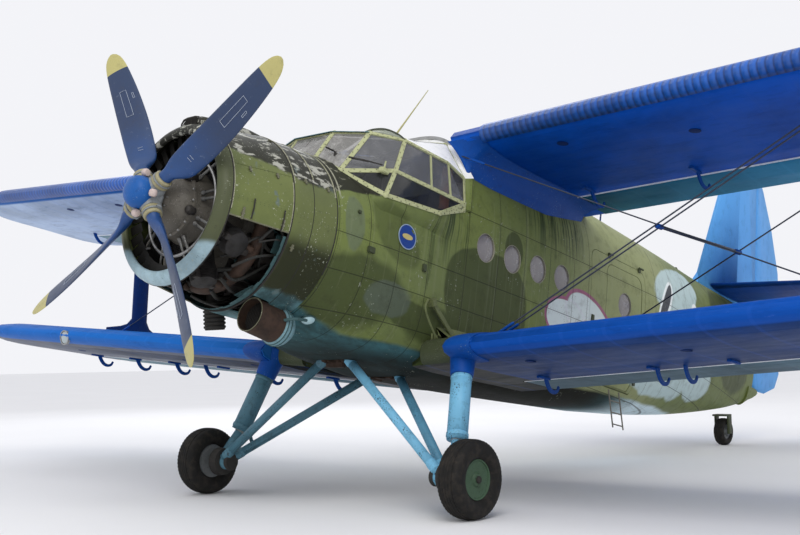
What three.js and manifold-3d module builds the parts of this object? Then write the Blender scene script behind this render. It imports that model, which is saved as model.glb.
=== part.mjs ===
// A single-engined cabin biplane on a fixed tail-wheel landing gear, in millimetres.
// Everything is drawn in the level attitude: +X to port, +Y aft and +Z up, with the origin
// in the middle of the propeller disc. The whole aircraft is then leaned back onto its tail
// wheel and set down on the ground, as it stands when parked.
import * as THREE from "three";
import { mergeVertices } from "three/addons/utils/BufferGeometryUtils.js";
import Module from "manifold-3d";

const wasm = await Module();
wasm.setup();

// Running and seating gaps
const SEAT = 0.3;
const SLOT = 8;

// Propeller
const PROPELLER_RADIUS = 1676.6;
const FIRST_BLADE_DEG = 122.92;
const BLADE_COUNT = 4;
const BLADE_ROOT_RADIUS = 230;
const BLADE_SECTION_POINTS = 12;
// Distance from the axis, chord, thickness, pitch in degrees and how far aft the middle lies
const BLADE_SECTIONS = [
  { reach: BLADE_ROOT_RADIUS, chord: 116, thick: 112, pitch: 46, aft: 0 },
  { reach: 290, chord: 122, thick: 106, pitch: 46, aft: 8 },
  { reach: 350, chord: 196, thick: 84, pitch: 44, aft: 34 },
  { reach: 430, chord: 240, thick: 62, pitch: 42, aft: 50 },
  { reach: 800, chord: 262, thick: 40, pitch: 33, aft: 55 },
  { reach: 1150, chord: 250, thick: 28, pitch: 26, aft: 42 },
  { reach: 1450, chord: 212, thick: 20, pitch: 22, aft: 20 },
  { reach: 1590, chord: 162, thick: 14, pitch: 21, aft: 8 },
  { reach: 1652, chord: 96, thick: 10, pitch: 20, aft: 3 },
  { reach: PROPELLER_RADIUS, chord: 30, thick: 6, pitch: 20, aft: 0 },
];
const HUB_REAR = 92;
const HUB_STUB_RADIUS = 66;
// The dome and boss of the hub: distance ahead of the disc and radius
const HUB_PROFILE = [[-196, 0], [-192, 52], [-174, 96], [-142, 124], [-98, 134], [-52, 134],
  [-44, 112], [-34, 128], [60, 128], [HUB_REAR, 96], [HUB_REAR, 0]];

// Cowling: rings of the nose ring, the side panels and the rear band
const COWL_SEGMENTS = 48;
const COWL_WALL = 14;
const NOSE_RING_REAR = 299;
const MID_SEAM = 880;
const FIREWALL = 1378;
const COWL_AXIS_Z = { front: 10, rear: 29 };
const COWL_RADIUS = { nose: 695, mid: 787, firewall: 801 };
// The lip of the nose ring, from its outer rear edge round the front to the inside
const NOSE_LIP = [[266, 688], [236, 668], [216, 636], [210, 612], [216, 592], [234, 584],
  [256, 594], [266, 630], [278, 665]];
// The lower port side panel is missing, from just below the middle to past the bottom
const OPEN_PANEL_DEG = { from: -118, to: -12 };

// The air scoop on top of the cowl: distance aft, half width and height
const AIR_SCOOP = [
  { y: 305, half: 112, top: 768 },
  { y: 345, half: 140, top: 796 },
  { y: 440, half: 156, top: 812 },
  { y: 620, half: 162, top: 832 },
  { y: 820, half: 160, top: 850 },
  { y: 1050, half: 132, top: 840 },
  { y: 1230, half: 70, top: 834 },
];
const AIR_SCOOP_LOW = 640;
// How square its top is, how far its shoulders drop and how many steps go over it
const AIR_SCOOP_SHAPE = { power: 0.7, drop: 0.55, steps: 12 };
// The oil cooler's duct under the nose: its line, and along it the outer and inner radius
const COOLER = { front: [300, 990, -780], rear: [300, 1380, -830] };
const COOLER_PROFILE = [[0, 138], [0, 150], [290, 152], [292, 164], [330, 166], [400, 160],
  [560, 112], [640, 60], [640, 0], [300, 0], [300, 138]];
// The ribbed pipe that hangs under the cowl on the starboard side
const EXHAUST = { top: [-300, 1050, -560], low: [-300, 1128, -868], radius: 88, rib: 98, ribs: 6,
  ribWidth: 14, ribStep: 34, wall: 12, depth: 60 };

// Engine: nine cylinders round a crankcase
const CYLINDER_COUNT = 9;
const CYLINDER_REACH = 665;
const CYLINDER_RADIUS = 92;
const CYLINDER_PLANE_Y = 520;
const CRANKCASE_PROFILE = [[HUB_REAR + SEAT, 0], [HUB_REAR + SEAT, 88], [130, 150], [190, 236],
  [300, 296], [420, 330], [760, 330], [800, 420], [1040, 420], [1080, 300], [FIREWALL - SEAT, 300],
  [FIREWALL - SEAT, 0]];

// Fuselage stations. Each section is two half super-ellipses that meet at the widest line.
const FUSELAGE_POINTS = 36;
const WALL = 45;
const CANOPY_REAR = 3050;
const CABIN_REAR = 6700;
const TAIL_END = 11120;
const COCKPIT_STATIONS = [
  { y: FIREWALL, half: 801, top: 830, low: -772, wide: 29, upper: 2, lower: 2 },
  { y: 1750, half: 834, top: 852, low: -856, wide: 60, upper: 2.1, lower: 2.5 },
  { y: 2300, half: 868, top: 830, low: -912, wide: 200, upper: 2.4, lower: 4 },
  { y: CANOPY_REAR, half: 882, top: 830, low: -950, wide: 260, upper: 2.8, lower: 5 },
];
const CABIN_STATIONS = [
  { y: CANOPY_REAR, half: 882, top: 1540, low: -950, wide: 260, upper: 2.8, lower: 5 },
  { y: 4500, half: 900, top: 1566, low: -880, wide: 260, upper: 2.9, lower: 4.2 },
  { y: CABIN_REAR, half: 885, top: 1496, low: -728, wide: 300, upper: 2.7, lower: 3.4 },
];
const TAIL_STATIONS = [
  { y: CABIN_REAR, half: 885, top: 1496, low: -728, wide: 300, upper: 2.7, lower: 3.4 },
  { y: 7700, half: 770, top: 1496, low: -612, wide: 350, upper: 2.5, lower: 2.8 },
  { y: 8900, half: 560, top: 1494, low: -415, wide: 420, upper: 2.3, lower: 2.3 },
  { y: 10300, half: 290, top: 1500, low: -120, wide: 560, upper: 2.1, lower: 2 },
  { y: TAIL_END, half: 120, top: 1480, low: 110, wide: 700, upper: 2, lower: 2 },
];

// Round cabin windows: centre along the fuselage and height
const WINDOW_RADIUS = 142;
const CABIN_WINDOWS = [
  { y: 3330, z: 370 },
  { y: 3765, z: 368 },
  { y: 4208, z: 375 },
  { y: 4650, z: 388 },
];

// Doors on the port side
const DOOR_GAP = 6;
const CARGO_DOOR = { front: 5230, rear: 6440, low: -560, top: 893 };
const PASSENGER_DOOR = { front: 5560, rear: 6360, low: -540, top: 800 };
const DOOR_WINDOW = { y: 5970, z: 390 };
const DOOR_CORNER = 120;
// Extra room that the doors need to swing: below the cargo door and behind the passenger door
const DOOR_SWING = { low: 6, rear: 10 };
// The cargo door turns about a line along the fuselage, outside its upper edge
const CARGO_HINGE = { x: 862, z: 912, radius: 12, length: 45, at: [5642, 6330] };
// Its plates: how far they reach inwards and outwards from that line, and from it down and up
const CARGO_PLATES = {
  foot: { inward: 42, outward: 10, low: -7, top: 38 },
  neck: { inward: 10, outward: 10, low: -32, top: -7 },
  pad: { inward: 34, outward: 10, low: -54, top: -26 },
};
// The passenger door turns inwards about a leaning line behind its front edge. At each height:
// distance of the axis from the middle, and where the wall starts and the hinge ends in it
const PASSENGER_HINGE = { y: 5552, lean: 0.0664, radius: 11, length: 40 };
const PASSENGER_KNUCKLES = [
  { z: -300, x: 726, inner: 818, wall: 845 },
  { z: 560, x: 783, inner: 842, wall: 865 },
];
// Its plates: from where to where along the fuselage about that line, and their ends
const PASSENGER_PLATES = { arm: [-28, -4], neck: [4, 48], foot: [18, 48], inset: 6, lap: 13, end: 2 };

// Canopy corners on the port side; those with x = 0 lie in the middle
const CANOPY_POINTS = {
  deckFront: [0, 1528, 838],
  deckPost: [242, 1533, 795],
  deckSide: [545, 1570, 645],
  sillFront: [850, 1871, 474],
  sillRear: [955, 2510, 480],
  sillEnd: [865, 2960, 650],
  railFront: [815, 1998, 743],
  railRear: [855, 2975, 715],
  topFront: [760, 2133, 1090],
  topMiddle: [780, 2750, 1068],
  topRear: [800, 2990, 985],
  brow: [582, 1845, 1089],
  browPost: [242, 1719, 1102],
  browMiddle: [0, 1719, 1102],
  eyebrow: [560, 2010, 1165],
  roofBend: [460, 2560, 1270],
  roofBendMiddle: [0, 2400, 1310],
  roofSide: [470, CANOPY_REAR, 1400],
  roofMiddle: [0, CANOPY_REAR, 1490],
};
// How far from the middle the canopy's skirt ends inside the fuselage
const CANOPY_SKIRT = { deckFront: 0, deckPost: 200, deckSide: 450, sillFront: 560, sillRear: 480,
  sillEnd: 560 };
const CANOPY_FLOOR_Z = 150;
const CANOPY_BAR = 22;
const CANOPY_BAR_HALF = 34;
const CANOPY_OPENING = 60;
const GLASS_WALL = 8;
// The middle of the canopy, and how far its corners lie from there
const CANOPY_CENTRE = new THREE.Vector3(0, 2600, 700);
const CANOPY_REACH = new THREE.Vector3(820, 900, 700);
// The roof has no panes behind this line and above this height
const ROOF_PANEL = { front: 2330, low: 1140, half: 1000, top: 1700 };

// Wings
const WING_POINTS = 9;
const WING_THICKNESS = 0.14;
const WING_CAMBER = 0.03;
const UPPER_WING = { chord: 2400, leadY: 2904, leadZ: 1368.5, dihedral: 2.92, incidence: 3.17,
  root: 640, tip: 9088, round: 1000, cut: 0.74 };
const LOWER_WING = { chord: 2000, leadY: 2473, leadZ: -854.7, dihedral: 4.03, incidence: 1.04,
  root: 640, tip: 7118, round: 800, cut: 0.72 };
const UPPER_FLAP_SPAN = { from: 960, to: 4800 };
const AILERON_SPAN = { from: 4840, to: 8050 };
const LOWER_FLAP_SPAN = { from: 1050, to: 6280 };
const SLAT_SPAN = { from: 1000, to: 8060 };
const SLAT_WALL = 14;
const SLAT_LIFT = 2;
// Shares of the wing's chord that the slat covers, from its upper edge round to its lower one
const SLAT_SHARES = { upper: [0.13, 0.08, 0.045, 0.02, 0.006], lower: [0.006, 0.02, 0.036] };
// Hinge lugs: width, half angle round the nose of a surface, and their places along its span
const LUG_WIDTH = 40;
const LUG_HALF_ANGLE = 34;
const LUG_SHARES = [0.12, 0.5, 0.88];
const LUG_DEPTH = 30;

// Interplane struts
const STRUT_X = 4720;
const STRUT_CHORD = 240;
const STRUT_THICK = 72;
// Where the middle of its blade would meet the wings, and how far its flared ends reach
const STRUT_FOOT = { middle: 3420, front: 2950, rear: 3900 };
const STRUT_HEAD = { middle: 3240, front: 3030, rear: 4100 };
// The flare of its ends: height from the wing, share of the full reach, and thickness
const STRUT_FLARE = [[-120, 1, 100], [35, 1, 100], [95, 0.42, 86], [140, 0.16, 78], [220, 0, STRUT_THICK]];

// Stays
const WIRE_RADIUS = 7;
const WIRE_SPREAD = 70;
const CROSS_BAR = { radius: 10, overhang: 12, sides: 8, shares: [0.06, 0.94] };
const FRONT_WIRE = { root: [1350, 2860, -690], head: [4700, 3250, 1500] };
const REAR_WIRE = { root: [1500, 3870, -720], head: [4700, 4430, 1480] };
const LANDING_WIRE = { root: [700, 2985, 1240], foot: [4760, 3101, -420] };
// The stick that ties the front and rear flying wires together
const SPREADER = { front: [2905, 3041, 325], rear: [3105, 4151, 372], radius: 16 };

// Tail surfaces
const HINGE_LINE = { y: 11178, z: 2063, slope: -0.0596 };
const FIN = { leadLow: 9300, leadLowZ: 1545, slope: 0.4105, base: 1300, top: 3740, half: 95 };
// Its section, from the rear face to the nose: share of the depth and of the half thickness
const FIN_SECTION = [[1, 0.8], [0.66, 0.98], [0.36, 1], [0.14, 0.72], [0.03, 0.34]];
const TAILPLANE_SECTION = [[1, 0.8], [0.6, 1], [0.3, 0.96], [0.1, 0.62], [0.02, 0.28]];
const FIN_TIP = [
  { z: 3600, narrow: 90, half: 84 },
  { z: 3700, narrow: 260, half: 66 },
  { z: FIN.top, narrow: 460, half: 40 },
];
const RUDDER_HALF = 70;
const RUDDER_SECTIONS = [
  { z: 330, chord: 470 },
  { z: 480, chord: 860 },
  { z: 720, chord: 1010 },
  { z: 1600, chord: 985 },
  { z: 2328, chord: 925 },
  { z: 2972, chord: 660 },
  { z: 3520, chord: 330 },
  { z: 3740, chord: 130 },
];
const TAILPLANE = { leadY: 9600, z: 1560, chord: 1250, tipChord: 980, span: 3600, half: 70 };
const ELEVATOR_CHORD = 560;
const ELEVATOR_HALF = 50;
const ELEVATOR_SPAN = { from: 330, to: 3560 };
const RUDDER_LUGS_Z = [1700, 2500, 3300];
const ELEVATOR_LUGS_X = [700, 2000, 3300];
const TAILPLANE_STRUT = { foot: [180, 10150, 300], head: [2050, 10200, 1560], radius: 26 };

// Landing gear
const MAIN_WHEEL = { x: 1686, y: 2401, z: -1914, radius: 330, width: 240, rim: 165 };
const TAIL_WHEEL = { y: 10446, z: -440, radius: 195, width: 150, rim: 100 };
const WHEEL_SEGMENTS = 32;
const TAIL_WHEEL_SEGMENTS = 24;
const AXLE_RADIUS = 38;
// How far the axle reaches into the drum and past the middle of the wheel
const AXLE_LAP = 5;
const AXLE_REACH = 60;
const LEG_TOP = [1233, 2711, -760];
const LEG_CYLINDER_END = [1405, 2531, -1583];
const LEG_RADIUS = 92;
const PISTON_RADIUS = 46;
const DRUM = { from: 1310, to: 1530, radius: 76 };
const PISTON_FOOT = [1482, 2401, -1890];
const BRACE_RADIUS = 44;
const BRACES = {
  front: { top: [92, 2368, -850], foot: [1385, 2352, -1880] },
  rear: { top: [130, 3086, -890], foot: [1365, 2456, -1862] },
};

// Its fork: half width, how far the pivot leads the axle, and the crown above the axle
const TAIL_FORK = { halfWidth: 98, trail: 60, crown: 225, thick: 26, axle: 20, boss: 170 };
// The stern under the rudder: distance aft, half width, top and bottom
const STERN = [
  { y: 10900, half: 150, top: 300, low: 20 },
  { y: 11118, half: 112, top: 316, low: 122 },
  { y: 11300, half: 78, top: 316, low: 182 },
  { y: 11450, half: 34, top: 316, low: 246 },
];

// How far the aircraft leans back, so that the tail wheel and the main wheels touch one plane
const wheelBase = Math.hypot(TAIL_WHEEL.y - MAIN_WHEEL.y, TAIL_WHEEL.z - MAIN_WHEEL.z);
const lean = Math.atan2(TAIL_WHEEL.z - MAIN_WHEEL.z, TAIL_WHEEL.y - MAIN_WHEEL.y)
  + Math.asin((MAIN_WHEEL.radius - TAIL_WHEEL.radius) / wheelBase);

// Materials
const OLIVE = 0x7d8148;
const DEEP_BLUE = 0x2b4f9c;
const PALE_BLUE = 0x8fb6c4;
const SKY_BLUE = 0x6fa5c4;
const RUBBER = 0x24211e;

function paint(color, roughness = 0.6, metalness = 0.1) {
  return new THREE.MeshStandardMaterial({ color, roughness, metalness });
}

const vec = (point) => new THREE.Vector3(point[0], point[1], point[2]);
const radians = THREE.MathUtils.degToRad;

// Solids and cuts

function toSolid(geometry) {
  const bare = geometry.clone();
  bare.deleteAttribute("normal");
  bare.deleteAttribute("uv");
  const joined = mergeVertices(bare);
  return new wasm.Manifold(new wasm.Mesh({
    numProp: 3,
    vertProperties: new Float32Array(joined.attributes.position.array),
    triVerts: new Uint32Array(joined.index.array),
  }));
}

function toGeometry(solid) {
  const mesh = solid.getMesh();
  const geometry = new THREE.BufferGeometry();
  geometry.setAttribute("position", new THREE.BufferAttribute(mesh.vertProperties, 3));
  geometry.setIndex(new THREE.BufferAttribute(mesh.triVerts, 1));
  geometry.computeVertexNormals();
  return geometry;
}

// The largest piece of a cut solid, without slivers
function mainPiece(solid) {
  const pieces = solid.decompose();
  pieces.sort((a, b) => b.volume() - a.volume());
  return pieces[0];
}

const join = (solids) => solids.reduce((whole, solid) => whole.add(solid));

function signedVolume(positions, index) {
  const a = new THREE.Vector3();
  const b = new THREE.Vector3();
  const c = new THREE.Vector3();
  let sum = 0;
  for (let i = 0; i < index.length; i += 3) {
    a.fromArray(positions, 3 * index[i]);
    b.fromArray(positions, 3 * index[i + 1]);
    c.fromArray(positions, 3 * index[i + 2]);
    sum += a.dot(b.cross(c));
  }
  return sum;
}

// Triangles that fill a flat ring, all turning the way that the ring does
function capTriangles(ring) {
  const normal = new THREE.Vector3();
  ring.forEach((point, i) => {
    const next = ring[(i + 1) % ring.length];
    normal.x += (point.y - next.y) * (point.z + next.z);
    normal.y += (point.z - next.z) * (point.x + next.x);
    normal.z += (point.x - next.x) * (point.y + next.y);
  });
  const size = normal.toArray().map(Math.abs);
  const axis = size.indexOf(Math.max(...size));
  const [first, second] = [(axis + 1) % 3, (axis + 2) % 3];
  const outline = ring.map((point) => {
    const values = point.toArray();
    return new THREE.Vector2(values[first], values[second]);
  });
  const turnOf = (a, b, c) => (outline[b].x - outline[a].x) * (outline[c].y - outline[a].y)
    - (outline[b].y - outline[a].y) * (outline[c].x - outline[a].x);
  const way = Math.sign(normal.toArray()[axis]);
  return THREE.ShapeUtils.triangulateShape(outline.map((point) => point.clone()), [])
    .map(([a, b, c]) => (Math.sign(turnOf(a, b, c)) === way ? [a, b, c] : [a, c, b]));
}

// A closed solid through rings that all have the same number of points. Each face between two
// rings is split along its shorter diagonal, so that mirrored rings give mirrored faces.
function loft(rings) {
  const count = rings[0].length;
  const positions = rings.flatMap((ring) => ring.flatMap((point) => point.toArray()));
  const index = [];
  for (let r = 0; r + 1 < rings.length; r += 1) {
    for (let i = 0; i < count; i += 1) {
      const near = r * count + i;
      const next = r * count + ((i + 1) % count);
      const j = (i + 1) % count;
      const rising = rings[r][i].distanceTo(rings[r + 1][j]);
      const falling = rings[r][j].distanceTo(rings[r + 1][i]);
      if (rising <= falling) index.push(near, next, next + count, near, next + count, near + count);
      else index.push(near, next, near + count, next, next + count, near + count);
    }
  }
  const last = (rings.length - 1) * count;
  capTriangles(rings[0]).forEach(([a, b, c]) => index.push(c, b, a));
  capTriangles(rings[rings.length - 1]).forEach(([a, b, c]) => index.push(last + a, last + b, last + c));
  if (signedVolume(positions, index) < 0) index.reverse();
  const geometry = new THREE.BufferGeometry();
  geometry.setAttribute("position", new THREE.Float32BufferAttribute(positions, 3));
  geometry.setIndex(index);
  geometry.computeVertexNormals();
  return geometry;
}

// A round bar between two points
function bar(from, to, radius, endRadius = radius, sides = 12) {
  const start = vec(from);
  const end = vec(to);
  const run = end.clone().sub(start);
  const geometry = new THREE.CylinderGeometry(endRadius, radius, run.length(), sides);
  const turn = new THREE.Quaternion().setFromUnitVectors(new THREE.Vector3(0, 1, 0), run.normalize());
  geometry.applyQuaternion(turn);
  const middle = start.add(end).multiplyScalar(0.5);
  geometry.translate(middle.x, middle.y, middle.z);
  return geometry;
}

function block(low, high) {
  const size = high.map((value, i) => value - low[i]);
  const geometry = new THREE.BoxGeometry(size[0], size[1], size[2]);
  geometry.translate((low[0] + high[0]) / 2, (low[1] + high[1]) / 2, (low[2] + high[2]) / 2);
  return geometry;
}

// A turned body about the Y axis at a height, from pairs of [y, radius]
function turned(profile, segments, centreZ = 0) {
  const points = profile.map(([y, radius]) => new THREE.Vector2(radius, y));
  const geometry = new THREE.LatheGeometry(points, segments);
  geometry.translate(0, 0, centreZ);
  const bare = geometry.clone();
  bare.deleteAttribute("normal");
  bare.deleteAttribute("uv");
  const joined = mergeVertices(bare);
  const index = Array.from(joined.index.array);
  const positions = joined.attributes.position.array;
  const clean = [];
  for (let i = 0; i < index.length; i += 3) {
    const [a, b, c] = [index[i], index[i + 1], index[i + 2]];
    if (a !== b && b !== c && c !== a) clean.push(a, b, c);
  }
  if (signedVolume(positions, clean) < 0) clean.reverse();
  joined.setIndex(clean);
  joined.computeVertexNormals();
  return joined;
}

function mirrored(geometry) {
  const copy = geometry.clone();
  copy.scale(-1, 1, 1);
  const index = copy.index ? Array.from(copy.index.array)
    : Array.from({ length: copy.attributes.position.count }, (_, i) => i);
  copy.setIndex(index.reverse());
  copy.computeVertexNormals();
  return copy;
}

// Fuselage

function sectionRing(station, inset = 0) {
  const ring = [];
  for (let i = 0; i < FUSELAGE_POINTS; i += 1) {
    const angle = (2 * Math.PI * i) / FUSELAGE_POINTS;
    const across = Math.cos(angle);
    const up = Math.sin(angle);
    const power = up >= 0 ? station.upper : station.lower;
    const height = up >= 0 ? station.top - inset - station.wide : station.wide - station.low - inset;
    const x = Math.sign(across) * Math.abs(across) ** (2 / power) * (station.half - inset);
    const z = station.wide + Math.sign(up) * Math.abs(up) ** (2 / power) * height;
    ring.push(new THREE.Vector3(x, station.y, z));
  }
  return ring;
}

const fuselageSolid = (stations, inset = 0) =>
  toSolid(loft(stations.map((station) => sectionRing(station, inset))));

function stretched(stations, before, after) {
  const copy = stations.map((station) => ({ ...station }));
  copy[0].y -= before;
  copy[copy.length - 1].y += after;
  return copy;
}

// The filled outside of the whole fuselage, grown a little for pieces that are seated on it
const fuselageEnvelope = join([
  fuselageSolid(COCKPIT_STATIONS, -SEAT),
  fuselageSolid(CABIN_STATIONS, -SEAT),
  fuselageSolid(TAIL_STATIONS, -SEAT),
]);

function shell(stations, openFront, openRear) {
  const outside = fuselageSolid(stretched(stations, 0, -SEAT));
  const inside = fuselageSolid(stretched(stations, openFront ? 5 : -WALL, openRear ? 5 : -WALL), WALL);
  return outside.subtract(inside);
}

function windowCut(window, reach) {
  return toSolid(bar([reach[0], window.y, window.z], [reach[1], window.y, window.z],
    WINDOW_RADIUS, WINDOW_RADIUS, 20));
}

// A rounded door outline pushed through the port wall
function doorCut(door, grow, depth = [560, 1200]) {
  const shape = new THREE.Shape();
  const [left, right] = [door.front - grow, door.rear + grow];
  const [low, top] = [door.low - grow, door.top + grow];
  const corner = DOOR_CORNER;
  shape.moveTo(left, low);
  shape.lineTo(right, low);
  shape.lineTo(right, top - corner);
  shape.absarc(right - corner, top - corner, corner, 0, Math.PI / 2, false);
  shape.absarc(left + corner, top - corner, corner, Math.PI / 2, Math.PI, false);
  shape.closePath();
  const length = depth[1] - depth[0];
  const geometry = new THREE.ExtrudeGeometry(shape, { depth: length, bevelEnabled: false, curveSegments: 5 });
  geometry.applyMatrix4(new THREE.Matrix4().makeBasis(
    new THREE.Vector3(0, 1, 0), new THREE.Vector3(0, 0, 1), new THREE.Vector3(1, 0, 0)));
  geometry.translate(depth[0], 0, 0);
  return toSolid(geometry);
}

function cockpitSection() {
  const body = shell(COCKPIT_STATIONS, false, true);
  const footprint = canopySolid(canopyInset(CANOPY_OPENING));
  return mainPiece(body.subtract(footprint));
}

function cabinSection() {
  let body = shell(CABIN_STATIONS, true, true);
  CABIN_WINDOWS.forEach((window) => {
    body = body.subtract(windowCut(window, [-1100, 1100]));
  });
  return mainPiece(body.subtract(doorCut(CARGO_DOOR, 0)).add(cargoHinge(1)));
}

// The end of the fuselage reaches aft under the rudder
function stern() {
  const rings = STERN.map(({ y, half, top, low }) => {
    const ring = [];
    for (let i = 0; i <= 8; i += 1) {
      const angle = Math.PI + (Math.PI * i) / 8;
      ring.push(new THREE.Vector3(Math.cos(angle) * half, y, top + Math.sin(angle) * (top - low)));
    }
    return ring;
  });
  return toSolid(loft(rings));
}

function tailSection() {
  return mainPiece(join([shell(TAIL_STATIONS, true, false), stern(), tailPivotBoss(lean)]));
}

// Hinge halves of the cargo door: side 1 stands on the fuselage above it, side -1 on the door
function cargoHinge(side) {
  const { x, z, radius, length, at } = CARGO_HINGE;
  return join(at.flatMap((y) => {
    const [from, to] = [y + (side * SEAT) / 2, y + side * length].sort((a, b) => a - b);
    const barrel = toSolid(bar([x, from, z], [x, to, z], radius));
    const plate = ({ inward, outward, low, top }) =>
      toSolid(block([x - inward, from, z + low], [x + outward, to, z + top]));
    const { foot, neck, pad } = CARGO_PLATES;
    return side > 0 ? [barrel, plate(foot)] : [barrel, plate(neck), plate(pad)];
  }));
}

// Hinge halves of the passenger door: side 1 on the cargo door ahead of it, side -1 on the door
function passengerHinge(side) {
  const { y, lean: slope, radius, length } = PASSENGER_HINGE;
  return join(PASSENGER_KNUCKLES.flatMap(({ z, x, inner, wall }) => {
    const at = (up) => [x + up * slope, y, z + up];
    const barrel = toSolid(bar(at((-side * SEAT) / 2), at(-side * length), radius));
    const { arm, neck, foot, inset, lap, end } = PASSENGER_PLATES;
    const [low, high] = [-side * end, -side * (length - end)].sort((a, b) => a - b);
    const plate = ([from, to], inside, outside) =>
      toSolid(block([inside, y + from, z + low], [outside, y + to, z + high]));
    return side > 0 ? [barrel, plate(arm, x - inset, wall)]
      : [barrel, plate(neck, x - inset, inner - lap + 1), plate(foot, inner - lap - 1, wall)];
  }));
}

function cargoDoor() {
  const wall = shell(CABIN_STATIONS, true, true);
  const outline = { ...CARGO_DOOR, low: CARGO_DOOR.low + DOOR_SWING.low };
  const panel = wall.intersect(doorCut(outline, -DOOR_GAP)).subtract(doorCut(PASSENGER_DOOR, 0));
  return mainPiece(join([panel, cargoHinge(-1), passengerHinge(1)]));
}

function passengerDoor() {
  const wall = shell(CABIN_STATIONS, true, true);
  const outline = { ...PASSENGER_DOOR, rear: PASSENGER_DOOR.rear - DOOR_SWING.rear };
  const panel = wall.intersect(doorCut(outline, -DOOR_GAP)).subtract(windowCut(DOOR_WINDOW, [560, 1200]));
  return mainPiece(join([panel, passengerHinge(-1)]));
}

// Canopy

// Faces of the canopy on the port side, by corner name; a second corner set mirrors them
const CANOPY_FACES = [
  ["deckFront", "deckPost", "browPost", "browMiddle"],
  ["deckPost", "deckSide", "brow", "browPost"],
  ["deckSide", "railFront", "topFront", "brow"],
  ["deckSide", "sillFront", "railFront"],
  ["sillFront", "sillRear", "railRear", "railFront"],
  ["sillRear", "sillEnd", "railRear"],
  ["railFront", "railRear", "topMiddle", "topFront"],
  ["railRear", "topRear", "topMiddle"],
  ["brow", "topFront", "eyebrow"],
  ["browMiddle", "browPost", "brow", "eyebrow", "roofBend", "roofBendMiddle"],
  ["eyebrow", "topFront", "topMiddle", "roofBend"],
  ["topMiddle", "topRear", "roofSide", "roofBend"],
  ["roofBendMiddle", "roofBend", "roofSide", "roofMiddle"],
];
// The faces that are glazed on each side; the first one is glazed right across the middle
const SIDE_PANES = CANOPY_FACES.slice(1, 9);

// The canopy corners moved towards its middle by a wall thickness
function canopyInset(distance) {
  const corners = {};
  Object.entries(CANOPY_POINTS).forEach(([name, point]) => {
    const corner = vec(point);
    const away = corner.clone().sub(CANOPY_CENTRE);
    corner.x -= (away.x / CANOPY_REACH.x) * distance;
    corner.y -= (away.y / CANOPY_REACH.y) * distance;
    corner.z -= (away.z / CANOPY_REACH.z) * distance;
    corners[name] = corner;
  });
  ["roofSide", "roofMiddle"].forEach((name) => {
    corners[name].y = CANOPY_REAR - SEAT + (distance > 0 ? 5 : 0);
  });
  return corners;
}

function canopySolid(corners) {
  const positions = [];
  const index = [];
  const ids = new Map();
  const place = (name, side) => {
    const corner = corners[name];
    const key = corner.x === 0 ? name : `${name}${side}`;
    if (!ids.has(key)) {
      ids.set(key, positions.length / 3);
      positions.push(side * corner.x, corner.y, corner.z);
    }
    return ids.get(key);
  };
  const addFace = (names, side) => {
    const points = names.map((name) => place(name, side));
    for (let i = 1; i + 1 < points.length; i += 1) {
      const triangle = [points[0], points[i], points[i + 1]];
      index.push(...(side > 0 ? triangle : triangle.reverse()));
    }
  };
  const rearY = corners.roofMiddle.y;
  const floorNames = Object.keys(CANOPY_SKIRT);
  floorNames.forEach((name) => {
    corners[`${name}Low`] = new THREE.Vector3(CANOPY_SKIRT[name], corners[name].y, CANOPY_FLOOR_Z);
  });
  corners.sillEndLow.y = rearY;
  corners.rearMiddle = new THREE.Vector3(0, rearY, CANOPY_FLOOR_Z);
  corners.rearTop = new THREE.Vector3(corners.topRear.x, rearY, corners.topRear.z);
  corners.rearRail = new THREE.Vector3(corners.railRear.x, rearY, corners.railRear.z);
  [1, -1].forEach((side) => {
    CANOPY_FACES.forEach((names) => addFace(names, side));
    for (let i = 0; i + 1 < floorNames.length; i += 1) {
      const [near, next] = [floorNames[i], floorNames[i + 1]];
      addFace([near, `${near}Low`, `${next}Low`, next], side);
    }
    addFace(["sillEnd", "sillEndLow", "rearRail"], side);
    addFace(["sillEnd", "rearRail", "railRear"], side);
    addFace(["railRear", "rearRail", "rearTop", "topRear"], side);
    addFace(["topRear", "rearTop", "roofSide"], side);
    addFace(["roofMiddle", "roofSide", "rearTop", "rearRail", "sillEndLow", "rearMiddle"], side);
    addFace(["rearMiddle", ...floorNames.map((name) => `${name}Low`).reverse()], side);
  });
  if (signedVolume(positions, index) < 0) index.reverse();
  const geometry = new THREE.BufferGeometry();
  geometry.setAttribute("position", new THREE.Float32BufferAttribute(positions, 3));
  geometry.setIndex(index);
  return toSolid(geometry);
}

// The corners of a pane on one side
const paneCorners = (names, side) => names.map((name) => {
  const corner = vec(CANOPY_POINTS[name]);
  corner.x *= side;
  return corner;
});

// A prism through one pane, smaller than the pane by the width of its bars
function paneCut(corners, margin) {
  const centre = corners.reduce((sum, corner) => sum.add(corner), new THREE.Vector3());
  centre.divideScalar(corners.length);
  const normal = new THREE.Vector3();
  for (let i = 0; i < corners.length; i += 1) {
    const a = corners[i].clone().sub(centre);
    const b = corners[(i + 1) % corners.length].clone().sub(centre);
    normal.add(a.cross(b));
  }
  normal.normalize();
  const inner = corners.map((corner) => {
    const inward = centre.clone().sub(corner);
    const factor = Math.min(0.45, margin / (inward.length() * 0.62));
    return corner.clone().add(inward.multiplyScalar(factor));
  });
  const lift = normal.multiplyScalar(70);
  const outer = inner.map((corner) => corner.clone().add(lift));
  const deep = inner.map((corner) => corner.clone().sub(lift));
  return toSolid(loft([deep, outer]));
}

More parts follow.
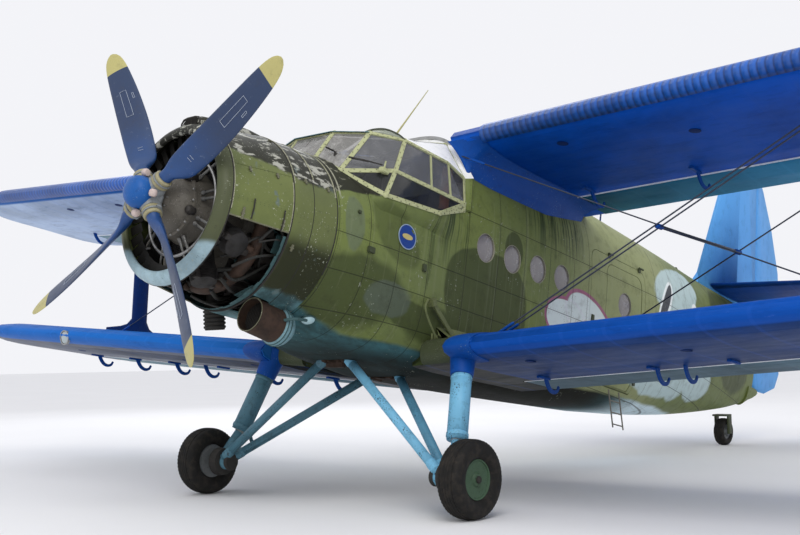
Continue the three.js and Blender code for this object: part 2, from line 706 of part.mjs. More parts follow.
function canopyFrame() {
  const outside = canopySolid(canopyInset(0));
  const inside = canopySolid(canopyInset(CANOPY_BAR));
  let frame = outside.subtract(inside).subtract(fuselageEnvelope);
  const [, deckPost, browPost] = CANOPY_FACES[0];
  const middlePane = [...paneCorners([deckPost, browPost], 1), ...paneCorners([browPost, deckPost], -1)];
  frame = frame.subtract(paneCut(middlePane, CANOPY_BAR_HALF));
  [1, -1].forEach((side) => {
    SIDE_PANES.forEach((names) => {
      frame = frame.subtract(paneCut(paneCorners(names, side), CANOPY_BAR_HALF));
    });
  });
  return mainPiece(frame);
}

function canopyGlass() {
  const outside = canopySolid(canopyInset(CANOPY_BAR + SEAT));
  const inside = canopySolid(canopyInset(CANOPY_BAR + SEAT + GLASS_WALL));
  const { front, low, half, top } = ROOF_PANEL;
  const behind = CANOPY_REAR + WALL;
  const roof = toSolid(block([-half, front, low], [half, behind, top]));
  const rear = toSolid(block([-half, CANOPY_REAR - SEAT, 0], [half, behind, top]));
  return mainPiece(outside.subtract(inside).subtract(join([fuselageEnvelope, roof, rear])));
}

// Nose

// A ring of the cowl about its axis, which rises a little towards the rear
function cowlRing(y, radius) {
  const share = (y - NOSE_RING_REAR) / (FIREWALL - NOSE_RING_REAR);
  const centreZ = COWL_AXIS_Z.front + share * (COWL_AXIS_Z.rear - COWL_AXIS_Z.front);
  const points = [];
  for (let i = 0; i < COWL_SEGMENTS; i += 1) {
    const angle = (2 * Math.PI * i) / COWL_SEGMENTS;
    points.push(new THREE.Vector3(Math.cos(angle) * radius, y, Math.sin(angle) * radius + centreZ));
  }
  return points;
}

function cowlBand(frontY, rearY, frontRadius, rearRadius) {
  const outside = toSolid(loft([cowlRing(frontY, frontRadius), cowlRing(rearY, rearRadius)]));
  const inner = [cowlRing(frontY - 1, frontRadius - COWL_WALL), cowlRing(rearY + 1, rearRadius - COWL_WALL)];
  return outside.subtract(toSolid(loft(inner)));
}

// The filled outside of the cowl behind the nose ring, grown a little
function cowlEnvelope() {
  const grown = (y, radius) => cowlRing(y, radius + SEAT);
  const front = loft([grown(NOSE_RING_REAR - 1, COWL_RADIUS.nose), grown(MID_SEAM, COWL_RADIUS.mid)]);
  const rear = loft([grown(MID_SEAM, COWL_RADIUS.mid), grown(FIREWALL, COWL_RADIUS.firewall)]);
  return toSolid(front).add(toSolid(rear));
}

function airScoop() {
  const { power, drop, steps } = AIR_SCOOP_SHAPE;
  const rings = AIR_SCOOP.map(({ y, half, top }) => {
    const ring = [new THREE.Vector3(-half, y, AIR_SCOOP_LOW)];
    for (let i = 0; i <= steps; i += 1) {
      const angle = Math.PI - (Math.PI * i) / steps;
      const side = Math.sign(Math.cos(angle)) * Math.abs(Math.cos(angle)) ** power;
      ring.push(new THREE.Vector3(side * half, y, top - (1 - Math.sin(angle) ** power) * half * drop));
    }
    ring.push(new THREE.Vector3(half, y, AIR_SCOOP_LOW));
    return ring;
  });
  return mainPiece(toSolid(loft(rings)).subtract(cowlEnvelope()));
}

// A turned body along a line between two points, from pairs of distance along it and radius
function turnedAlong(profile, front, rear, segments) {
  const geometry = turned([...profile, profile[0]], segments);
  const run = vec(rear).sub(vec(front)).normalize();
  geometry.applyQuaternion(new THREE.Quaternion().setFromUnitVectors(new THREE.Vector3(0, 1, 0), run));
  geometry.translate(...front);
  return toSolid(geometry);
}

function coolerDuct() {
  const duct = turnedAlong(COOLER_PROFILE, COOLER.front, COOLER.rear, 24);
  return mainPiece(duct.subtract(cowlEnvelope()).subtract(fuselageEnvelope));
}

function exhaustPipe() {
  const { top, low, radius, rib, ribs, ribWidth, ribStep, wall, depth } = EXHAUST;
  const profile = [[0, radius - wall], [0, radius]];
  for (let i = 0; i < ribs; i += 1) {
    const at = ribStep / 2 + i * ribStep;
    profile.push([at, radius], [at + 2, rib], [at + ribWidth, rib], [at + ribWidth + 2, radius]);
  }
  const length = vec(top).sub(vec(low)).length();
  profile.push([length, radius], [length, 0], [depth, 0], [depth, radius - wall]);
  const pipe = turnedAlong(profile, low, top, 20);
  return mainPiece(pipe.subtract(cowlEnvelope()).subtract(fuselageEnvelope));
}

function noseRing() {
  const rear = NOSE_RING_REAR - SEAT;
  const inner = [rear, COWL_RADIUS.nose - COWL_WALL];
  return turned([inner, [rear, COWL_RADIUS.nose], ...NOSE_LIP, inner], COWL_SEGMENTS, COWL_AXIS_Z.front);
}

function cowlPanels() {
  const band = cowlBand(NOSE_RING_REAR, MID_SEAM - SEAT, COWL_RADIUS.nose, COWL_RADIUS.mid);
  const wedge = new THREE.Shape();
  wedge.moveTo(0, 0);
  const reach = 1400;
  const { from, to } = OPEN_PANEL_DEG;
  for (let i = 0; i <= 4; i += 1) {
    const angle = radians(from + ((to - from) * i) / 4);
    wedge.lineTo(Math.cos(angle) * reach, Math.sin(angle) * reach);
  }
  wedge.closePath();
  const geometry = new THREE.ExtrudeGeometry(wedge, { depth: 900, bevelEnabled: false });
  geometry.rotateX(Math.PI / 2);
  geometry.translate(0, MID_SEAM + 100, 0);
  return mainPiece(band.subtract(toSolid(geometry)));
}

function engine() {
  const solids = [toSolid(turned(CRANKCASE_PROFILE, 24))];
  for (let i = 0; i < CYLINDER_COUNT; i += 1) {
    const angle = Math.PI / 2 + (2 * Math.PI * i) / CYLINDER_COUNT;
    const at = (reach) => [Math.cos(angle) * reach, CYLINDER_PLANE_Y, Math.sin(angle) * reach];
    solids.push(toSolid(bar(at(260), at(CYLINDER_REACH), CYLINDER_RADIUS)));
  }
  return join(solids);
}

// Propeller

function bladeGeometry() {
  const rings = BLADE_SECTIONS.map((section) => {
    const pitch = radians(section.pitch);
    const ring = [];
    for (let i = 0; i < BLADE_SECTION_POINTS; i += 1) {
      const angle = (2 * Math.PI * i) / BLADE_SECTION_POINTS;
      const along = (Math.cos(angle) * section.chord) / 2;
      const out = (Math.sin(angle) * section.thick) / 2;
      // Along the chord towards the leading edge: turning way and forwards
      const y = section.aft - along * Math.sin(pitch) + out * Math.cos(pitch);
      const z = along * Math.cos(pitch) + out * Math.sin(pitch);
      ring.push(new THREE.Vector3(section.reach, y, z));
    }
    return ring;
  });
  return loft(rings);
}

function hub() {
  const solids = [toSolid(turned(HUB_PROFILE, 24))];
  for (let i = 0; i < BLADE_COUNT; i += 1) {
    const angle = bladeAngle(i);
    const at = (reach) => [Math.cos(angle) * reach, 0, Math.sin(angle) * reach];
    solids.push(toSolid(bar(at(60), at(BLADE_ROOT_RADIUS - SEAT), HUB_STUB_RADIUS, HUB_STUB_RADIUS, 16)));
  }
  return join(solids);
}

const bladeAngle = (i) => radians(FIRST_BLADE_DEG - (360 / BLADE_COUNT) * i);

// Wings

const halfThick = (s, thickness) => 5 * thickness
  * (0.2969 * Math.sqrt(s) - 0.126 * s - 0.3516 * s ** 2 + 0.2843 * s ** 3 - 0.1036 * s ** 4);
const camber = (s) => 4 * WING_CAMBER * s * (1 - s);

// A point of a wing: share of the chord, height above the chord line, distance from the middle
function wingPoint(wing, s, height, x, leadShift = 0) {
  const incidence = radians(wing.incidence);
  const along = s * wing.chord + leadShift;
  return new THREE.Vector3(x,
    wing.leadY + along * Math.cos(incidence) + height * Math.sin(incidence),
    wing.leadZ + x * Math.tan(radians(wing.dihedral)) - along * Math.sin(incidence)
      + height * Math.cos(incidence));
}

// Shares of the chord, closer together at the nose
const chordShares = Array.from({ length: WING_POINTS }, (_, i) => (i / (WING_POINTS - 1)) ** 1.9);

function wingRing(wing, x, grow = 0, shrink = { front: 0, rear: 0, thick: 1 }) {
  const chord = wing.chord - shrink.front - shrink.rear;
  const ring = [];
  const add = (s, side) => {
    const profile = (camber(s) + side * halfThick(s, WING_THICKNESS)) * wing.chord;
    const height = profile * shrink.thick + side * grow;
    const along = shrink.front + s * chord + (2 * s - 1) * grow;
    ring.push(wingPoint(wing, 0, height, x, along));
  };
  for (let i = WING_POINTS - 1; i > 0; i -= 1) add(chordShares[i], 1);
  add(0, 0);
  for (let i = 1; i < WING_POINTS; i += 1) add(chordShares[i], -1);
  return ring;
}

function wingSolid(wing, grow = 0) {
  const rings = [wingRing(wing, wing.root, grow), wingRing(wing, wing.tip - wing.round, grow)];
  const steps = 5;
  for (let i = 1; i <= steps; i += 1) {
    const share = i / steps;
    const out = wing.tip - wing.round + wing.round * Math.sin((share * Math.PI) / 2);
    const narrow = 1 - Math.cos((share * Math.PI) / 2) * 0.94;
    rings.push(wingRing(wing, out, grow, {
      front: wing.chord * 0.34 * narrow ** 1.6,
      rear: wing.chord * 0.5 * narrow ** 1.6,
      thick: 1 - 0.8 * narrow ** 2,
    }));
  }
  return toSolid(loft(rings));
}

// Where a hinged surface turns: its nose is a half round about this line
function hingeAt(wing, s) {
  const radius = halfThick(s, WING_THICKNESS) * wing.chord * 0.94;
  const axisS = s + (radius + SLOT) / wing.chord;
  return { radius, axisS, height: camber(s) * wing.chord };
}

function surfaceRing(wing, x) {
  const hinge = hingeAt(wing, wing.cut);
  const axis = hinge.axisS * wing.chord;
  const ring = [];
  const steps = 8;
  for (let i = 0; i <= steps; i += 1) {
    const angle = Math.PI / 2 + (Math.PI * i) / steps;
    ring.push(wingPoint(wing, 0, hinge.height + Math.sin(angle) * hinge.radius, x,
      axis + Math.cos(angle) * hinge.radius));
  }
  const middle = (1 + hinge.axisS) / 2;
  const lowMiddle = camber(middle) * wing.chord - halfThick(middle, WING_THICKNESS) * wing.chord;
  const topMiddle = camber(middle) * wing.chord + halfThick(middle, WING_THICKNESS) * wing.chord;
  ring.push(wingPoint(wing, middle, lowMiddle, x));
  ring.push(wingPoint(wing, 1, -4, x));
  ring.push(wingPoint(wing, 1, 4, x));
  ring.push(wingPoint(wing, middle, topMiddle, x));
  return ring;
}

const surface = (wing, span) => loft([surfaceRing(wing, span.from), surfaceRing(wing, span.to)]);

// The room behind the wing's rear face that a hinged surface takes
function surfaceRoom(wing, span) {
  const tall = wing.chord * 0.25;
  const ring = (x) => [
    wingPoint(wing, wing.cut, -tall, x),
    wingPoint(wing, 1.2, -tall, x),
    wingPoint(wing, 1.2, tall, x),
    wingPoint(wing, wing.cut, tall, x),
  ];
  return toSolid(loft([ring(span.from - SLOT), ring(span.to + SLOT)]));
}

// Hinge lugs that carry a surface by its round nose
function hingeLugs(wing, span) {
  const hinge = hingeAt(wing, wing.cut);
  const axis = hinge.axisS * wing.chord;
  const lugs = LUG_SHARES.map((share) => {
    const x = span.from + (span.to - span.from) * share;
    const seat = (hinge.radius + SEAT) / Math.cos(radians(LUG_HALF_ANGLE / 4));
    const ring = (side) => {
      const points = [];
      for (let i = 0; i <= 4; i += 1) {
        const angle = radians(180 - LUG_HALF_ANGLE + (2 * LUG_HALF_ANGLE * i) / 4);
        points.push(wingPoint(wing, 0, hinge.height + Math.sin(angle) * seat, x + side,
          axis + Math.cos(angle) * seat));
      }
      const deep = wing.cut * wing.chord - LUG_DEPTH;
      const half = Math.sin(radians(LUG_HALF_ANGLE)) * seat;
      points.push(wingPoint(wing, 0, hinge.height - half, x + side, deep));
      points.push(wingPoint(wing, 0, hinge.height + half, x + side, deep));
      return points;
    };
    return toSolid(loft([ring(-LUG_WIDTH / 2), ring(LUG_WIDTH / 2)]));
  });
  return join(lugs);
}

function wingPanel(wing, spans) {
  let panel = wingSolid(wing).subtract(fuselageEnvelope);
  const reach = { from: spans[0].from, to: spans[spans.length - 1].to };
  panel = panel.subtract(surfaceRoom(wing, reach));
  spans.forEach((span) => {
    panel = panel.add(hingeLugs(wing, span));
  });
  return mainPiece(panel);
}

// The slat lies round the nose of the upper wing
function slat() {
  const wing = UPPER_WING;
  const path = (grow) => {
    const upper = SLAT_SHARES.upper.map((s) => [s, 1]);
    const lower = SLAT_SHARES.lower.map((s) => [s, -1]);
    return [...upper, [0, 0], ...lower].map(([s, side]) => ({
      along: s * wing.chord - grow * Math.exp(-s * 60),
      height: (camber(s) + side * halfThick(s, WING_THICKNESS)) * wing.chord
        + side * grow * (1 - 0.6 * Math.exp(-s * 60)),
    }));
  };
  const ring = (x) => [...path(SLAT_WALL + SLAT_LIFT), ...path(SLAT_LIFT).reverse()]
    .map(({ along, height }) => wingPoint(wing, 0, height, x, along));
  return loft([ring(SLAT_SPAN.from), ring(SLAT_SPAN.to)]);
}

// Struts and stays

const wingHeight = (wing, x, y, side) => {
  const s = THREE.MathUtils.clamp((y - wing.leadY) / wing.chord, 0.001, 1);
  return wingPoint(wing, s, (camber(s) + side * halfThick(s, WING_THICKNESS)) * wing.chord, x).z;
};

function strutSolid(grow = 0) {
  const low = wingHeight(LOWER_WING, STRUT_X, STRUT_FOOT.middle, 1);
  const high = wingHeight(UPPER_WING, STRUT_X, STRUT_HEAD.middle, -1);
  const ring = (z, front, rear, thick) => {
    const middle = (front + rear) / 2;
    const points = [];
    for (let i = 0; i < 12; i += 1) {
      const angle = (2 * Math.PI * i) / 12;
      points.push(new THREE.Vector3(STRUT_X + Math.sin(angle) * (thick / 2 + grow),
        middle + Math.cos(angle) * ((rear - front) / 2 + grow), z));
    }
    return points;
  };
  const end = (z, away, seat) => STRUT_FLARE.map(([up, share, thick]) => ring(z + away * up,
    seat.middle - STRUT_CHORD / 2 + (seat.front - seat.middle + STRUT_CHORD / 2) * share,
    seat.middle + STRUT_CHORD / 2 + (seat.rear - seat.middle - STRUT_CHORD / 2) * share, thick));
  return toSolid(loft([...end(low, 1, STRUT_FOOT), ...end(high, -1, STRUT_HEAD).reverse()]));
}

const wingsGrown = join([wingSolid(LOWER_WING, SEAT), wingSolid(UPPER_WING, SEAT)]);

const interplaneStrut = () => mainPiece(strutSolid().subtract(wingsGrown));

const wire = (from, to) => toSolid(bar(from, to, WIRE_RADIUS, WIRE_RADIUS, 6));

// A stay is cut where it meets the wings, the strut and the fuselage
const fitted = (stay) => mainPiece(stay.subtract(wingsGrown).subtract(strutSolid(SEAT))
  .subtract(fuselageEnvelope));

// The two front wires run side by side, held apart by a bar near each end and by the stick
function frontWires() {
  const { root, head } = FRONT_WIRE;
  const { radius, overhang, sides, shares } = CROSS_BAR;
  const spread = WIRE_SPREAD / 2;
  const at = (share, by) => root.map((value, i) => value + (head[i] - value) * share + (i === 1 ? by : 0));
  const crossBar = (share) => toSolid(bar(at(share, -spread - overhang), at(share, spread + overhang),
    radius, radius, sides));
  return fitted(join([
    wire(at(0, -spread), at(1, -spread)),
    wire(at(0, spread), at(1, spread)),
    ...shares.map(crossBar),
  ]));
}

function rearWire() {
  const { front, rear, radius } = SPREADER;
  const stick = toSolid(bar(front, rear, radius, radius, 8));
  return fitted(wire(REAR_WIRE.root, REAR_WIRE.head).add(stick).subtract(frontWiresRoom()));
}

// The room of the front pair of wires, grown by the seating gap
function frontWiresRoom() {
  const { root, head } = FRONT_WIRE;
  const spread = WIRE_SPREAD / 2;
  const radius = WIRE_RADIUS + SEAT + 0.8;
  const shift = (point, by) => [point[0], point[1] + by, point[2]];
  const room = (by) => toSolid(bar(shift(root, by), shift(head, by), radius, radius, 6));
  return join([-spread, spread].map(room));
}

function landingWire() {
  const { front, rear, radius } = SPREADER;
  const room = radius + SEAT + 1;
  const stick = toSolid(bar(front, rear, room, room, 8));
  return fitted(wire(LANDING_WIRE.root, LANDING_WIRE.foot).subtract(stick));
}

// Tail

const hingeY = (z) => HINGE_LINE.y + (z - HINGE_LINE.z) * HINGE_LINE.slope;

function finSolid() {
  const rear = RUDDER_HALF + SLOT;
  const ring = (z, narrow = 0, half = FIN.half) => {
    const lead = FIN.leadLow + (z - FIN.leadLowZ) * FIN.slope + narrow;
    const aft = hingeY(z) - rear;
    const depth = aft - lead;
    const points = [];
    FIN_SECTION.forEach(([s, share]) => points.push(new THREE.Vector3(half * share, lead + depth * s, z)));
    points.push(new THREE.Vector3(0, lead, z));
    [...FIN_SECTION].reverse().forEach(([s, share]) => {
      points.push(new THREE.Vector3(-half * share, lead + depth * s, z));
    });
    return points;
  };
  const tip = FIN_TIP.map(({ z, narrow, half }) => ring(z, narrow, half));
  return toSolid(loft([ring(FIN.base), ring(3420), ...tip]));
}

// Lugs on a fin-like rear face that hold a surface by its round nose
function plainLug(centre, across, forward, radius) {
  const seat = (radius + SEAT) / Math.cos(radians(LUG_HALF_ANGLE / 4));
  const upward = new THREE.Vector3().crossVectors(across, forward);
  const ring = (side) => {
    const points = [];
    const place = (ahead, up) => points.push(centre.clone()
      .addScaledVector(across, side).addScaledVector(forward, ahead).addScaledVector(upward, up));
    for (let i = 0; i <= 4; i += 1) {
      const angle = radians(-LUG_HALF_ANGLE + (2 * LUG_HALF_ANGLE * i) / 4);
      place(Math.cos(angle) * seat, Math.sin(angle) * seat);
    }
    const half = Math.sin(radians(LUG_HALF_ANGLE)) * seat;
    place(radius + SLOT + LUG_DEPTH, half);
    place(radius + SLOT + LUG_DEPTH, -half);
    return points;
  };
  return toSolid(loft([ring(-LUG_WIDTH / 2), ring(LUG_WIDTH / 2)]));
}

function fin() {
  const up = new THREE.Vector3(0, HINGE_LINE.slope, 1).normalize();
  const forward = new THREE.Vector3(0, -1, HINGE_LINE.slope).normalize();
  let body = finSolid().subtract(fuselageEnvelope);
  RUDDER_LUGS_Z.forEach((z) => {
    body = body.add(plainLug(new THREE.Vector3(0, hingeY(z), z), up, forward, RUDDER_HALF));
  });
  return mainPiece(body);
}

function rudder() {
  const rings = RUDDER_SECTIONS.map(({ z, chord }) => {
    const axis = hingeY(z);
    const points = [];
    for (let i = 0; i <= 8; i += 1) {
      const angle = Math.PI / 2 + (Math.PI * i) / 8;
      points.push(new THREE.Vector3(Math.sin(angle) * RUDDER_HALF, axis + Math.cos(angle) * RUDDER_HALF, z));
    }
    points.push(new THREE.Vector3(-6, axis + chord, z));
    points.push(new THREE.Vector3(6, axis + chord, z));
    return points;
  });
  return loft(rings);
}

// Half of the tailplane or of the elevator on the port side
const tailHingeY = TAILPLANE.leadY + TAILPLANE.chord;

function tailplaneSolid() {
  const rear = ELEVATOR_HALF + SLOT;
  const ring = (x, lead, half) => {
    const aft = tailHingeY - rear;
    const depth = aft - lead;
    const points = [];
    const add = (s, share) => points.push(new THREE.Vector3(x, lead + depth * s, TAILPLANE.z + half * share));
    TAILPLANE_SECTION.forEach(([s, share]) => add(s, share));
    add(0, 0);
    [...TAILPLANE_SECTION].reverse().forEach(([s, share]) => add(s, -share));
    return points;
  };
  const { leadY, span, half } = TAILPLANE;
  const outer = leadY + TAILPLANE.chord - TAILPLANE.tipChord;
  return toSolid(loft([ring(60, leadY, half), ring(span - 420, outer, half * 0.8),
    ring(span - 180, outer + 90, half * 0.7), ring(span - 50, outer + 280, half * 0.55),
    ring(span, outer + 520, half * 0.35)]));
}

function tailplane() {
  const envelope = join([fuselageEnvelope, finGrown()]);
  let body = tailplaneSolid().subtract(envelope);
  const out = new THREE.Vector3(1, 0, 0);
  const forward = new THREE.Vector3(0, -1, 0);
  ELEVATOR_LUGS_X.forEach((x) => {
    body = body.add(plainLug(new THREE.Vector3(x, tailHingeY, TAILPLANE.z), out, forward, ELEVATOR_HALF));
  });
  return mainPiece(body);
}

// The fin grown sideways by the seating gap
function finGrown() {
  const half = FIN.half + SEAT;
  return toSolid(block([-half, 9000, 1200], [half, 11400, 3800]));
}

function elevator() {
  const ring = (x, chord) => {
    const points = [];
    for (let i = 0; i <= 8; i += 1) {
      const angle = Math.PI / 2 + (Math.PI * i) / 8;
      points.push(new THREE.Vector3(x, tailHingeY + Math.cos(angle) * ELEVATOR_HALF,
        TAILPLANE.z + Math.sin(angle) * ELEVATOR_HALF));
    }
    points.push(new THREE.Vector3(x, tailHingeY + chord, TAILPLANE.z - 5));
    points.push(new THREE.Vector3(x, tailHingeY + chord, TAILPLANE.z + 5));
    return points;
  };
  const { from, to } = ELEVATOR_SPAN;
  const outline = [
    { x: from, share: 0.6 },
    { x: from + 330, share: 1 },
    { x: to - 360, share: 0.9 },
    { x: to - 100, share: 0.62 },
    { x: to, share: 0.3 },
  ];
  return loft(outline.map(({ x, share }) => ring(x, ELEVATOR_CHORD * share)));
}

function tailplaneStrut() {
  const { foot, head, radius } = TAILPLANE_STRUT;
  const solid = toSolid(bar(foot, head, radius));
  return mainPiece(solid.subtract(fuselageEnvelope).subtract(toSolid(tailplaneUnderside())));
}

// The room that the tailplane takes, grown by the seating gap
function tailplaneUnderside() {
  const under = TAILPLANE.z - TAILPLANE.half * 0.87 - SEAT;
  return block([0, 9400, under], [3700, 11400, 1800]);
}

// Landing gear

function gearLeg() {
  const axleZ = MAIN_WHEEL.z;
  const axleY = MAIN_WHEEL.y;
  const onAxle = (x) => [x, axleY, axleZ];
  const axleEnd = onAxle(MAIN_WHEEL.x + AXLE_REACH);
  const solids = [
    toSolid(bar(LEG_TOP, LEG_CYLINDER_END, LEG_RADIUS, LEG_RADIUS, 18)),
    toSolid(bar(LEG_CYLINDER_END, PISTON_FOOT, PISTON_RADIUS)),
    toSolid(bar(onAxle(DRUM.from), onAxle(DRUM.to), DRUM.radius, DRUM.radius, 18)),
    toSolid(bar(onAxle(DRUM.to - AXLE_LAP), axleEnd, AXLE_RADIUS, AXLE_RADIUS, 16)),
  ];
  return mainPiece(join(solids).subtract(wingSolid(LOWER_WING, SEAT)).subtract(fuselageEnvelope));
}

function brace({ top, foot }) {
  const drum = bar([DRUM.from - SEAT, MAIN_WHEEL.y, MAIN_WHEEL.z], [DRUM.to, MAIN_WHEEL.y, MAIN_WHEEL.z],
    DRUM.radius + 1, DRUM.radius + 1, 18);
  const piston = bar(LEG_CYLINDER_END, PISTON_FOOT, PISTON_RADIUS + 1);
  return mainPiece(toSolid(bar(top, foot, BRACE_RADIUS)).subtract(toSolid(drum)).subtract(toSolid(piston))
    .subtract(fuselageEnvelope));
}

// A turned wheel part on an axle along X, with a flat of its tread on the ground
function wheelPart(profile, segments, leanBack) {
  const grown = profile.map(([x, r]) => [x, r / Math.cos(Math.PI / segments)]);
  const geometry = turned(grown, segments);
  geometry.rotateZ(-Math.PI / 2);
  geometry.rotateX(leanBack + Math.PI / segments);
  return geometry;
}

function tyreProfile({ radius, width, rim }) {
  const half = width / 2;
  const points = [[-half * 0.62, rim], [half * 0.62, rim], [half * 0.9, rim + (radius - rim) * 0.22],
    [half, rim + (radius - rim) * 0.52], [half * 0.9, rim + (radius - rim) * 0.8], [half * 0.55, radius - 9],
    [half * 0.26, radius], [-half * 0.26, radius], [-half * 0.55, radius - 9],
    [-half * 0.9, rim + (radius - rim) * 0.8], [-half, rim + (radius - rim) * 0.52],
    [-half * 0.9, rim + (radius - rim) * 0.22]];
  return [...points, points[0]];
}

function rimProfile({ width, rim }, bore) {
  const half = width / 2;
  const edge = rim - SEAT;
  const points = [[half * 0.6, edge], [-half * 0.6, edge], [-half * 0.6, edge - 26], [-half * 0.3, edge - 40],
    [-half * 0.3, bore + 40], [-half * 0.5, bore + 40], [-half * 0.5, bore], [half * 0.5, bore],
    [half * 0.5, 0], [half * 0.76, 0], [half * 0.76, bore + 30], [half * 0.66, bore + 48],
    [half * 0.36, bore + 52], [half * 0.36, edge - 40], [half * 0.6, edge - 26]];
  return [...points, points[0]];
}

function tailRimProfile({ width, rim }) {
  const half = width / 2;
  const edge = rim - SEAT;
  const bore = TAIL_FORK.axle + SEAT;
  const points = [[half * 0.6, edge], [-half * 0.6, edge], [-half * 0.6, edge - 14], [-half * 0.3, edge - 24],
    [-half * 0.3, bore + 26], [-half, bore + 22], [-half, bore], [half, bore], [half, bore + 22],
    [half * 0.3, bore + 26], [half * 0.3, edge - 24], [half * 0.6, edge - 14]];
  return [...points, points[0]];
}

// The fork of the tail wheel, about its axle and upright
function tailFork() {
  const { halfWidth, trail, crown, thick } = TAIL_FORK;
  const arm = (side) => block([side * halfWidth - 11, -55, -30], [side * halfWidth + 11, 55, crown + 1]);
  return join([
    toSolid(arm(1)),
    toSolid(arm(-1)),
    toSolid(block([-halfWidth - 11, -trail - 55, crown], [halfWidth + 11, 55, crown + thick])),
    toSolid(bar([-halfWidth, 0, 0], [halfWidth, 0, 0], TAIL_FORK.axle)),
  ]);
}

// The boss under the tail that the fork turns in, upright when parked
function tailPivotBoss(leanBack) {
  const turn = new THREE.Matrix4().makeRotationX(leanBack);
  turn.setPosition(0, TAIL_WHEEL.y, TAIL_WHEEL.z);
  const foot = TAIL_FORK.crown + TAIL_FORK.thick + SEAT;
  const top = foot + TAIL_FORK.boss;
  const geometry = bar([0, -TAIL_FORK.trail, foot], [0, -TAIL_FORK.trail, top], 60, 60, 16);
  geometry.applyMatrix4(turn);
  return toSolid(geometry);
}

// Assembly

const aircraft = new THREE.Group();

function addPiece(name, geometry, material, parent = aircraft) {
  const mesh = new THREE.Mesh(geometry, material);
  mesh.name = name;
  parent.add(mesh);
  return mesh;
}

function addPair(name, geometry, material) {
  addPiece(`${name}_port`, geometry, material);
  addPiece(`${name}_starboard`, mirrored(geometry), material.clone());
}

addPiece("cockpit_section", toGeometry(cockpitSection()), paint(OLIVE));
addPiece("cabin_section", toGeometry(cabinSection()), paint(OLIVE));
addPiece("tail_section", toGeometry(tailSection()), paint(OLIVE));
addPiece("canopy_frame", toGeometry(canopyFrame()), paint(0xb9bd7c));
addPiece("canopy_glass", toGeometry(canopyGlass()), paint(0x30363a, 0.15, 0));
addPiece("cowl_nose_ring", noseRing(), paint(OLIVE));
addPiece("cowl_side_panels", toGeometry(cowlPanels()), paint(OLIVE));
const rearBand = cowlBand(MID_SEAM, FIREWALL - SEAT, COWL_RADIUS.mid, COWL_RADIUS.firewall);
addPiece("cowl_rear_band", toGeometry(rearBand), paint(OLIVE));
addPiece("air_scoop", toGeometry(airScoop()), paint(0x3a3a34));
addPiece("cooler_duct", toGeometry(coolerDuct()), paint(0x6a4a36, 0.8, 0.3));
addPiece("exhaust_pipe", toGeometry(exhaustPipe()), paint(0x262422, 0.8, 0.3));
addPiece("engine", toGeometry(engine()), paint(0x4c4640, 0.7, 0.4));
addPiece("propeller_hub", toGeometry(hub()), paint(0x4f86c6));
for (let i = 0; i < BLADE_COUNT; i += 1) {
  const blade = addPiece(`propeller_blade_${i + 1}`, bladeGeometry(), paint(0x4a5f93, 0.5, 0.1));
  blade.rotation.y = -bladeAngle(i);
}
addPiece("cargo_door", toGeometry(cargoDoor()), paint(OLIVE));
addPiece("passenger_door", toGeometry(passengerDoor()), paint(OLIVE));
addPair("upper_wing", toGeometry(wingPanel(UPPER_WING, [UPPER_FLAP_SPAN, AILERON_SPAN])), paint(DEEP_BLUE));
addPair("upper_flap", surface(UPPER_WING, UPPER_FLAP_SPAN), paint(0x3f7f92));
addPair("aileron", surface(UPPER_WING, AILERON_SPAN), paint(PALE_BLUE));
addPair("slat", slat(), paint(DEEP_BLUE));
addPair("lower_wing", toGeometry(wingPanel(LOWER_WING, [LOWER_FLAP_SPAN])), paint(DEEP_BLUE));
addPair("lower_flap", surface(LOWER_WING, LOWER_FLAP_SPAN), paint(PALE_BLUE));
addPair("interplane_strut", toGeometry(interplaneStrut()), paint(DEEP_BLUE));
addPair("front_flying_wires", toGeometry(frontWires()), paint(0x3c424c, 0.4, 0.8));
addPair("rear_flying_wire", toGeometry(rearWire()), paint(0x3c424c, 0.4, 0.8));
addPair("landing_wire", toGeometry(landingWire()), paint(0x3c424c, 0.4, 0.8));
addPiece("fin", toGeometry(fin()), paint(SKY_BLUE));
addPiece("rudder", rudder(), paint(SKY_BLUE));
addPair("tailplane", toGeometry(tailplane()), paint(DEEP_BLUE));
addPair("elevator", elevator(), paint(DEEP_BLUE));
addPair("tailplane_strut", toGeometry(tailplaneStrut()), paint(DEEP_BLUE));
addPair("gear_leg", toGeometry(gearLeg()), paint(SKY_BLUE));
addPair("gear_front_brace", toGeometry(brace(BRACES.front)), paint(SKY_BLUE));
addPair("gear_rear_brace", toGeometry(brace(BRACES.rear)), paint(SKY_BLUE));

[["port", 1], ["starboard", -1]].forEach(([side, sign]) => {
  const { x, y, z } = MAIN_WHEEL;
  const tread = wheelPart(tyreProfile(MAIN_WHEEL), WHEEL_SEGMENTS, lean);
  const tyre = addPiece(`main_tyre_${side}`, tread, paint(RUBBER, 0.9, 0));
  const rim = wheelPart(rimProfile(MAIN_WHEEL, AXLE_RADIUS + SEAT), WHEEL_SEGMENTS, lean);
  const sided = sign > 0 ? rim : mirrored(rim);
  const wheel = addPiece(`main_rim_${side}`, sided, paint(0x6f8a6b, 0.5, 0.4));
  [tyre, wheel].forEach((piece) => piece.position.set(sign * x, y, z));
});

// The tail wheel and its fork stand upright when the aircraft is parked
const tailGear = new THREE.Group();
tailGear.position.set(0, TAIL_WHEEL.y, TAIL_WHEEL.z);
tailGear.rotation.x = lean;
aircraft.add(tailGear);

addPiece("tail_fork", toGeometry(tailFork()), paint(SKY_BLUE), tailGear);
const tailTread = wheelPart(tyreProfile(TAIL_WHEEL), TAIL_WHEEL_SEGMENTS, 0);
addPiece("tail_tyre", tailTread, paint(RUBBER, 0.9, 0), tailGear);
const tailRim = wheelPart(tailRimProfile(TAIL_WHEEL), TAIL_WHEEL_SEGMENTS, 0);
addPiece("tail_rim", tailRim, paint(0x6f7a70, 0.5, 0.4), tailGear);

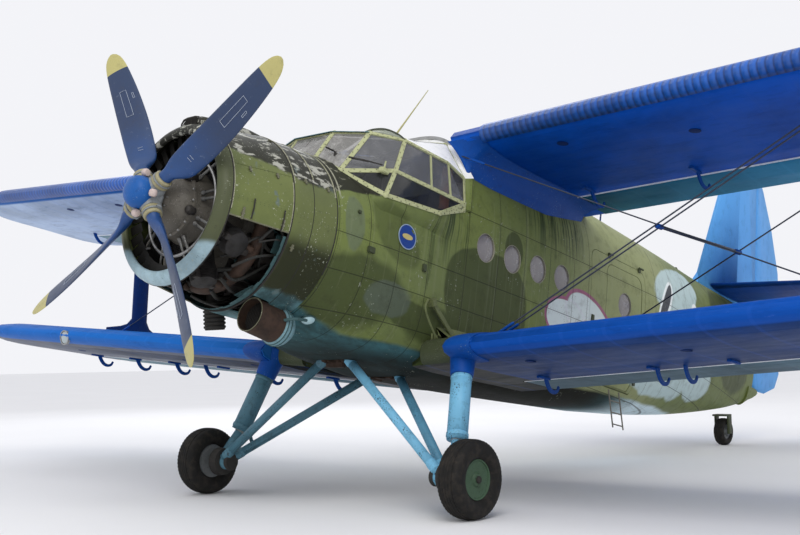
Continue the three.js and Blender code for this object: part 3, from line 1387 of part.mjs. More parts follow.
// Leaned back onto the tail wheel, with the wheels on z = 0 and the middle of its box at x = y = 0
aircraft.rotation.x = -lean;
aircraft.updateMatrixWorld(true);
const bounds = new THREE.Box3().setFromObject(aircraft, true);
const middle = bounds.getCenter(new THREE.Vector3());
aircraft.position.set(-middle.x, -middle.y, -bounds.min.z);
aircraft.updateMatrixWorld(true);

export default aircraft;
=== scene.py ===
import math
import random

import bmesh
import bpy
from mathutils import Matrix, Vector


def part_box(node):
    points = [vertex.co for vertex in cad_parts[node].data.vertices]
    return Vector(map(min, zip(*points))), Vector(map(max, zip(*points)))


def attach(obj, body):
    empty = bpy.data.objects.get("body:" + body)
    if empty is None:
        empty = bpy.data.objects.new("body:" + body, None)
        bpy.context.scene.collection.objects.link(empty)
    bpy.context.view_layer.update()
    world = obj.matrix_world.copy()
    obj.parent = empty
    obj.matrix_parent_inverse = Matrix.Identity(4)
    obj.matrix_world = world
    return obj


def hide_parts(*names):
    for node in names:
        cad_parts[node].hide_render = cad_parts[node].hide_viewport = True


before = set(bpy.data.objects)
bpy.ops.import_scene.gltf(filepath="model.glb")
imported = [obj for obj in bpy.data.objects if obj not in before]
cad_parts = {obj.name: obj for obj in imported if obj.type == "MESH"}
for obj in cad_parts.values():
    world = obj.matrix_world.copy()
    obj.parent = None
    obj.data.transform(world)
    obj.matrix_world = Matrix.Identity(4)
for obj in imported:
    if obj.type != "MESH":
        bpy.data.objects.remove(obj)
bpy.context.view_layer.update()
scene = bpy.context.scene
scene.view_settings.view_transform = "Standard"

# The level attitude: +X to port, +Y aft, +Z up, with the origin in the propeller disc, in metres.
# The frame is that attitude leaned back on the tail wheel.
MAIN_WHEEL = {"x": 1.686, "y": 2.401, "z": -1.914, "radius": 0.330, "width": 0.240, "rim": 0.165}
TAIL_WHEEL = {"y": 10.446, "z": -0.440, "radius": 0.195, "width": 0.150, "rim": 0.100}
BASE = math.hypot(TAIL_WHEEL["y"] - MAIN_WHEEL["y"], TAIL_WHEEL["z"] - MAIN_WHEEL["z"])
LEAN = (math.atan2(TAIL_WHEEL["z"] - MAIN_WHEEL["z"], TAIL_WHEEL["y"] - MAIN_WHEEL["y"])
        + math.asin((MAIN_WHEEL["radius"] - TAIL_WHEEL["radius"]) / BASE))
COS, SIN = math.cos(LEAN), math.sin(LEAN)
tyre_low, tyre_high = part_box("main_tyre_port")
tyre_middle = (tyre_low + tyre_high) / 2
OFF_Y = tyre_middle.y - (COS * MAIN_WHEEL["y"] + SIN * MAIN_WHEEL["z"])
OFF_Z = tyre_middle.z - (-SIN * MAIN_WHEEL["y"] + COS * MAIN_WHEEL["z"])


def parked(p):
    """A level point in the shared frame, where the aircraft stands on its tail wheel."""
    return Vector((p[0], OFF_Y + COS * p[1] + SIN * p[2], OFF_Z - SIN * p[1] + COS * p[2]))


def turned(v):
    """A level direction in the shared frame."""
    return Vector((v[0], COS * v[1] + SIN * v[2], -SIN * v[1] + COS * v[2]))


# Shapes: each is (points, faces) in level metres

def loft(rings, caps=True, around=True, loop=False):
    """A skin over rings of points. around closes each ring, and loop joins the last ring to the first."""
    count = len(rings[0])
    points = [tuple(p) for ring in rings for p in ring]
    faces = []
    last = len(rings) if loop else len(rings) - 1
    for k in range(last):
        near, far = k * count, ((k + 1) % len(rings)) * count
        for i in range(count if around else count - 1):
            j = (i + 1) % count
            faces.append((near + i, near + j, far + j, far + i))
    if caps and not loop:
        faces.append(tuple(reversed(range(count))))
        faces.append(tuple((len(rings) - 1) * count + i for i in range(count)))
    return points, faces


def circle(count, shift=0):
    """The angles of points spread evenly round a full turn."""
    return [2 * math.pi * (k + shift) / count for k in range(count)]


def polar(radius, y, t, rise=0.0):
    """A point round the propeller's axis at a distance aft."""
    return math.cos(t) * radius, y, math.sin(t) * radius + rise


def spoke(t):
    """The directions out from the propeller's axis and across."""
    return Vector((math.cos(t), 0, math.sin(t))), Vector((-math.sin(t), 0, math.cos(t)))


def basis(direction):
    """A direction and two more across it."""
    d = Vector(direction).normalized()
    side = d.cross(Vector((0, 0, 1)) if abs(d.z) < 0.9 else Vector((1, 0, 0))).normalized()
    return d, side, side.cross(d)


def lathe(profile, centre=(0, 0, 0), axis=(0, 1, 0), sides=48, closed=False):
    """Pairs of distance along the axis and radius, turned about it."""
    d, a, b = basis(axis)
    centre = Vector(centre)
    rings = []
    for along, radius in profile:
        ring = []
        for t in circle(sides):
            ring.append(centre + d * along + (a * math.cos(t) + b * math.sin(t)) * max(radius, 0.0004))
        rings.append(ring)
    return loft(rings, caps=not closed, loop=closed)


def bar(a, b, radius, sides=20):
    a, b = Vector(a), Vector(b)
    return lathe([(0, radius), ((b - a).length, radius)], a, b - a, sides)


def tube(points, radius, sides=12):
    """A round rod along points, with one radius or a list of them."""
    points = [Vector(p) for p in points]
    radii = radius if isinstance(radius, (list, tuple)) else [radius] * len(points)
    rings, up = [], None
    for i, p in enumerate(points):
        d = (points[min(i + 1, len(points) - 1)] - points[max(i - 1, 0)]).normalized()
        if up is None:
            up = basis(d)[2]
        up = (up - d * up.dot(d)).normalized()
        side = d.cross(up)
        rings.append([p + (up * math.cos(t) + side * math.sin(t)) * radii[i] for t in circle(sides)])
    return loft(rings)


def curve(points, steps=8):
    """A smooth path through points."""
    points = [Vector(p) for p in points]
    out = []
    for i in range(len(points) - 1):
        p0, p1, p2 = points[max(i - 1, 0)], points[i], points[i + 1]
        p3 = points[min(i + 2, len(points) - 1)]
        for k in range(steps):
            t = k / steps
            out.append(0.5 * ((2 * p1) + (p2 - p0) * t + (2 * p0 - 5 * p1 + 4 * p2 - p3) * t * t
                              + (3 * p1 - p0 - 3 * p2 + p3) * t ** 3))
    out.append(points[-1])
    return out


def block(low, high):
    """A block between two corners."""
    (x0, y0, z0), (x1, y1, z1) = low, high
    points = [(x, y, z) for x in (x0, x1) for y in (y0, y1) for z in (z0, z1)]
    return points, [(0, 1, 3, 2), (4, 6, 7, 5), (0, 4, 5, 1), (2, 3, 7, 6), (0, 2, 6, 4), (1, 5, 7, 3)]


def slab(centre, x_axis, y_axis, size):
    """A block of a size about a centre, along two directions."""
    x, y = Vector(x_axis).normalized(), Vector(y_axis).normalized()
    z = x.cross(y).normalized()
    centre = Vector(centre)
    points = [centre + x * size[0] * i + y * size[1] * j + z * size[2] * k
              for i in (-0.5, 0.5) for j in (-0.5, 0.5) for k in (-0.5, 0.5)]
    return points, block((0, 0, 0), (1, 1, 1))[1]


def box(centre, size):
    """A block of a size about a centre, along the level axes."""
    return slab(centre, (1, 0, 0), (0, 1, 0), size)


def mirror(shape):
    points, faces = shape
    return [(-p[0], p[1], p[2]) for p in points], [tuple(reversed(f)) for f in faces]


def on_side(shapes, side):
    """Port shapes as they are, or mirrored to starboard."""
    return shapes if side > 0 else [mirror(s) for s in shapes]


def both(shapes):
    """Shapes and their mirror images."""
    return list(shapes) + [mirror(s) for s in shapes]


PIECES = {}
SIDES = ((1, "port"), (-1, "starboard"))


def new_object(name, shapes, bevel=0.0):
    """One object in the shared frame from several shapes."""
    points, faces = [], []
    for shape in shapes:
        base = len(points)
        points += [parked(p) for p in shape[0]]
        faces += [tuple(base + i for i in f) for f in shape[1]]
    mesh = bpy.data.meshes.new(name)
    mesh.from_pydata(points, [], faces)
    work = bmesh.new()
    work.from_mesh(mesh)
    bmesh.ops.remove_doubles(work, verts=work.verts, dist=0.00002)
    if bevel:
        edges = [e for e in work.edges if len(e.link_faces) == 2 and e.calc_face_angle(0) > 0.6]
        bmesh.ops.bevel(work, geom=edges, offset=bevel, segments=2, affect="EDGES", clamp_overlap=True)
    bmesh.ops.recalc_face_normals(work, faces=work.faces)
    work.to_mesh(mesh)
    work.free()
    obj = bpy.data.objects.new(name, mesh)
    scene.collection.objects.link(obj)
    return obj


def smooth(mesh, degrees):
    mesh.polygons.foreach_set("use_smooth", [True] * len(mesh.polygons))
    mesh.set_sharp_from_angle(angle=math.radians(degrees))


def finish_piece(obj, material, body, slot, angle=40):
    obj.data.materials.clear()
    obj.data.materials.append(material)
    smooth(obj.data, angle)
    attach(obj, body)
    PIECES[obj.name] = obj
    return obj


def make(name, shapes, material, slot, body="airframe", angle=40, bevel=0.0, replaces=()):
    obj = finish_piece(new_object(name, shapes, bevel), material, body, slot, angle)
    if replaces:
        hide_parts(*replaces)
    return obj


def skin(node, material, slot, body, angle=40):
    """A copy of a node's mesh with even shading, which stands for the node."""
    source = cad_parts[node]
    mesh = source.data.copy()
    work = bmesh.new()
    work.from_mesh(mesh)
    bmesh.ops.remove_doubles(work, verts=work.verts, dist=0.00005)
    work.to_mesh(mesh)
    work.free()
    obj = bpy.data.objects.new(node + "_skin", mesh)
    scene.collection.objects.link(obj)
    finish_piece(obj, material, body, slot, angle)
    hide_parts(node)
    return obj


def cut(target, tool, operation="DIFFERENCE"):
    """Cuts an object with another, which is used up."""
    modifier = target.modifiers.new("cut", "BOOLEAN")
    modifier.operation = operation
    modifier.object = tool
    modifier.solver = "EXACT"
    bpy.context.view_layer.update()
    graph = bpy.context.evaluated_depsgraph_get()
    mesh = bpy.data.meshes.new_from_object(target.evaluated_get(graph))
    target.modifiers.clear()
    target.data = mesh
    bpy.data.objects.remove(tool)
    return target


# Materials

class Net:
    """A material's nodes, with the level place of a point as x, y and z."""

    def __init__(self, name):
        self.material = bpy.data.materials.new(name)
        self.material.use_nodes = True
        self.tree = self.material.node_tree
        self.shader = self.tree.nodes["Principled BSDF"]
        place = self.new("ShaderNodeTexCoord").outputs["Object"]
        shift = self.new("ShaderNodeVectorMath")
        shift.operation = "SUBTRACT"
        self.put(shift.inputs[0], place)
        shift.inputs[1].default_value = (0, OFF_Y, OFF_Z)
        turn = self.new("ShaderNodeVectorRotate")
        turn.rotation_type = "X_AXIS"
        turn.inputs["Angle"].default_value = LEAN
        self.put(turn.inputs["Vector"], shift.outputs[0])
        self.place = turn.outputs[0]
        parts = self.new("ShaderNodeSeparateXYZ")
        self.put(parts.inputs[0], self.place)
        self.x, self.y, self.z = parts.outputs[0], parts.outputs[1], parts.outputs[2]

    def new(self, kind):
        return self.tree.nodes.new(kind)

    def put(self, socket, value):
        if isinstance(value, bpy.types.NodeSocket):
            self.tree.links.new(value, socket)
        elif isinstance(value, (tuple, list)) and len(value) == 3 and socket.type == "RGBA":
            socket.default_value = (*value, 1)
        else:
            socket.default_value = value

    def math(self, operation, a, b=None, clamp=False):
        node = self.new("ShaderNodeMath")
        node.operation = operation
        node.use_clamp = clamp
        for socket, value in zip(node.inputs, (a, b)):
            if value is not None:
                self.put(socket, value)
        return node.outputs[0]

    def noise(self, scale, detail=4.0, rough=0.55, stretch=None, distortion=0.0, seed=0.0):
        node = self.new("ShaderNodeTexNoise")
        node.inputs["Scale"].default_value = scale
        node.inputs["Detail"].default_value = detail
        node.inputs["Roughness"].default_value = rough
        node.inputs["Distortion"].default_value = distortion
        mapping = self.new("ShaderNodeMapping")
        mapping.inputs["Location"].default_value = (seed, seed * 1.7, -seed)
        mapping.inputs["Scale"].default_value = stretch or (1, 1, 1)
        self.put(mapping.inputs["Vector"], self.place)
        self.put(node.inputs["Vector"], mapping.outputs[0])
        return node.outputs[0]

    def ease(self, value, low, high):
        """0 below low and 1 above high, or the other way when low is above high."""
        node = self.new("ShaderNodeMapRange")
        node.interpolation_type = "SMOOTHSTEP"
        self.put(node.inputs[0], value)
        swap = low > high
        node.inputs[1].default_value = high if swap else low
        node.inputs[2].default_value = low if swap else high
        node.inputs[3].default_value = 1.0 if swap else 0.0
        node.inputs[4].default_value = 0.0 if swap else 1.0
        return node.outputs[0]

    def mix(self, share, a, b, blend="MIX"):
        node = self.new("ShaderNodeMix")
        node.data_type = "RGBA"
        node.blend_type = blend
        self.put(node.inputs[0], share)
        self.put(node.inputs[6], a)
        self.put(node.inputs[7], b)
        return node.outputs[2]

    def times(self, a, b):
        return self.math("MULTIPLY", a, b)

    def plus(self, a, b, clamp=False):
        return self.math("ADD", a, b, clamp)

    def minus(self, a, b):
        return self.math("SUBTRACT", a, b)

    def over(self, shade, color, mask, share):
        """A colour laid over a shade where the mask is 1, as strong as the share."""
        return self.mix(self.times(mask, share), shade, color)

    def most(self, values):
        out = values[0]
        for value in values[1:]:
            out = self.math("MAXIMUM", out, value)
        return out

    def near(self, value, at, half):
        """1 where a value lies within half of a place, with soft edges."""
        gap = self.math("ABSOLUTE", self.minus(value, at))
        return self.ease(gap, 2 * half, half)

    def blob(self, centre, radii, soft=0.25, wobble=0.0, scale=2.0, seed=0.0, power=2.0, turn=0.0):
        """A soft patch about a centre, given by its place aft and its height."""
        u = self.minus(self.y, centre[0])
        v = self.minus(self.z, centre[1])
        if turn:
            c, s = math.cos(turn), math.sin(turn)
            u, v = (self.plus(self.times(u, c), self.times(v, s)),
                    self.minus(self.times(v, c), self.times(u, s)))
        u = self.math("POWER", self.math("ABSOLUTE", self.math("DIVIDE", u, radii[0])), power)
        v = self.math("POWER", self.math("ABSOLUTE", self.math("DIVIDE", v, radii[1])), power)
        gap = self.plus(u, v)
        if wobble:
            gap = self.plus(gap, self.times(self.minus(self.noise(scale, 3, seed=seed), 0.5), wobble))
        return self.ease(gap, 1.0, 1.0 - soft)

    def bump(self, height, strength=0.3, distance=0.01, before=None):
        node = self.new("ShaderNodeBump")
        node.inputs["Strength"].default_value = strength
        node.inputs["Distance"].default_value = distance
        self.put(node.inputs["Height"], height)
        if before is not None:
            self.put(node.inputs["Normal"], before)
        return node.outputs[0]

    def done(self, color, rough=0.5, metal=0.0, normal=None, specular=None, alpha=None):
        """Sets the shader and returns the material."""
        s = self.shader
        self.put(s.inputs["Base Color"], color)
        self.put(s.inputs["Roughness"], rough)
        s.inputs["Metallic"].default_value = metal
        if specular is not None:
            s.inputs["Specular IOR Level"].default_value = specular
        if alpha is not None:
            self.put(s.inputs["Alpha"], alpha)
        if normal is not None:
            self.put(s.inputs["Normal"], normal)
        return self.material


DIRT = (0.018, 0.017, 0.013)


def weather(net, color, fade, dirt, chips, chip, size, seed, streak):
    """A faded, dirty colour with runs and chips, and with it the chips' mask and the dirt's grain."""
    broad = net.noise(1.3 * size, 6, 0.62, seed=seed)
    pale = net.mix(net.times(net.ease(broad, 0.42, 0.72), fade), color, (0.62, 0.62, 0.55), "MULTIPLY")
    fine = net.noise(9 * size, 6, 0.7, seed=seed + 3)
    out = net.over(pale, DIRT, net.ease(fine, 0.5, 0.75), dirt)
    if streak:
        runs = net.noise(1.0, 4, 0.6, stretch=(9, 11, 0.7), seed=seed + 5)
        out = net.over(out, DIRT, net.ease(runs, 0.52, 0.74), streak)
    spots = net.noise(38 * size, 3, 0.65, seed=seed + 7)
    patch = net.noise(3.1 * size, 3, 0.6, seed=seed + 9)
    mask = net.times(net.ease(spots, 0.66 - 0.1 * chips, 0.70 - 0.1 * chips), net.ease(patch, 0.44, 0.6))
    return net.mix(mask, out, chip), mask, fine


def coat(name, color, rough, fade, dirt, chips, chip, size, seed, metal=0.0, streak=0.0, shine=0.25):
    """Weathered paint on metal."""
    net = Net(name)
    shade, mask, fine = weather(net, color, fade, dirt, chips, chip, size, seed, streak)
    roughness = net.plus(net.times(fine, 0.35), rough - 0.12)
    height = net.minus(net.noise(60 * size, 3, 0.6, seed=seed + 1), mask)
    return net.done(shade, roughness, metal, net.bump(height, 0.25, 0.002), specular=shine)


def bare_metal(name, color, rough, metal, size, seed, stain, amount):
    """Metal with a stain in soft patches."""
    net = Net(name)
    broad = net.noise(7 * size, 6, 0.65, seed=seed)
    fine = net.noise(55 * size, 4, 0.7, seed=seed + 2)
    shade = net.over(color, stain, net.ease(broad, 0.4, 0.65), amount)
    shade = net.over(shade, tuple(c * 0.6 for c in color), fine, 0.35)
    roughness = net.plus(net.times(broad, 0.4), rough - 0.1)
    return net.done(shade, roughness, metal, net.bump(fine, 0.3, 0.0015))


OLIVE = (0.152, 0.190, 0.054)
OLIVE_DARK = (0.044, 0.058, 0.020)
TEAL = (0.050, 0.135, 0.150)
PRIMER = (0.42, 0.44, 0.24)


SEAM_HALF = 0.003


def seams(net, rows, columns):
    """Lines across (y) and along (z) the skin, and the rivets beside them."""
    lines = [net.near(net.y, at, SEAM_HALF) for at in rows] + [net.near(net.z, at, SEAM_HALF)
                                                               for at in columns]
    rivets = []
    for first, second, places in ((net.y, net.z, rows), (net.z, net.y, columns)):
        step = net.math("PINGPONG", second, 0.022)
        for at in places:
            away = net.minus(net.math("ABSOLUTE", net.minus(first, at)), 0.02)
            gap = net.plus(net.times(away, away), net.times(step, step))
            rivets.append(net.ease(gap, 0.000032, 0.000012))
    return net.most(lines), net.most(rivets)


def below_paint_line(net):
    """1 on the belly: below the line that falls from the nose to the wing and rises to the tail."""
    wander = net.times(net.minus(net.noise(1.8, 3), 0.5), 0.05)
    front = net.math("MAXIMUM", -0.772, net.minus(-0.628, net.times(net.minus(net.y, 1.38), 0.30)))
    rear = net.plus(-0.80, net.times(net.minus(net.y, 2.6), 0.052))
    edge = net.plus(net.math("MAXIMUM", front, rear), wander)
    return net.ease(net.minus(net.z, edge), 0.02, -0.02)


def camouflage(net):
    """Two greens with darker fields and a few repainted blue-grey panels."""
    base = net.mix(net.ease(net.noise(0.9, 5, 0.6, seed=2), 0.38, 0.66), OLIVE, (0.138, 0.172, 0.062))
    pale = net.mix(net.times(net.ease(net.y, 4.2, 5.4), net.ease(net.y, 7.8, 6.6)), base,
                   (0.262, 0.290, 0.136))
    dark = net.most([
        net.blob((3.42, -0.12), (0.66, 0.48), 0.12, 0.5, 2.2, power=2.6),
        net.blob((3.78, 0.46), (0.16, 0.20), 0.2, 0.3, 3.0),
        net.times(net.blob((2.10, 0.16), (0.40, 0.22), 0.4, 0.8, 2.4, seed=4, turn=-0.7), 0.6),
        net.blob((1.75, -0.42), (0.62, 0.36), 0.45, 1.0, 2.2, seed=6),
        net.blob((2.35, -0.50), (0.30, 0.14), 0.4, 0.8, 4.0, seed=7),
        net.blob((3.0, -0.55), (0.75, 0.22), 0.5, 1.2, 1.8, seed=8),
        net.blob((4.55, -0.42), (0.6, 0.2), 0.5, 1.2, 1.8, seed=9),
        net.blob((9.6, 1.02), (0.8, 0.42), 0.3, 0.6, 1.6, seed=10),
        net.blob((10.0, 0.35), (0.8, 0.35), 0.4, 0.9, 1.6, seed=11),
    ])
    shade = net.over(pale, OLIVE_DARK, dark, 0.82)
    # Blue-grey repainted panels
    patch = net.most([net.blob((1.58, 0.15), (0.12, 0.26), 0.3, 0.9, 4, seed=12),
                      net.blob((2.1, -0.42), (0.30, 0.17), 0.3, 1.2, 4, seed=13)])
    return net.over(shade, (0.10, 0.125, 0.115), patch, 0.45)


def runs_down(net, shade, port):
    """Vertical dark runs under the canopy, the wing root and the doors, and pale ones."""
    runs = net.ease(net.noise(1.0, 5, 0.65, stretch=(6, 26, 0.55), seed=21), 0.46, 0.60)
    drips = net.most([
        net.times(net.blob((2.86, 0.34), (0.26, 0.40), 0.5), net.ease(net.z, -0.1, 0.5)),
        net.times(net.blob((4.55, 0.90), (0.62, 0.46), 0.6), net.ease(net.z, 0.35, 1.0)),
        net.times(net.blob((2.52, 0.2), (0.06, 0.5), 0.5), 0.7),
    ])
    shade = net.over(shade, (0.020, 0.036, 0.012), net.times(runs, drips), 0.9)
    light_runs = net.ease(net.noise(1.0, 4, 0.6, stretch=(6, 20, 0.4), seed=31), 0.55, 0.7)
    return net.over(shade, (0.30, 0.32, 0.22), net.times(light_runs, port), 0.16)


def side_patches(net, shade, port):
    """Pale patches with rounded outlines, pink lines and dark marks behind the wing, all plain."""
    side = net.times(port, net.ease(net.z, -0.66, -0.6))
    wash = net.most([net.blob((4.78, -0.02), (0.36, 0.20), 0.08, 0.15, power=2.2),
                     net.blob((5.28, 0.02), (0.52, 0.26), 0.08, 0.2, turn=-0.35),
                     net.blob((4.60, 0.33), (0.04, 0.03), 0.3), net.blob((4.66, 0.28), (0.03, 0.025), 0.3),
                     net.blob((4.72, 0.34), (0.03, 0.04), 0.3)])
    lining = net.most([net.times(net.blob((4.78, -0.02), (0.40, 0.24), 0.06),
                                 net.minus(1.0, net.blob((4.78, -0.02), (0.36, 0.205), 0.06))),
                       net.times(net.blob((5.28, 0.02), (0.57, 0.30), 0.06, turn=-0.35),
                                 net.minus(1.0, net.blob((5.28, 0.02), (0.52, 0.26), 0.06, turn=-0.35)))])
    shade = net.over(shade, (0.34, 0.09, 0.21), net.times(lining, side), 0.85)
    shade = net.over(shade, (0.66, 0.74, 0.76), net.times(wash, side), 0.88)
    rear_wash = net.most([net.blob((7.45, 0.92), (0.85, 0.30), 0.2, 0.7, 2.0, seed=41, turn=0.25),
                          net.blob((7.0, -0.20), (1.0, 0.32), 0.25, 1.0, 2.0, seed=42),
                          net.blob((8.3, -0.05), (0.7, 0.30), 0.25, 1.0, 2.0, seed=43)])
    shade = net.over(shade, (0.47, 0.60, 0.62), net.times(rear_wash, port), 0.88)
    marks, edge = [], []
    for place, half, turn in (((7.02, 0.66), (0.34, 0.085), 0.95), ((7.50, 0.56), (0.30, 0.07), 0.25),
                              ((8.02, 0.70), (0.10, 0.15), -0.4)):
        marks.append(net.blob(place, half, 0.15, 0.2, 3, turn=turn))
        edge.append(net.blob(place, (half[0] + 0.05, half[1] + 0.05), 0.15, 0.2, 3, turn=turn))
    marks, edge = net.most(marks), net.most(edge)
    shade = net.over(shade, (0.82, 0.86, 0.86), net.times(edge, port), 0.85)
    return net.over(shade, (0.030, 0.034, 0.045), net.times(marks, port), 0.96)


def belly_paint(net, shade, belly):
    """Teal under the paint line, sooty ahead, and pale blue at the tail; the lowest part is darker and the
    belly behind the wheels near black, both painted shade.
    """
    grime = net.ease(net.noise(2.6, 6, 0.7, stretch=(1, 0.5, 1), seed=51), 0.35, 0.7)
    teal = net.mix(grime, TEAL, (0.020, 0.034, 0.034))
    # Painted shade: darker towards the bottom of the belly
    low_shade = net.ease(net.z, -0.80, -0.90)
    teal = net.over(teal, (0.014, 0.018, 0.016), low_shade, 0.8)
    teal = net.mix(net.ease(net.y, 6.0, 7.0), teal, (0.68, 0.82, 0.88))
    # Painted shade: the belly behind the wheels made near black
    under = net.mix(net.times(net.ease(net.y, 2.4, 3.6), net.ease(net.y, 6.7, 5.6)), teal,
                    (0.012, 0.013, 0.009))
    return net.mix(belly, shade, under)


def deck_paint(net, shade):
    """A black weathered deck ahead of the windscreen, with cream flakes and a cream seam."""
    deck_line = net.math("MINIMUM", 0.450, net.plus(0.382, net.times(net.minus(net.y, 1.40), 0.19)))
    wobble = net.times(net.minus(net.noise(4.5, 5, 0.65, seed=91), 0.5), 0.07)
    deck = net.ease(net.minus(net.z, net.plus(deck_line, wobble)), 0.0, 0.02)
    deck = net.times(deck, net.ease(net.y, 1.93, 1.88))
    flakes = net.times(deck, net.ease(net.noise(15, 4, 0.6, stretch=(1, 0.5, 1), seed=92), 0.58, 0.63))
    shade = net.over(shade, (0.016, 0.015, 0.013), deck, 0.94)
    shade = net.over(shade, (0.32, 0.32, 0.24), flakes, 0.8)
    strap = net.times(net.near(net.y, 1.425, 0.006), net.ease(net.z, 0.30, 0.40))
    shade = net.over(shade, (0.36, 0.36, 0.27), strap, 0.85)
    # A near-white patch on the top of the fuselage, from the canopy's rear to y 3.42
    pale_top_patch = net.times(net.times(net.ease(net.z, 1.14, 1.18), net.ease(net.y, 3.42, 3.38)),
                      net.ease(net.y, 3.0, 3.04))
    return net.over(shade, (0.80, 0.81, 0.82), pale_top_patch, 0.95)


def fuselage_paint():
    """The whole skin of the fuselage: camouflage, runs, patches, belly, deck, seams, dirt and chips."""
    net = Net("olive_skin_paint")
    port, belly = net.ease(net.x, -0.02, 0.02), below_paint_line(net)
    shade = side_patches(net, runs_down(net, camouflage(net), port), port)
    shade = deck_paint(net, belly_paint(net, shade, belly))
    lines, rivets = seams(net, (1.40, 1.76, 2.12, 2.52, 3.05, 3.54, 3.98, 4.42, 4.88, 5.18, 6.70, 7.2, 7.7,
                                8.3, 8.9, 9.6, 10.3), (0.66, 0.02, -0.30, -0.62))
    dust = net.noise(7, 6, 0.7, seed=61)
    shade = net.over(shade, (0.030, 0.028, 0.018), net.ease(dust, 0.47, 0.75), 0.34)
    chips = net.times(net.ease(net.noise(34, 3, 0.6, seed=71), 0.64, 0.68),
                      net.ease(net.noise(2.4, 3, 0.6, seed=72), 0.50, 0.62))
    shade = net.over(shade, (0.30, 0.32, 0.26), chips, 0.8)
    shade = net.over(shade, (0.014, 0.014, 0.010), lines, 0.62)
    shade = net.over(shade, (0.03, 0.03, 0.02), rivets, 0.35)
    height = net.minus(net.plus(net.times(rivets, 0.6), net.times(dust, 0.12)), lines)
    dents = net.noise(1.7, 3, 0.5, seed=81)
    normal = net.bump(dents, 0.22, 0.02, net.bump(height, 0.6, 0.0025))
    rough = net.plus(net.plus(net.times(dust, 0.34), 0.36), net.times(belly, 0.25))
    return net.done(shade, rough, 0.0, normal, specular=0.14)


def cowl_paint():
    """Green sides, a black flaking top and a pale blue underside."""
    net = Net("cowl_paint")
    across = net.math("ARCTAN2", net.minus(net.z, 0.02), net.x)
    base = net.mix(net.ease(net.noise(1.6, 5, 0.6, seed=1), 0.4, 0.66), (0.146, 0.174, 0.056),
                   (0.104, 0.127, 0.044))
    # Darker towards the nose ring and the rear band
    base = net.over(base, (0.056, 0.061, 0.038), net.ease(net.y, 0.32, 0.28), 0.75)
    base = net.over(base, (0.095, 0.110, 0.050), net.ease(net.y, 0.86, 0.98), 0.4)
    low_dark = net.times(net.ease(net.z, -0.10, -0.26), net.ease(net.y, 0.86, 0.9))
    base = net.over(base, (0.020, 0.022, 0.008), low_dark, 0.95)
    # The lower part is pale blue
    blue_edge = net.plus(-0.580, net.times(net.minus(net.noise(2.5, 3), 0.5), 0.10))
    blue = net.ease(net.minus(net.z, blue_edge), 0.02, -0.02)
    nose_blue = net.times(net.ease(net.z, -0.34, -0.40), net.ease(net.y, 0.32, 0.28))
    grime = net.ease(net.noise(4.0, 6, 0.7, seed=5), 0.38, 0.66)
    pale = net.over((0.10, 0.22, 0.24), (0.026, 0.050, 0.052), grime, 0.85)
    nose_pale = net.over((0.36, 0.50, 0.56), (0.10, 0.15, 0.16), grime, 0.4)
    shade = net.mix(blue, base, pale)
    shade = net.mix(nose_blue, shade, nose_pale)
    # Black weathered top with pale edges of paint
    top_noise = net.noise(3.2, 6, 0.68, seed=9)
    # The black begins lower towards the rear
    start = net.math("MAXIMUM", net.minus(0.60, net.times(net.minus(net.y, 0.35), 0.33)), 0.40)
    high = net.minus(net.plus(across, net.times(net.minus(top_noise, 0.5), 0.14)), start)
    top = net.ease(high, 0.0, 0.05)
    top = net.times(top, net.ease(across, 2.75, 2.65))
    flakes = net.times(net.ease(net.noise(14, 4, 0.6, stretch=(1, 0.45, 1), seed=11), 0.53, 0.60), top)
    shade = net.over(shade, (0.016, 0.015, 0.013), top, 0.93)
    shade = net.over(shade, (0.44, 0.44, 0.38), flakes, 0.85)
    # Chips to the blue-grey undercoat and bare metal
    patches = net.times(net.ease(net.noise(6.5, 4, 0.6, seed=13), 0.62, 0.66),
                        net.ease(net.noise(1.9, 2, 0.5, seed=14), 0.48, 0.58))
    shade = net.over(shade, (0.115, 0.155, 0.150), patches, 0.75)
    scratch = net.ease(net.noise(22, 5, 0.75, stretch=(1, 0.35, 1), seed=15), 0.60, 0.68)
    shade = net.over(shade, (0.025, 0.026, 0.018), scratch, 0.32)
    chips = net.times(net.ease(net.noise(48, 3, 0.6, seed=16), 0.63, 0.67),
                      net.ease(net.noise(3.5, 3, 0.6, seed=17), 0.46, 0.6))
    shade = net.over(shade, (0.40, 0.42, 0.33), chips, 0.8)
    lines = net.most([net.near(net.y, 0.60, 0.0018), net.near(across, 0.42, 0.0018),
                      net.near(across, 0.02, 0.0018)])
    step = net.math("PINGPONG", net.y, 0.02)
    away = net.minus(net.math("PINGPONG", across, 0.21), 0.012)
    rivets = net.ease(net.plus(net.times(step, step), net.times(away, away)), 0.00004, 0.000012)
    shade = net.over(shade, (0.03, 0.03, 0.02), rivets, 0.4)
    dust = net.noise(8, 6, 0.7, seed=19)
    normal = net.bump(net.noise(2.3, 3, 0.5, seed=20), 0.25, 0.02,
                      net.bump(net.minus(net.plus(net.times(rivets, 0.5), net.times(dust, 0.15)),
                                         net.times(patches, 0.35)), 0.55, 0.0025))
    return net.done(shade, net.plus(net.times(dust, 0.4), 0.26), 0.0, normal, specular=0.20)


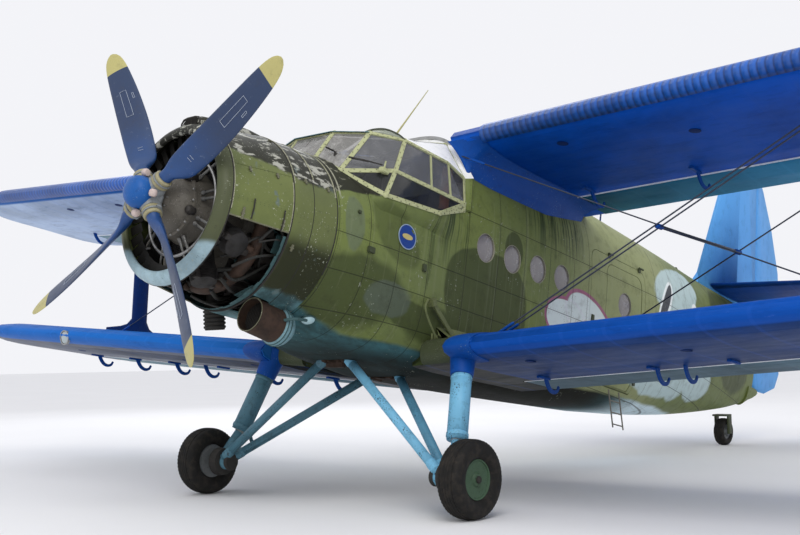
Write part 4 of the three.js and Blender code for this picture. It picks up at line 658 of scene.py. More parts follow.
def fabric_paint(name, colors, rib=0.40, under=None, rough=0.42, seed=0.0, lead=None, root=None):
    """Doped fabric over ribs across the span.

    colors are the main and the darker one, and under is the underside's. lead is the place aft
    where the leading edge's main colour ends, and root is how far out the olive stub reaches.
    """
    net = Net(name)
    main, darker = colors
    facing = net.new("ShaderNodeNewGeometry").outputs["Normal"]
    split = net.new("ShaderNodeSeparateXYZ")
    net.put(split.inputs[0], facing)
    broad = net.noise(0.9, 6, 0.6, stretch=(1, 0.7, 1), seed=seed)
    shade = net.mix(net.ease(broad, 0.40, 0.66), main, darker)
    if under is not None:
        low = net.mix(net.ease(net.noise(1.1, 6, 0.62, seed=seed + 2), 0.4, 0.66), under,
                      tuple(c * 0.72 for c in under))
        shade = net.mix(net.ease(split.outputs[2], 0.12, -0.12), shade, low)
        if lead is not None:
            shade = net.mix(net.ease(net.y, lead + 0.02, lead - 0.02), shade, main)
    if root is not None:
        # The stub is olive on its sides and near black underneath: painted shade on the underside
        stub = net.mix(net.ease(split.outputs[2], 0.25, -0.05), OLIVE_DARK, (0.010, 0.011, 0.008))
        shade = net.mix(net.ease(net.math("ABSOLUTE", net.x), root + 0.02, root - 0.02), shade, stub)
    rib_gap = net.math("PINGPONG", net.x, rib / 2)
    tape = net.ease(rib_gap, 0.022, 0.012)
    stitch = net.times(net.ease(rib_gap, 0.005, 0.002),
                       net.ease(net.math("PINGPONG", net.y, 0.03), 0.02, 0.016))
    scuffs = net.noise(5, 6, 0.72, stretch=(0.5, 1.6, 1), seed=seed + 4)
    shade = net.over(shade, tuple(c * 0.45 for c in darker), net.ease(scuffs, 0.5, 0.72), 0.32)
    pale = net.ease(net.noise(26, 4, 0.7, stretch=(0.3, 1, 1), seed=seed + 6), 0.63, 0.69)
    shade = net.over(shade, tuple(min(1, c * 1.4 + 0.08) for c in main), pale, 0.20)
    shade = net.over(shade, tuple(min(1, c * 1.3 + 0.02) for c in main), tape, 0.16)
    height = net.plus(net.times(tape, 0.5), net.plus(net.times(stitch, 0.5), net.times(scuffs, 0.1)))
    weave = net.noise(320, 2, 0.5, seed=seed + 8)
    sag = net.math("MULTIPLY", net.minus(rib / 2, rib_gap), -2.0)
    normal = net.bump(sag, 0.30, 0.012, net.bump(height, 0.5, 0.0016, net.bump(weave, 0.12, 0.0006)))
    return net.done(shade, net.plus(net.times(scuffs, 0.3), rough - 0.12), 0.0, normal, specular=0.07)


def slat_paint():
    """Blue metal with ridges along the chord."""
    net = Net("slat_paint")
    ridge = net.math("PINGPONG", net.x, 0.035)
    groove = net.ease(ridge, 0.013, 0.003)
    broad = net.noise(1.2, 5, 0.6, seed=3)
    shade = net.mix(net.ease(broad, 0.4, 0.66), (0.012, 0.120, 0.520), (0.007, 0.075, 0.340))
    # Painted shade: darker in the grooves between the ridges
    shade = net.over(shade, (0.003, 0.016, 0.080), groove, 0.6)
    dust = net.noise(9, 5, 0.7, seed=4)
    shade = net.over(shade, (0.06, 0.10, 0.18), net.ease(dust, 0.5, 0.7), 0.25)
    return net.done(shade, net.plus(net.times(dust, 0.25), 0.28), 0.0,
                    net.bump(net.ease(ridge, 0.0, 0.035), 0.9, 0.008))


def blade_paint():
    """Dark blue, scuffed, with a yellow tip."""
    net = Net("blade_paint")
    out = net.math("SQRT", net.plus(net.times(net.x, net.x), net.times(net.z, net.z)))
    broad = net.noise(2.0, 6, 0.6, seed=2)
    inner = net.mix(net.ease(out, 0.35, 0.9), (0.010, 0.056, 0.200), (0.016, 0.035, 0.092))
    shade = net.over(inner, (0.018, 0.042, 0.098), net.ease(broad, 0.4, 0.7), 0.5)
    scuff = net.noise(24, 5, 0.7, seed=5)
    shade = net.over(shade, (0.20, 0.24, 0.32), net.ease(scuff, 0.6, 0.72), 0.35)
    shade = net.mix(net.ease(out, 1.465, 1.470), shade, (0.440, 0.400, 0.150))
    dirt = net.noise(11, 5, 0.7, seed=7)
    shade = net.over(shade, (0.03, 0.03, 0.03), net.ease(dirt, 0.5, 0.72), 0.22)
    return net.done(shade, net.plus(net.times(dirt, 0.25), 0.28), 0.1, net.bump(scuff, 0.2, 0.001))


def rubber(name, color):
    """Dusty rubber."""
    net = Net(name)
    dust = net.noise(14, 6, 0.7)
    shade = net.over(color, (0.055, 0.045, 0.034), net.ease(dust, 0.42, 0.7), 0.4)
    return net.done(shade, net.plus(net.times(dust, 0.2), 0.68), 0.0,
                    net.bump(net.noise(150, 3, 0.6), 0.35, 0.0012), specular=0.3)


def pane(name, color, alpha, dust_amount, dust_color, rough=0.06):
    """A see-through pane with dust and specks on it."""
    net = Net(name)
    dust = net.noise(5, 6, 0.7, stretch=(1, 1, 0.6))
    specks = net.noise(60, 3, 0.6)
    cover = net.plus(net.times(net.ease(dust, 0.42, 0.75), dust_amount),
                     net.times(net.ease(specks, 0.62, 0.7), 0.25), clamp=True)
    shade = net.mix(cover, color, dust_color)
    opacity = net.plus(net.times(cover, 1 - alpha), alpha, clamp=True)
    return net.done(shade, net.plus(net.times(cover, 0.5), rough), 0.0, net.bump(specks, 0.05, 0.0005),
                    specular=0.7, alpha=opacity)


def cloth(name, color):
    """Woven cloth with a little sheen."""
    net = Net(name)
    weave = net.plus(net.math("PINGPONG", net.times(net.y, 400), 1.0),
                     net.math("PINGPONG", net.times(net.z, 400), 1.0))
    tone = net.noise(6, 5, 0.6)
    shade = net.mix(net.ease(tone, 0.35, 0.7), color, tuple(c * 0.5 for c in color))
    material = net.done(shade, 0.85, 0.0, net.bump(weave, 0.3, 0.0008))
    net.shader.inputs["Sheen Weight"].default_value = 0.3
    return material


# Paints and metals. After the name, coat takes the colour, roughness, fading, dirt, chips, the colour
# under the chips, the pattern's scale and its seed. bare_metal takes the colour, roughness, metal, scale,
# seed, stain and its amount. pane takes the colour, opacity, dust and the dust's colour.
M = {
    "fuselage": fuselage_paint(),
    "cowl": cowl_paint(),
    "frame": coat("canopy_primer", PRIMER, 0.55, 0.2, 0.45, 0.25, (0.55, 0.56, 0.45), 2.2, 1),
    "roof": coat("canopy_roof_paint", (0.84, 0.85, 0.86), 0.5, 0.2, 0.18, 0.3, (0.3, 0.3, 0.28), 1.5, 2,
                 streak=0.15),
    "glass": pane("canopy_low_pane", (0.022, 0.024, 0.026), 0.38, 0.22, (0.16, 0.16, 0.16)),
    "glass_side": pane("canopy_side_pane", (0.150, 0.155, 0.165), 0.54, 0.35, (0.30, 0.30, 0.30)),
    "glass_rear": pane("canopy_rear_pane", (0.100, 0.100, 0.105), 0.28, 0.30, (0.30, 0.29, 0.29)),
    "glass_front": pane("canopy_front_pane", (0.26, 0.255, 0.24), 0.55, 0.55, (0.62, 0.61, 0.58)),
    "window_rim": coat("window_rim_paint", (0.26, 0.25, 0.19), 0.5, 0.2, 0.6, 0.6, (0.03, 0.03, 0.02),
                       6, 41),
    "window": pane("cabin_pane", (0.200, 0.185, 0.185), 0.90, 0.45, (0.33, 0.31, 0.30), 0.15),
    "blade": blade_paint(),
    "dome": coat("dome_paint", (0.008, 0.090, 0.330), 0.38, 0.2, 0.25, 0.3, (0.20, 0.26, 0.32), 3, 3),
    "hub_pale": coat("hub_pale_paint", (0.24, 0.26, 0.27), 0.45, 0.3, 0.55, 0.4, (0.07, 0.06, 0.05), 3, 4),
    "khaki": coat("collar_paint", (0.36, 0.33, 0.20), 0.5, 0.3, 0.5, 0.5, (0.08, 0.07, 0.05), 4, 5),
    "pinkish": coat("weight_paint", (0.55, 0.45, 0.42), 0.5, 0.3, 0.4, 0.3, (0.2, 0.1, 0.08), 4, 6),
    "red": coat("red_paint", (0.30, 0.035, 0.020), 0.5, 0.3, 0.4, 0.3, (0.1, 0.03, 0.02), 4, 7),
    "engine": bare_metal("oily_metal", (0.050, 0.046, 0.042), 0.5, 0.5, 1.2, 1, (0.016, 0.011, 0.008), 0.8),
    "fins": bare_metal("finned_metal", (0.040, 0.038, 0.036), 0.5, 0.6, 1.5, 2, (0.012, 0.010, 0.008), 0.6),
    "gear_case": coat("gear_case_paint", (0.115, 0.105, 0.088), 0.42, 0.4, 0.55, 0.4, (0.30, 0.29, 0.27),
                      3, 8),
    "silver": bare_metal("silver_tube", (0.46, 0.46, 0.45), 0.32, 0.9, 2, 3, (0.12, 0.11, 0.10), 0.4),
    "rust": bare_metal("rusty_sheet", (0.050, 0.026, 0.015), 0.65, 0.25, 1.5, 4,
                       (0.014, 0.009, 0.006), 0.7),
    "soot": coat("sooty_metal", (0.030, 0.028, 0.026), 0.7, 0.2, 0.5, 0.3, (0.10, 0.07, 0.05), 2, 9),
    "collar": coat("pale_collar_paint", (0.17, 0.30, 0.34), 0.5, 0.3, 0.7, 0.6, (0.03, 0.04, 0.04), 3, 10),
    "royal": coat("royal_paint", (0.003, 0.060, 0.300), 0.40, 0.3, 0.3, 0.35, (0.10, 0.18, 0.32), 1.6,
                  11, shine=0.12),
    "dark_royal": coat("dark_royal_paint", (0.003, 0.022, 0.120), 0.55, 0.3, 0.4, 0.3, (0.04, 0.08, 0.16),
                       2, 12, shine=0.10),
    "sky": coat("sky_leg_paint", (0.170, 0.440, 0.640), 0.42, 0.25, 0.35, 0.85, (0.030, 0.030, 0.030), 1.6,
                13, streak=0.25),
    "teal_leg": coat("teal_leg_paint", (0.080, 0.190, 0.250), 0.45, 0.3, 0.4, 0.8, (0.025, 0.025, 0.025),
                     1.6, 14, streak=0.3),
    "wing_upper_near": fabric_paint("wing_fabric", ((0.004, 0.070, 0.400), (0.003, 0.048, 0.280)),
                                    under=(0.002, 0.105, 0.600), lead=2.6),
    "wing_lower_near": fabric_paint("low_wing_fabric", ((0.004, 0.075, 0.400), (0.003, 0.045, 0.260)),
                                    under=(0.006, 0.046, 0.200), seed=4, lead=2.6, root=1.17),
    "wing_upper_far": fabric_paint("far_wing_fabric", ((0.020, 0.130, 0.430), (0.015, 0.095, 0.330)),
                                   under=(0.46, 0.58, 0.78), seed=7, lead=3.06),
    "wing_lower_far": fabric_paint("far_low_wing_fabric", ((0.012, 0.140, 0.520), (0.010, 0.095, 0.380)),
                                   under=(0.150, 0.165, 0.210), seed=9, lead=2.62, root=1.17),
    "teal_fabric": fabric_paint("teal_fabric", ((0.034, 0.235, 0.420), (0.025, 0.175, 0.320)),
                                seed=11, rough=0.5),
    "low_flap_fabric": fabric_paint("low_flap_fabric", ((0.120, 0.210, 0.270), (0.070, 0.130, 0.170)),
                                    seed=12, rough=0.5),
    "pale_fabric": fabric_paint("pale_fabric", ((0.170, 0.290, 0.350), (0.13, 0.23, 0.29)),
                                seed=13, rough=0.5),
    "fin": fabric_paint("fin_fabric", ((0.120, 0.390, 0.820), (0.095, 0.320, 0.720)), rib=0.5, seed=15),
    "tailplane": fabric_paint("tailplane_fabric", ((0.006, 0.058, 0.300), (0.005, 0.038, 0.200)), seed=17),
    "slat": slat_paint(),
    "wire": coat("wire_paint", (0.055, 0.065, 0.090), 0.35, 0.2, 0.3, 0.4, (0.14, 0.13, 0.12), 3,
                 15, metal=0.4),
    "rubber": rubber("tyre_rubber_dusty", (0.007, 0.0065, 0.006)),
    "gasket": rubber("gasket_rubber", (0.010, 0.010, 0.010)),
    "hub_green": coat("hub_green_paint", (0.050, 0.095, 0.055), 0.5, 0.3, 0.5, 0.5, (0.02, 0.02, 0.015),
                      4, 16),
    "hub_grey": coat("hub_grey_paint", (0.170, 0.180, 0.185), 0.5, 0.3, 0.5, 0.5, (0.03, 0.03, 0.025),
                     4, 17),
    "dark": coat("cabin_dark_paint", (0.030, 0.032, 0.030), 0.6, 0.2, 0.3, 0.2, (0.1, 0.1, 0.1), 3, 18),
    "seat_metal": coat("seat_frame_paint", (0.10, 0.12, 0.11), 0.5, 0.2, 0.3, 0.2, (0.2, 0.2, 0.2), 4, 19),
    "floor": coat("cabin_floor_paint", (0.10, 0.11, 0.09), 0.6, 0.3, 0.5, 0.6, (0.2, 0.2, 0.18), 2, 20),
    "lining": coat("cabin_lining_paint", (0.26, 0.28, 0.25), 0.6, 0.3, 0.3, 0.1, (0.1, 0.1, 0.1), 1, 21),
    "leather": cloth("seat_cloth", (0.06, 0.035, 0.025)),
    # Painted light: the curtain is coloured far brighter than its own brown, to make up for the dim light
    # behind the panes
    "curtain": cloth("curtain_cloth", (0.85, 0.40, 0.24)),
    "badge": coat("badge_blue", (0.010, 0.045, 0.230), 0.35, 0.1, 0.15, 0.1, (0.2, 0.2, 0.2), 5, 22),
    "badge_ring": coat("badge_ring_paint", (0.26, 0.34, 0.44), 0.4, 0.1, 0.2, 0.1, (0.2, 0.2, 0.2), 5, 23),
    "lamp": pane("lamp_lens", (0.45, 0.52, 0.54), 0.9, 0.3, (0.5, 0.55, 0.55), 0.2),
    "cream": coat("worn_cream_strap", (0.33, 0.33, 0.23), 0.55, 0.2, 0.9, 1.0, (0.02, 0.02, 0.015),
                  3.5, 25),
    "cream_dark": coat("latch_paint", (0.14, 0.14, 0.09), 0.55, 0.2, 0.5, 0.8, (0.45, 0.45, 0.33), 3, 26),
    "bay_teal": coat("bay_teal_paint", (0.050, 0.105, 0.110), 0.55, 0.3, 0.8, 0.6, (0.03, 0.02, 0.015),
                     3, 27),
    "bay_dark": coat("bay_dark_paint", (0.016, 0.019, 0.019), 0.6, 0.2, 0.5, 0.3, (0.06, 0.08, 0.08),
                     2, 28),
    "rod": bare_metal("pushrod_metal", (0.20, 0.20, 0.19), 0.4, 0.7, 2, 5, (0.03, 0.028, 0.025), 0.6),
    "lead": coat("lead_braid", (0.16, 0.15, 0.13), 0.6, 0.2, 0.5, 0.4, (0.04, 0.04, 0.04), 5, 29),
    "hose": coat("bay_hose", (0.022, 0.022, 0.020), 0.55, 0.2, 0.4, 0.5, (0.07, 0.09, 0.08), 2, 30),
    "shutter": coat("shutter_sheet", (0.020, 0.019, 0.017), 0.5, 0.2, 0.4, 0.3, (0.09, 0.09, 0.08), 3, 31),
    "stencil": coat("stencil_white", (0.42, 0.47, 0.56), 0.5, 0.1, 0.2, 0.3, (0.1, 0.12, 0.2), 5, 32),
    "pink_roof": coat("front_roof_paint", (0.55, 0.42, 0.45), 0.5, 0.3, 0.3, 0.3, (0.3, 0.3, 0.3), 2, 33),
    "arch_dark": coat("arch_bead_paint", (0.060, 0.070, 0.050), 0.5, 0.2, 0.4, 0.5, (0.35, 0.36, 0.25),
                      3, 34),
    "arch_pane": pane("arch_pane", (0.30, 0.33, 0.27), 0.75, 0.3, (0.5, 0.5, 0.45), 0.15),
    "sky_deep": coat("sky_brace_paint", (0.095, 0.270, 0.400), 0.42, 0.25, 0.35, 0.8, (0.025, 0.025, 0.025),
                     1.6, 35, streak=0.25),
    # Painted sky: the near-white strips that stand for light seen through the gap between wing and flap
    "slot": coat("slot_painted_sky", (0.92, 0.95, 0.98), 0.5, 0.1, 0.1, 0.2, (0.3, 0.4, 0.6), 3, 36),
    "badge_gold": coat("badge_pale_mark", (0.50, 0.42, 0.16), 0.45, 0.1, 0.2, 0.1, (0.2, 0.2, 0.2), 5, 37),
    "lamp_white": pane("belly_lamp_lens", (0.42, 0.62, 0.66), 0.96, 0.2, (0.5, 0.6, 0.6), 0.2),
    "dark_box": coat("side_box_paint", (0.050, 0.062, 0.030), 0.5, 0.2, 0.4, 0.4, (0.2, 0.2, 0.14), 4, 38),
    "step_olive": coat("step_paint", (0.125, 0.145, 0.060), 0.5, 0.3, 0.5, 0.6, (0.03, 0.03, 0.02), 3, 39),
    "mast": coat("mast_paint", (0.38, 0.36, 0.16), 0.5, 0.2, 0.4, 0.2, (0.1, 0.1, 0.1), 4, 24),
}

# Camera, floor and light

# The camera's angles, focal length in pixels and place, as fitted to the photograph
YAW, PITCH, ROLL, FOCAL = math.radians(42.43), math.radians(13.03), math.radians(6.68), 1140.65
FRAME_WIDTH = 800
SENSOR_WIDTH = 36.0
CAMERA_PLACE = (7.541, -5.152, -2.410)
ahead = Vector((-math.sin(YAW) * math.cos(PITCH), math.cos(YAW) * math.cos(PITCH), math.sin(PITCH)))
right = Vector((math.cos(YAW), math.sin(YAW), 0))
upward = right.cross(ahead)
right_rolled = right * math.cos(ROLL) + upward * math.sin(ROLL)
up_rolled = upward * math.cos(ROLL) - right * math.sin(ROLL)
camera = bpy.data.objects.new("camera", bpy.data.cameras.new("camera"))
scene.collection.objects.link(camera)
camera.data.sensor_fit = "HORIZONTAL"
camera.data.sensor_width = SENSOR_WIDTH
camera.data.lens = SENSOR_WIDTH * FOCAL / FRAME_WIDTH
camera.data.clip_end = 400
columns = [turned(right_rolled), turned(up_rolled), -turned(ahead), parked(CAMERA_PLACE)]
camera.matrix_world = Matrix([[c[i] for c in columns] for i in range(3)] + [[0, 0, 0, 1]])
scene.camera = camera

floor_net = Net("studio_floor")
floor_shade = floor_net.mix(floor_net.noise(0.4, 4), (0.80, 0.80, 0.81), (0.86, 0.86, 0.87))
floor_material = floor_net.done(floor_shade, 0.9)
bpy.ops.mesh.primitive_plane_add(size=300, location=(0, 0, 0))
floor = bpy.context.object
floor.name = "studio_floor"
floor.data.materials.append(floor_material)

world = bpy.data.worlds.new("studio")
scene.world = world
world.use_nodes = True
world.node_tree.nodes["Background"].inputs[0].default_value = (0.90, 0.905, 0.94, 1)
world.node_tree.nodes["Background"].inputs[1].default_value = 1.0


def soft_light(name, place, target, size, power, color=(1, 1, 1)):
    lamp = bpy.data.objects.new(name, bpy.data.lights.new(name, "AREA"))
    lamp.data.shape = "DISK"
    lamp.data.size = size
    lamp.data.energy = power
    lamp.data.color = color
    lamp.location = place
    lamp.rotation_euler = (Vector(target) - Vector(place)).to_track_quat("-Z", "Y").to_euler()
    scene.collection.objects.link(lamp)


soft_light("key", (10, -14, 15), (0, -1, 2), 12, 1500, (1.0, 0.98, 0.95))
soft_light("fill", (-14, 8, 12), (0, 0, 2), 12, 700, (0.95, 0.97, 1.0))


# Fuselage: sections of two half super-ellipses, in level metres

def stations(rows):
    """Sections from rows of numbers: how far aft, half width, top, lowest and widest height, and powers."""
    keys = ("y", "half", "top", "low", "wide", "upper", "lower")
    return [dict(zip(keys, r)) for r in rows]


COCKPIT = stations([(1.378, .801, .830, -.772, .029, 2, 2), (1.75, .834, .852, -.856, .06, 2.1, 2.5),
                    (2.3, .868, .830, -.912, .2, 2.4, 4), (3.05, .882, .830, -.950, .26, 2.8, 5)])
CABIN = stations([(3.05, .882, 1.540, -.950, .26, 2.8, 5), (4.5, .900, 1.566, -.880, .26, 2.9, 4.2),
                  (6.7, .885, 1.496, -.728, .3, 2.7, 3.4)])
TAIL = stations([(6.7, .885, 1.496, -.728, .3, 2.7, 3.4), (7.7, .770, 1.496, -.612, .35, 2.5, 2.8),
                 (8.9, .560, 1.494, -.415, .42, 2.3, 2.3), (10.3, .290, 1.5, -.12, .56, 2.1, 2),
                 (11.12, .120, 1.48, .11, .7, 2, 2)])


def slopes(rows, key):
    out = []
    for i in range(len(rows)):
        a, b = rows[max(i - 1, 0)], rows[min(i + 1, len(rows) - 1)]
        out.append((b[key] - a[key]) / (b["y"] - a["y"]))
    return out


def section_at(rows, y):
    """A section between stations, along a smooth curve through them."""
    i = max(k for k in range(len(rows) - 1) if rows[k]["y"] <= y + 1e-9)
    a, b = rows[i], rows[i + 1]
    run = b["y"] - a["y"]
    t = min(1.0, max(0.0, (y - a["y"]) / run))
    out = {"y": y}
    for key in ("half", "top", "low", "wide", "upper", "lower"):
        m = slopes(rows, key)
        out[key] = ((2 * t ** 3 - 3 * t ** 2 + 1) * a[key] + (t ** 3 - 2 * t ** 2 + t) * run * m[i]
                    + (3 * t ** 2 - 2 * t ** 3) * b[key] + (t ** 3 - t ** 2) * run * m[i + 1])
    return out


def section_ring(s, inset=0.0, count=112):
    """Points round a section, a little inside it."""
    ring = []
    for angle in circle(count):
        across, up = math.cos(angle), math.sin(angle)
        power = s["upper"] if up >= 0 else s["lower"]
        height = s["top"] - inset - s["wide"] if up >= 0 else s["wide"] - s["low"] - inset
        x = math.copysign(abs(across) ** (2 / power), across) * (s["half"] - inset)
        z = s["wide"] + math.copysign(abs(up) ** (2 / power), up) * height
        ring.append((x, s["y"], z))
    return ring


def fuselage_shell(rows, wall=0.03, step=0.11):
    """A hollow length of the fuselage through its stations."""
    first, last = rows[0]["y"], rows[-1]["y"]
    n = max(2, round((last - first) / step))
    ys = [first + (last - first) * k / n for k in range(n + 1)]
    outer = [section_ring(section_at(rows, y)) for y in ys]
    inner = [section_ring(section_at(rows, y), wall) for y in reversed(ys)]
    return loft(outer + inner, loop=True)


def side_point(y, z, side=1, out=0.0):
    """The point of the fuselage's side at a height, a little outside it."""
    rows = COCKPIT if y <= 3.05 else CABIN if y <= 6.7 else TAIL
    s = section_at(rows, y)
    up = z >= s["wide"]
    power = s["upper"] if up else s["lower"]
    height = (s["top"] - s["wide"]) if up else (s["wide"] - s["low"])
    share = min(1.0, abs(z - s["wide"]) / height)
    x = s["half"] * (1 - share ** power) ** (1 / power)
    return Vector((side * (x + out), y, z))


def rounded_outline(front, rear, low, top, corner, steps=6):
    """A door outline as (y, z) points, with rounded upper corners."""
    points = [(front, low), (rear, low)]
    for cy, cz, start in ((rear - corner, top - corner, 0.0), (front + corner, top - corner, math.pi / 2)):
        for k in range(steps + 1):
            t = start + k * math.pi / 2 / steps
            points.append((cy + corner * math.cos(t), cz + corner * math.sin(t)))
    return points


def prism(outline):
    """A block through the port wall with a door's outline."""
    return loft([[(x, y, z) for y, z in outline] for x in (0.5, 1.3)])


WINDOWS = [(3.330, .370), (3.765, .368), (4.208, .375), (4.650, .388)]
DOOR_WINDOW = (5.970, .390)
WINDOW_RADIUS = 0.142
CARGO = rounded_outline(5.230, 6.440, -.560, .893, .12)
CARGO_IN = rounded_outline(5.236, 6.434, -.548, .887, .116)
PASSENGER = rounded_outline(5.560, 6.360, -.540, .800, .12)
PASSENGER_IN = rounded_outline(5.566, 6.344, -.534, .794, .116)

cockpit = new_object("cockpit_skin", [fuselage_shell(COCKPIT)])
CANOPY = {
    "deckFront": (0, 1.528, .838), "deckPost": (.242, 1.533, .795), "deckSide": (.545, 1.570, .645),
    "sillFront": (.850, 1.871, .474), "sillRear": (.955, 2.510, .480), "sillEnd": (.865, 2.960, .650),
    "railFront": (.815, 1.998, .743), "railRear": (.855, 2.975, .715), "topFront": (.760, 2.133, 1.090),
    "topMiddle": (.780, 2.750, 1.068), "topRear": (.800, 2.990, .985), "brow": (.582, 1.845, 1.089),
    "browPost": (.242, 1.719, 1.102), "browMiddle": (0, 1.719, 1.102), "eyebrow": (.560, 2.010, 1.165),
    "roofBend": (.460, 2.560, 1.270), "roofBendMiddle": (0, 2.400, 1.310), "roofSide": (.470, 3.050, 1.400),
    "roofMiddle": (0, 3.050, 1.490),
}
# The room under the canopy, cut from the cockpit
opening = [(0, 1.60, .40), (0, 1.60, 1.0), (.24, 1.60, .95), (.48, 1.66, .80), (.76, 1.93, .42),
           (.84, 2.50, .42), (.80, 2.92, .42), (.80, 3.3, .9), (0, 3.3, 1.2), (.76, 2.2, 1.0),
           (.76, 1.93, .25), (.80, 2.5, .30), (.80, 3.3, .30), (0, 3.3, .3), (.3, 1.62, .35)]
opening_mesh = bpy.data.meshes.new("opening")
work = bmesh.new()
for p in opening:
    for side in (1, -1):
        work.verts.new(parked((side * p[0], p[1], p[2])))
bmesh.ops.convex_hull(work, input=work.verts)
work.to_mesh(opening_mesh)
work.free()
opening_tool = bpy.data.objects.new("opening", opening_mesh)
scene.collection.objects.link(opening_tool)
cut(cockpit, opening_tool)
finish_piece(cockpit, M["fuselage"], "airframe", "olive_skin", 30)
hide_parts("cockpit_section")

cabin = new_object("cabin_skin", [fuselage_shell(CABIN)])
holes = [lathe([(-1.2, WINDOW_RADIUS), (1.2, WINDOW_RADIUS)], (0, y, z), (1, 0, 0), 48) for y, z in WINDOWS]
cut(cabin, new_object("holes", holes))
cut(cabin, new_object("door_hole", [prism(CARGO)]))
finish_piece(cabin, M["fuselage"], "airframe", "olive_skin", 30)
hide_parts("cabin_section")

tail = new_object("tail_skin", [fuselage_shell(TAIL)])
stern_rings = []
for y, half, top, low in ((10.9, .150, .300, .020), (11.118, .112, .316, .122), (11.3, .078, .316, .182),
                          (11.45, .034, .316, .246)):
    stern_rings.append([(math.cos(math.pi + math.pi * i / 16) * half, y,
                         top + math.sin(math.pi + math.pi * i / 16) * (top - low)) for i in range(17)])
make("stern_end", [loft(stern_rings)], M["fuselage"], "olive_skin")
finish_piece(tail, M["fuselage"], "airframe", "olive_skin", 30)
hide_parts("tail_section")
end = section_ring(section_at(TAIL, 11.12))
make("tail_end_cap", [loft([end, [(p[0] * 0.9, 11.128, .795 + (p[2] - .795) * 0.97) for p in end]])],
     M["fuselage"], "olive_skin")

cargo = new_object("cargo_door_skin", [fuselage_shell(CABIN)])
cut(cargo, new_object("cargo_tool", [prism(CARGO_IN)]), "INTERSECT")
cut(cargo, new_object("passenger_hole", [prism(PASSENGER)]))
finish_piece(cargo, M["fuselage"], "cargo_door", "olive_skin", 30)
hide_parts("cargo_door")
passenger = new_object("passenger_door_skin", [fuselage_shell(CABIN)])
cut(passenger, new_object("passenger_tool", [prism(PASSENGER_IN)]), "INTERSECT")
door_hole = lathe([(.5, WINDOW_RADIUS), (1.2, WINDOW_RADIUS)], (0, *DOOR_WINDOW), (1, 0, 0), 48)
cut(passenger, new_object("door_window_hole", [door_hole]))
finish_piece(passenger, M["fuselage"], "passenger_door", "olive_skin", 30)
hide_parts("passenger_door")

WINDOW_RING = [(.010, .141), (.016, .145), (.018, .140), (.014, .136), (-.012, .136), (-.012, .141)]
WINDOW_PANE = [(-.004, .137), (.002, .137), (.010, .10), (.013, .05), (.014, 0)]


def window(y, z, side=1):
    """The dark ring and the domed pane of a cabin window."""
    centre, axis = (side * (side_point(y, z).x - .016), y, z), (side, 0, 0)
    return lathe(WINDOW_RING, centre, axis, 40, closed=True), lathe(WINDOW_PANE, centre, axis, 40)


glazed = [window(y, z, side) for y, z in WINDOWS for side in (1, -1)]
make("window_rings", [ring for ring, _ in glazed], M["window_rim"], "pale_frame")
make("window_panes", [dome for _, dome in glazed], M["window"], "clear_panes")
door_ring, door_pane = window(*DOOR_WINDOW)
make("door_window_ring", [door_ring], M["window_rim"], "pale_frame", "passenger_door")
make("door_window_pane", [door_pane], M["window"], "clear_panes", "passenger_door")

# Nose: cowl, air scoop, oil cooler and exhaust

def cowl_axis(y):
    return 0.010 + (y - 0.299) / 1.079 * 0.019


def cowl_radius(y):
    if y <= 0.88:
        return 0.695 + (y - 0.299) / 0.581 * 0.092
    return 0.787 + (y - 0.88) / 0.498 * 0.014


def cowl_point(y, degrees, out=0.0):
    t = math.radians(degrees)
    r = cowl_radius(y) + out
    return Vector((math.cos(t) * r, y, math.sin(t) * r + cowl_axis(y)))


def cowl_shell(ys, start, end, wall=0.010, out=0.0, steps=90):
    """A part of the cowl's wall between two angles, given in degrees up from port."""
    full = end - start >= 359.9
    count = max(4, round(steps * (end - start) / 360))
    angles = [start + (end - start) * k / count for k in range(count if full else count + 1)]
    profile = [(y, out) for y in ys] + [(y, out - wall) for y in reversed(ys)]
    rings = [[cowl_point(y, a, o) for y, o in profile] for a in angles]
    return loft(rings, loop=full)


def cowl_strap(y, width, start, end, out):
    """A band round the cowl between two angles, standing a little proud."""
    ys = [y - width / 2, y - width / 4, y, y + width / 4, y + width / 2]
    return cowl_shell(ys, start, end, 0.012, out, 120)


nose_profile = [(0.299, .695), (0.288, .6935), (0.266, .688), (0.250, .680), (0.236, .668), (0.224, .654),
                (0.216, .636), (0.211, .620), (0.210, .608), (0.216, .592), (0.226, .586), (0.236, .584),
                (0.248, .588), (0.256, .594), (0.262, .612), (0.266, .630), (0.272, .650), (0.278, .665),
                (0.299, .681)]
make("nose_ring_skin", [lathe(nose_profile, (0, 0, cowl_axis(.299)), (0, 1, 0), 112, closed=True)],
     M["cowl"], "olive_skin", replaces=("cowl_nose_ring",), angle=50)
panel_ys = [0.303, 0.40, 0.50, 0.60, 0.70, 0.80, 0.876]
side = [cowl_shell(panel_ys, -11.8, 24), cowl_shell(panel_ys, 24.25, 88),
        cowl_shell(panel_ys, 88.25, 155.8), cowl_shell(panel_ys, 156, 191),
        cowl_shell(panel_ys, 191.2, 241.8)]
make("side_panel_skin", side, M["cowl"], "olive_skin", replaces=("cowl_side_panels",), angle=50)
COOLER_FRONT, COOLER_REAR = (.300, .990, -.780), (.300, 1.380, -.830)
band = new_object("rear_band_skin", [cowl_shell([0.884, 0.98, 1.10, 1.22, 1.30, 1.3765], 0, 360)])
notch = lathe([(-.25, .175), (.06, .170), (.10, .160)], COOLER_FRONT, (0, .390, -.050), 40)
cut(band, new_object("cooler_notch", [notch]))
finish_piece(band, M["cowl"], "airframe", "olive_skin", 50)
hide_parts("cowl_rear_band")
make("cowl_dark_seams", [cowl_strap(.301, .010, 0, 360, .0025), cowl_strap(.8795, .012, 0, 360, .002),
                         cowl_strap(1.104, .007, -60, 240, .0012),
                         cowl_strap(1.376, .012, -30, 210, .0015)], M["soot"], "engine_metal", angle=60)
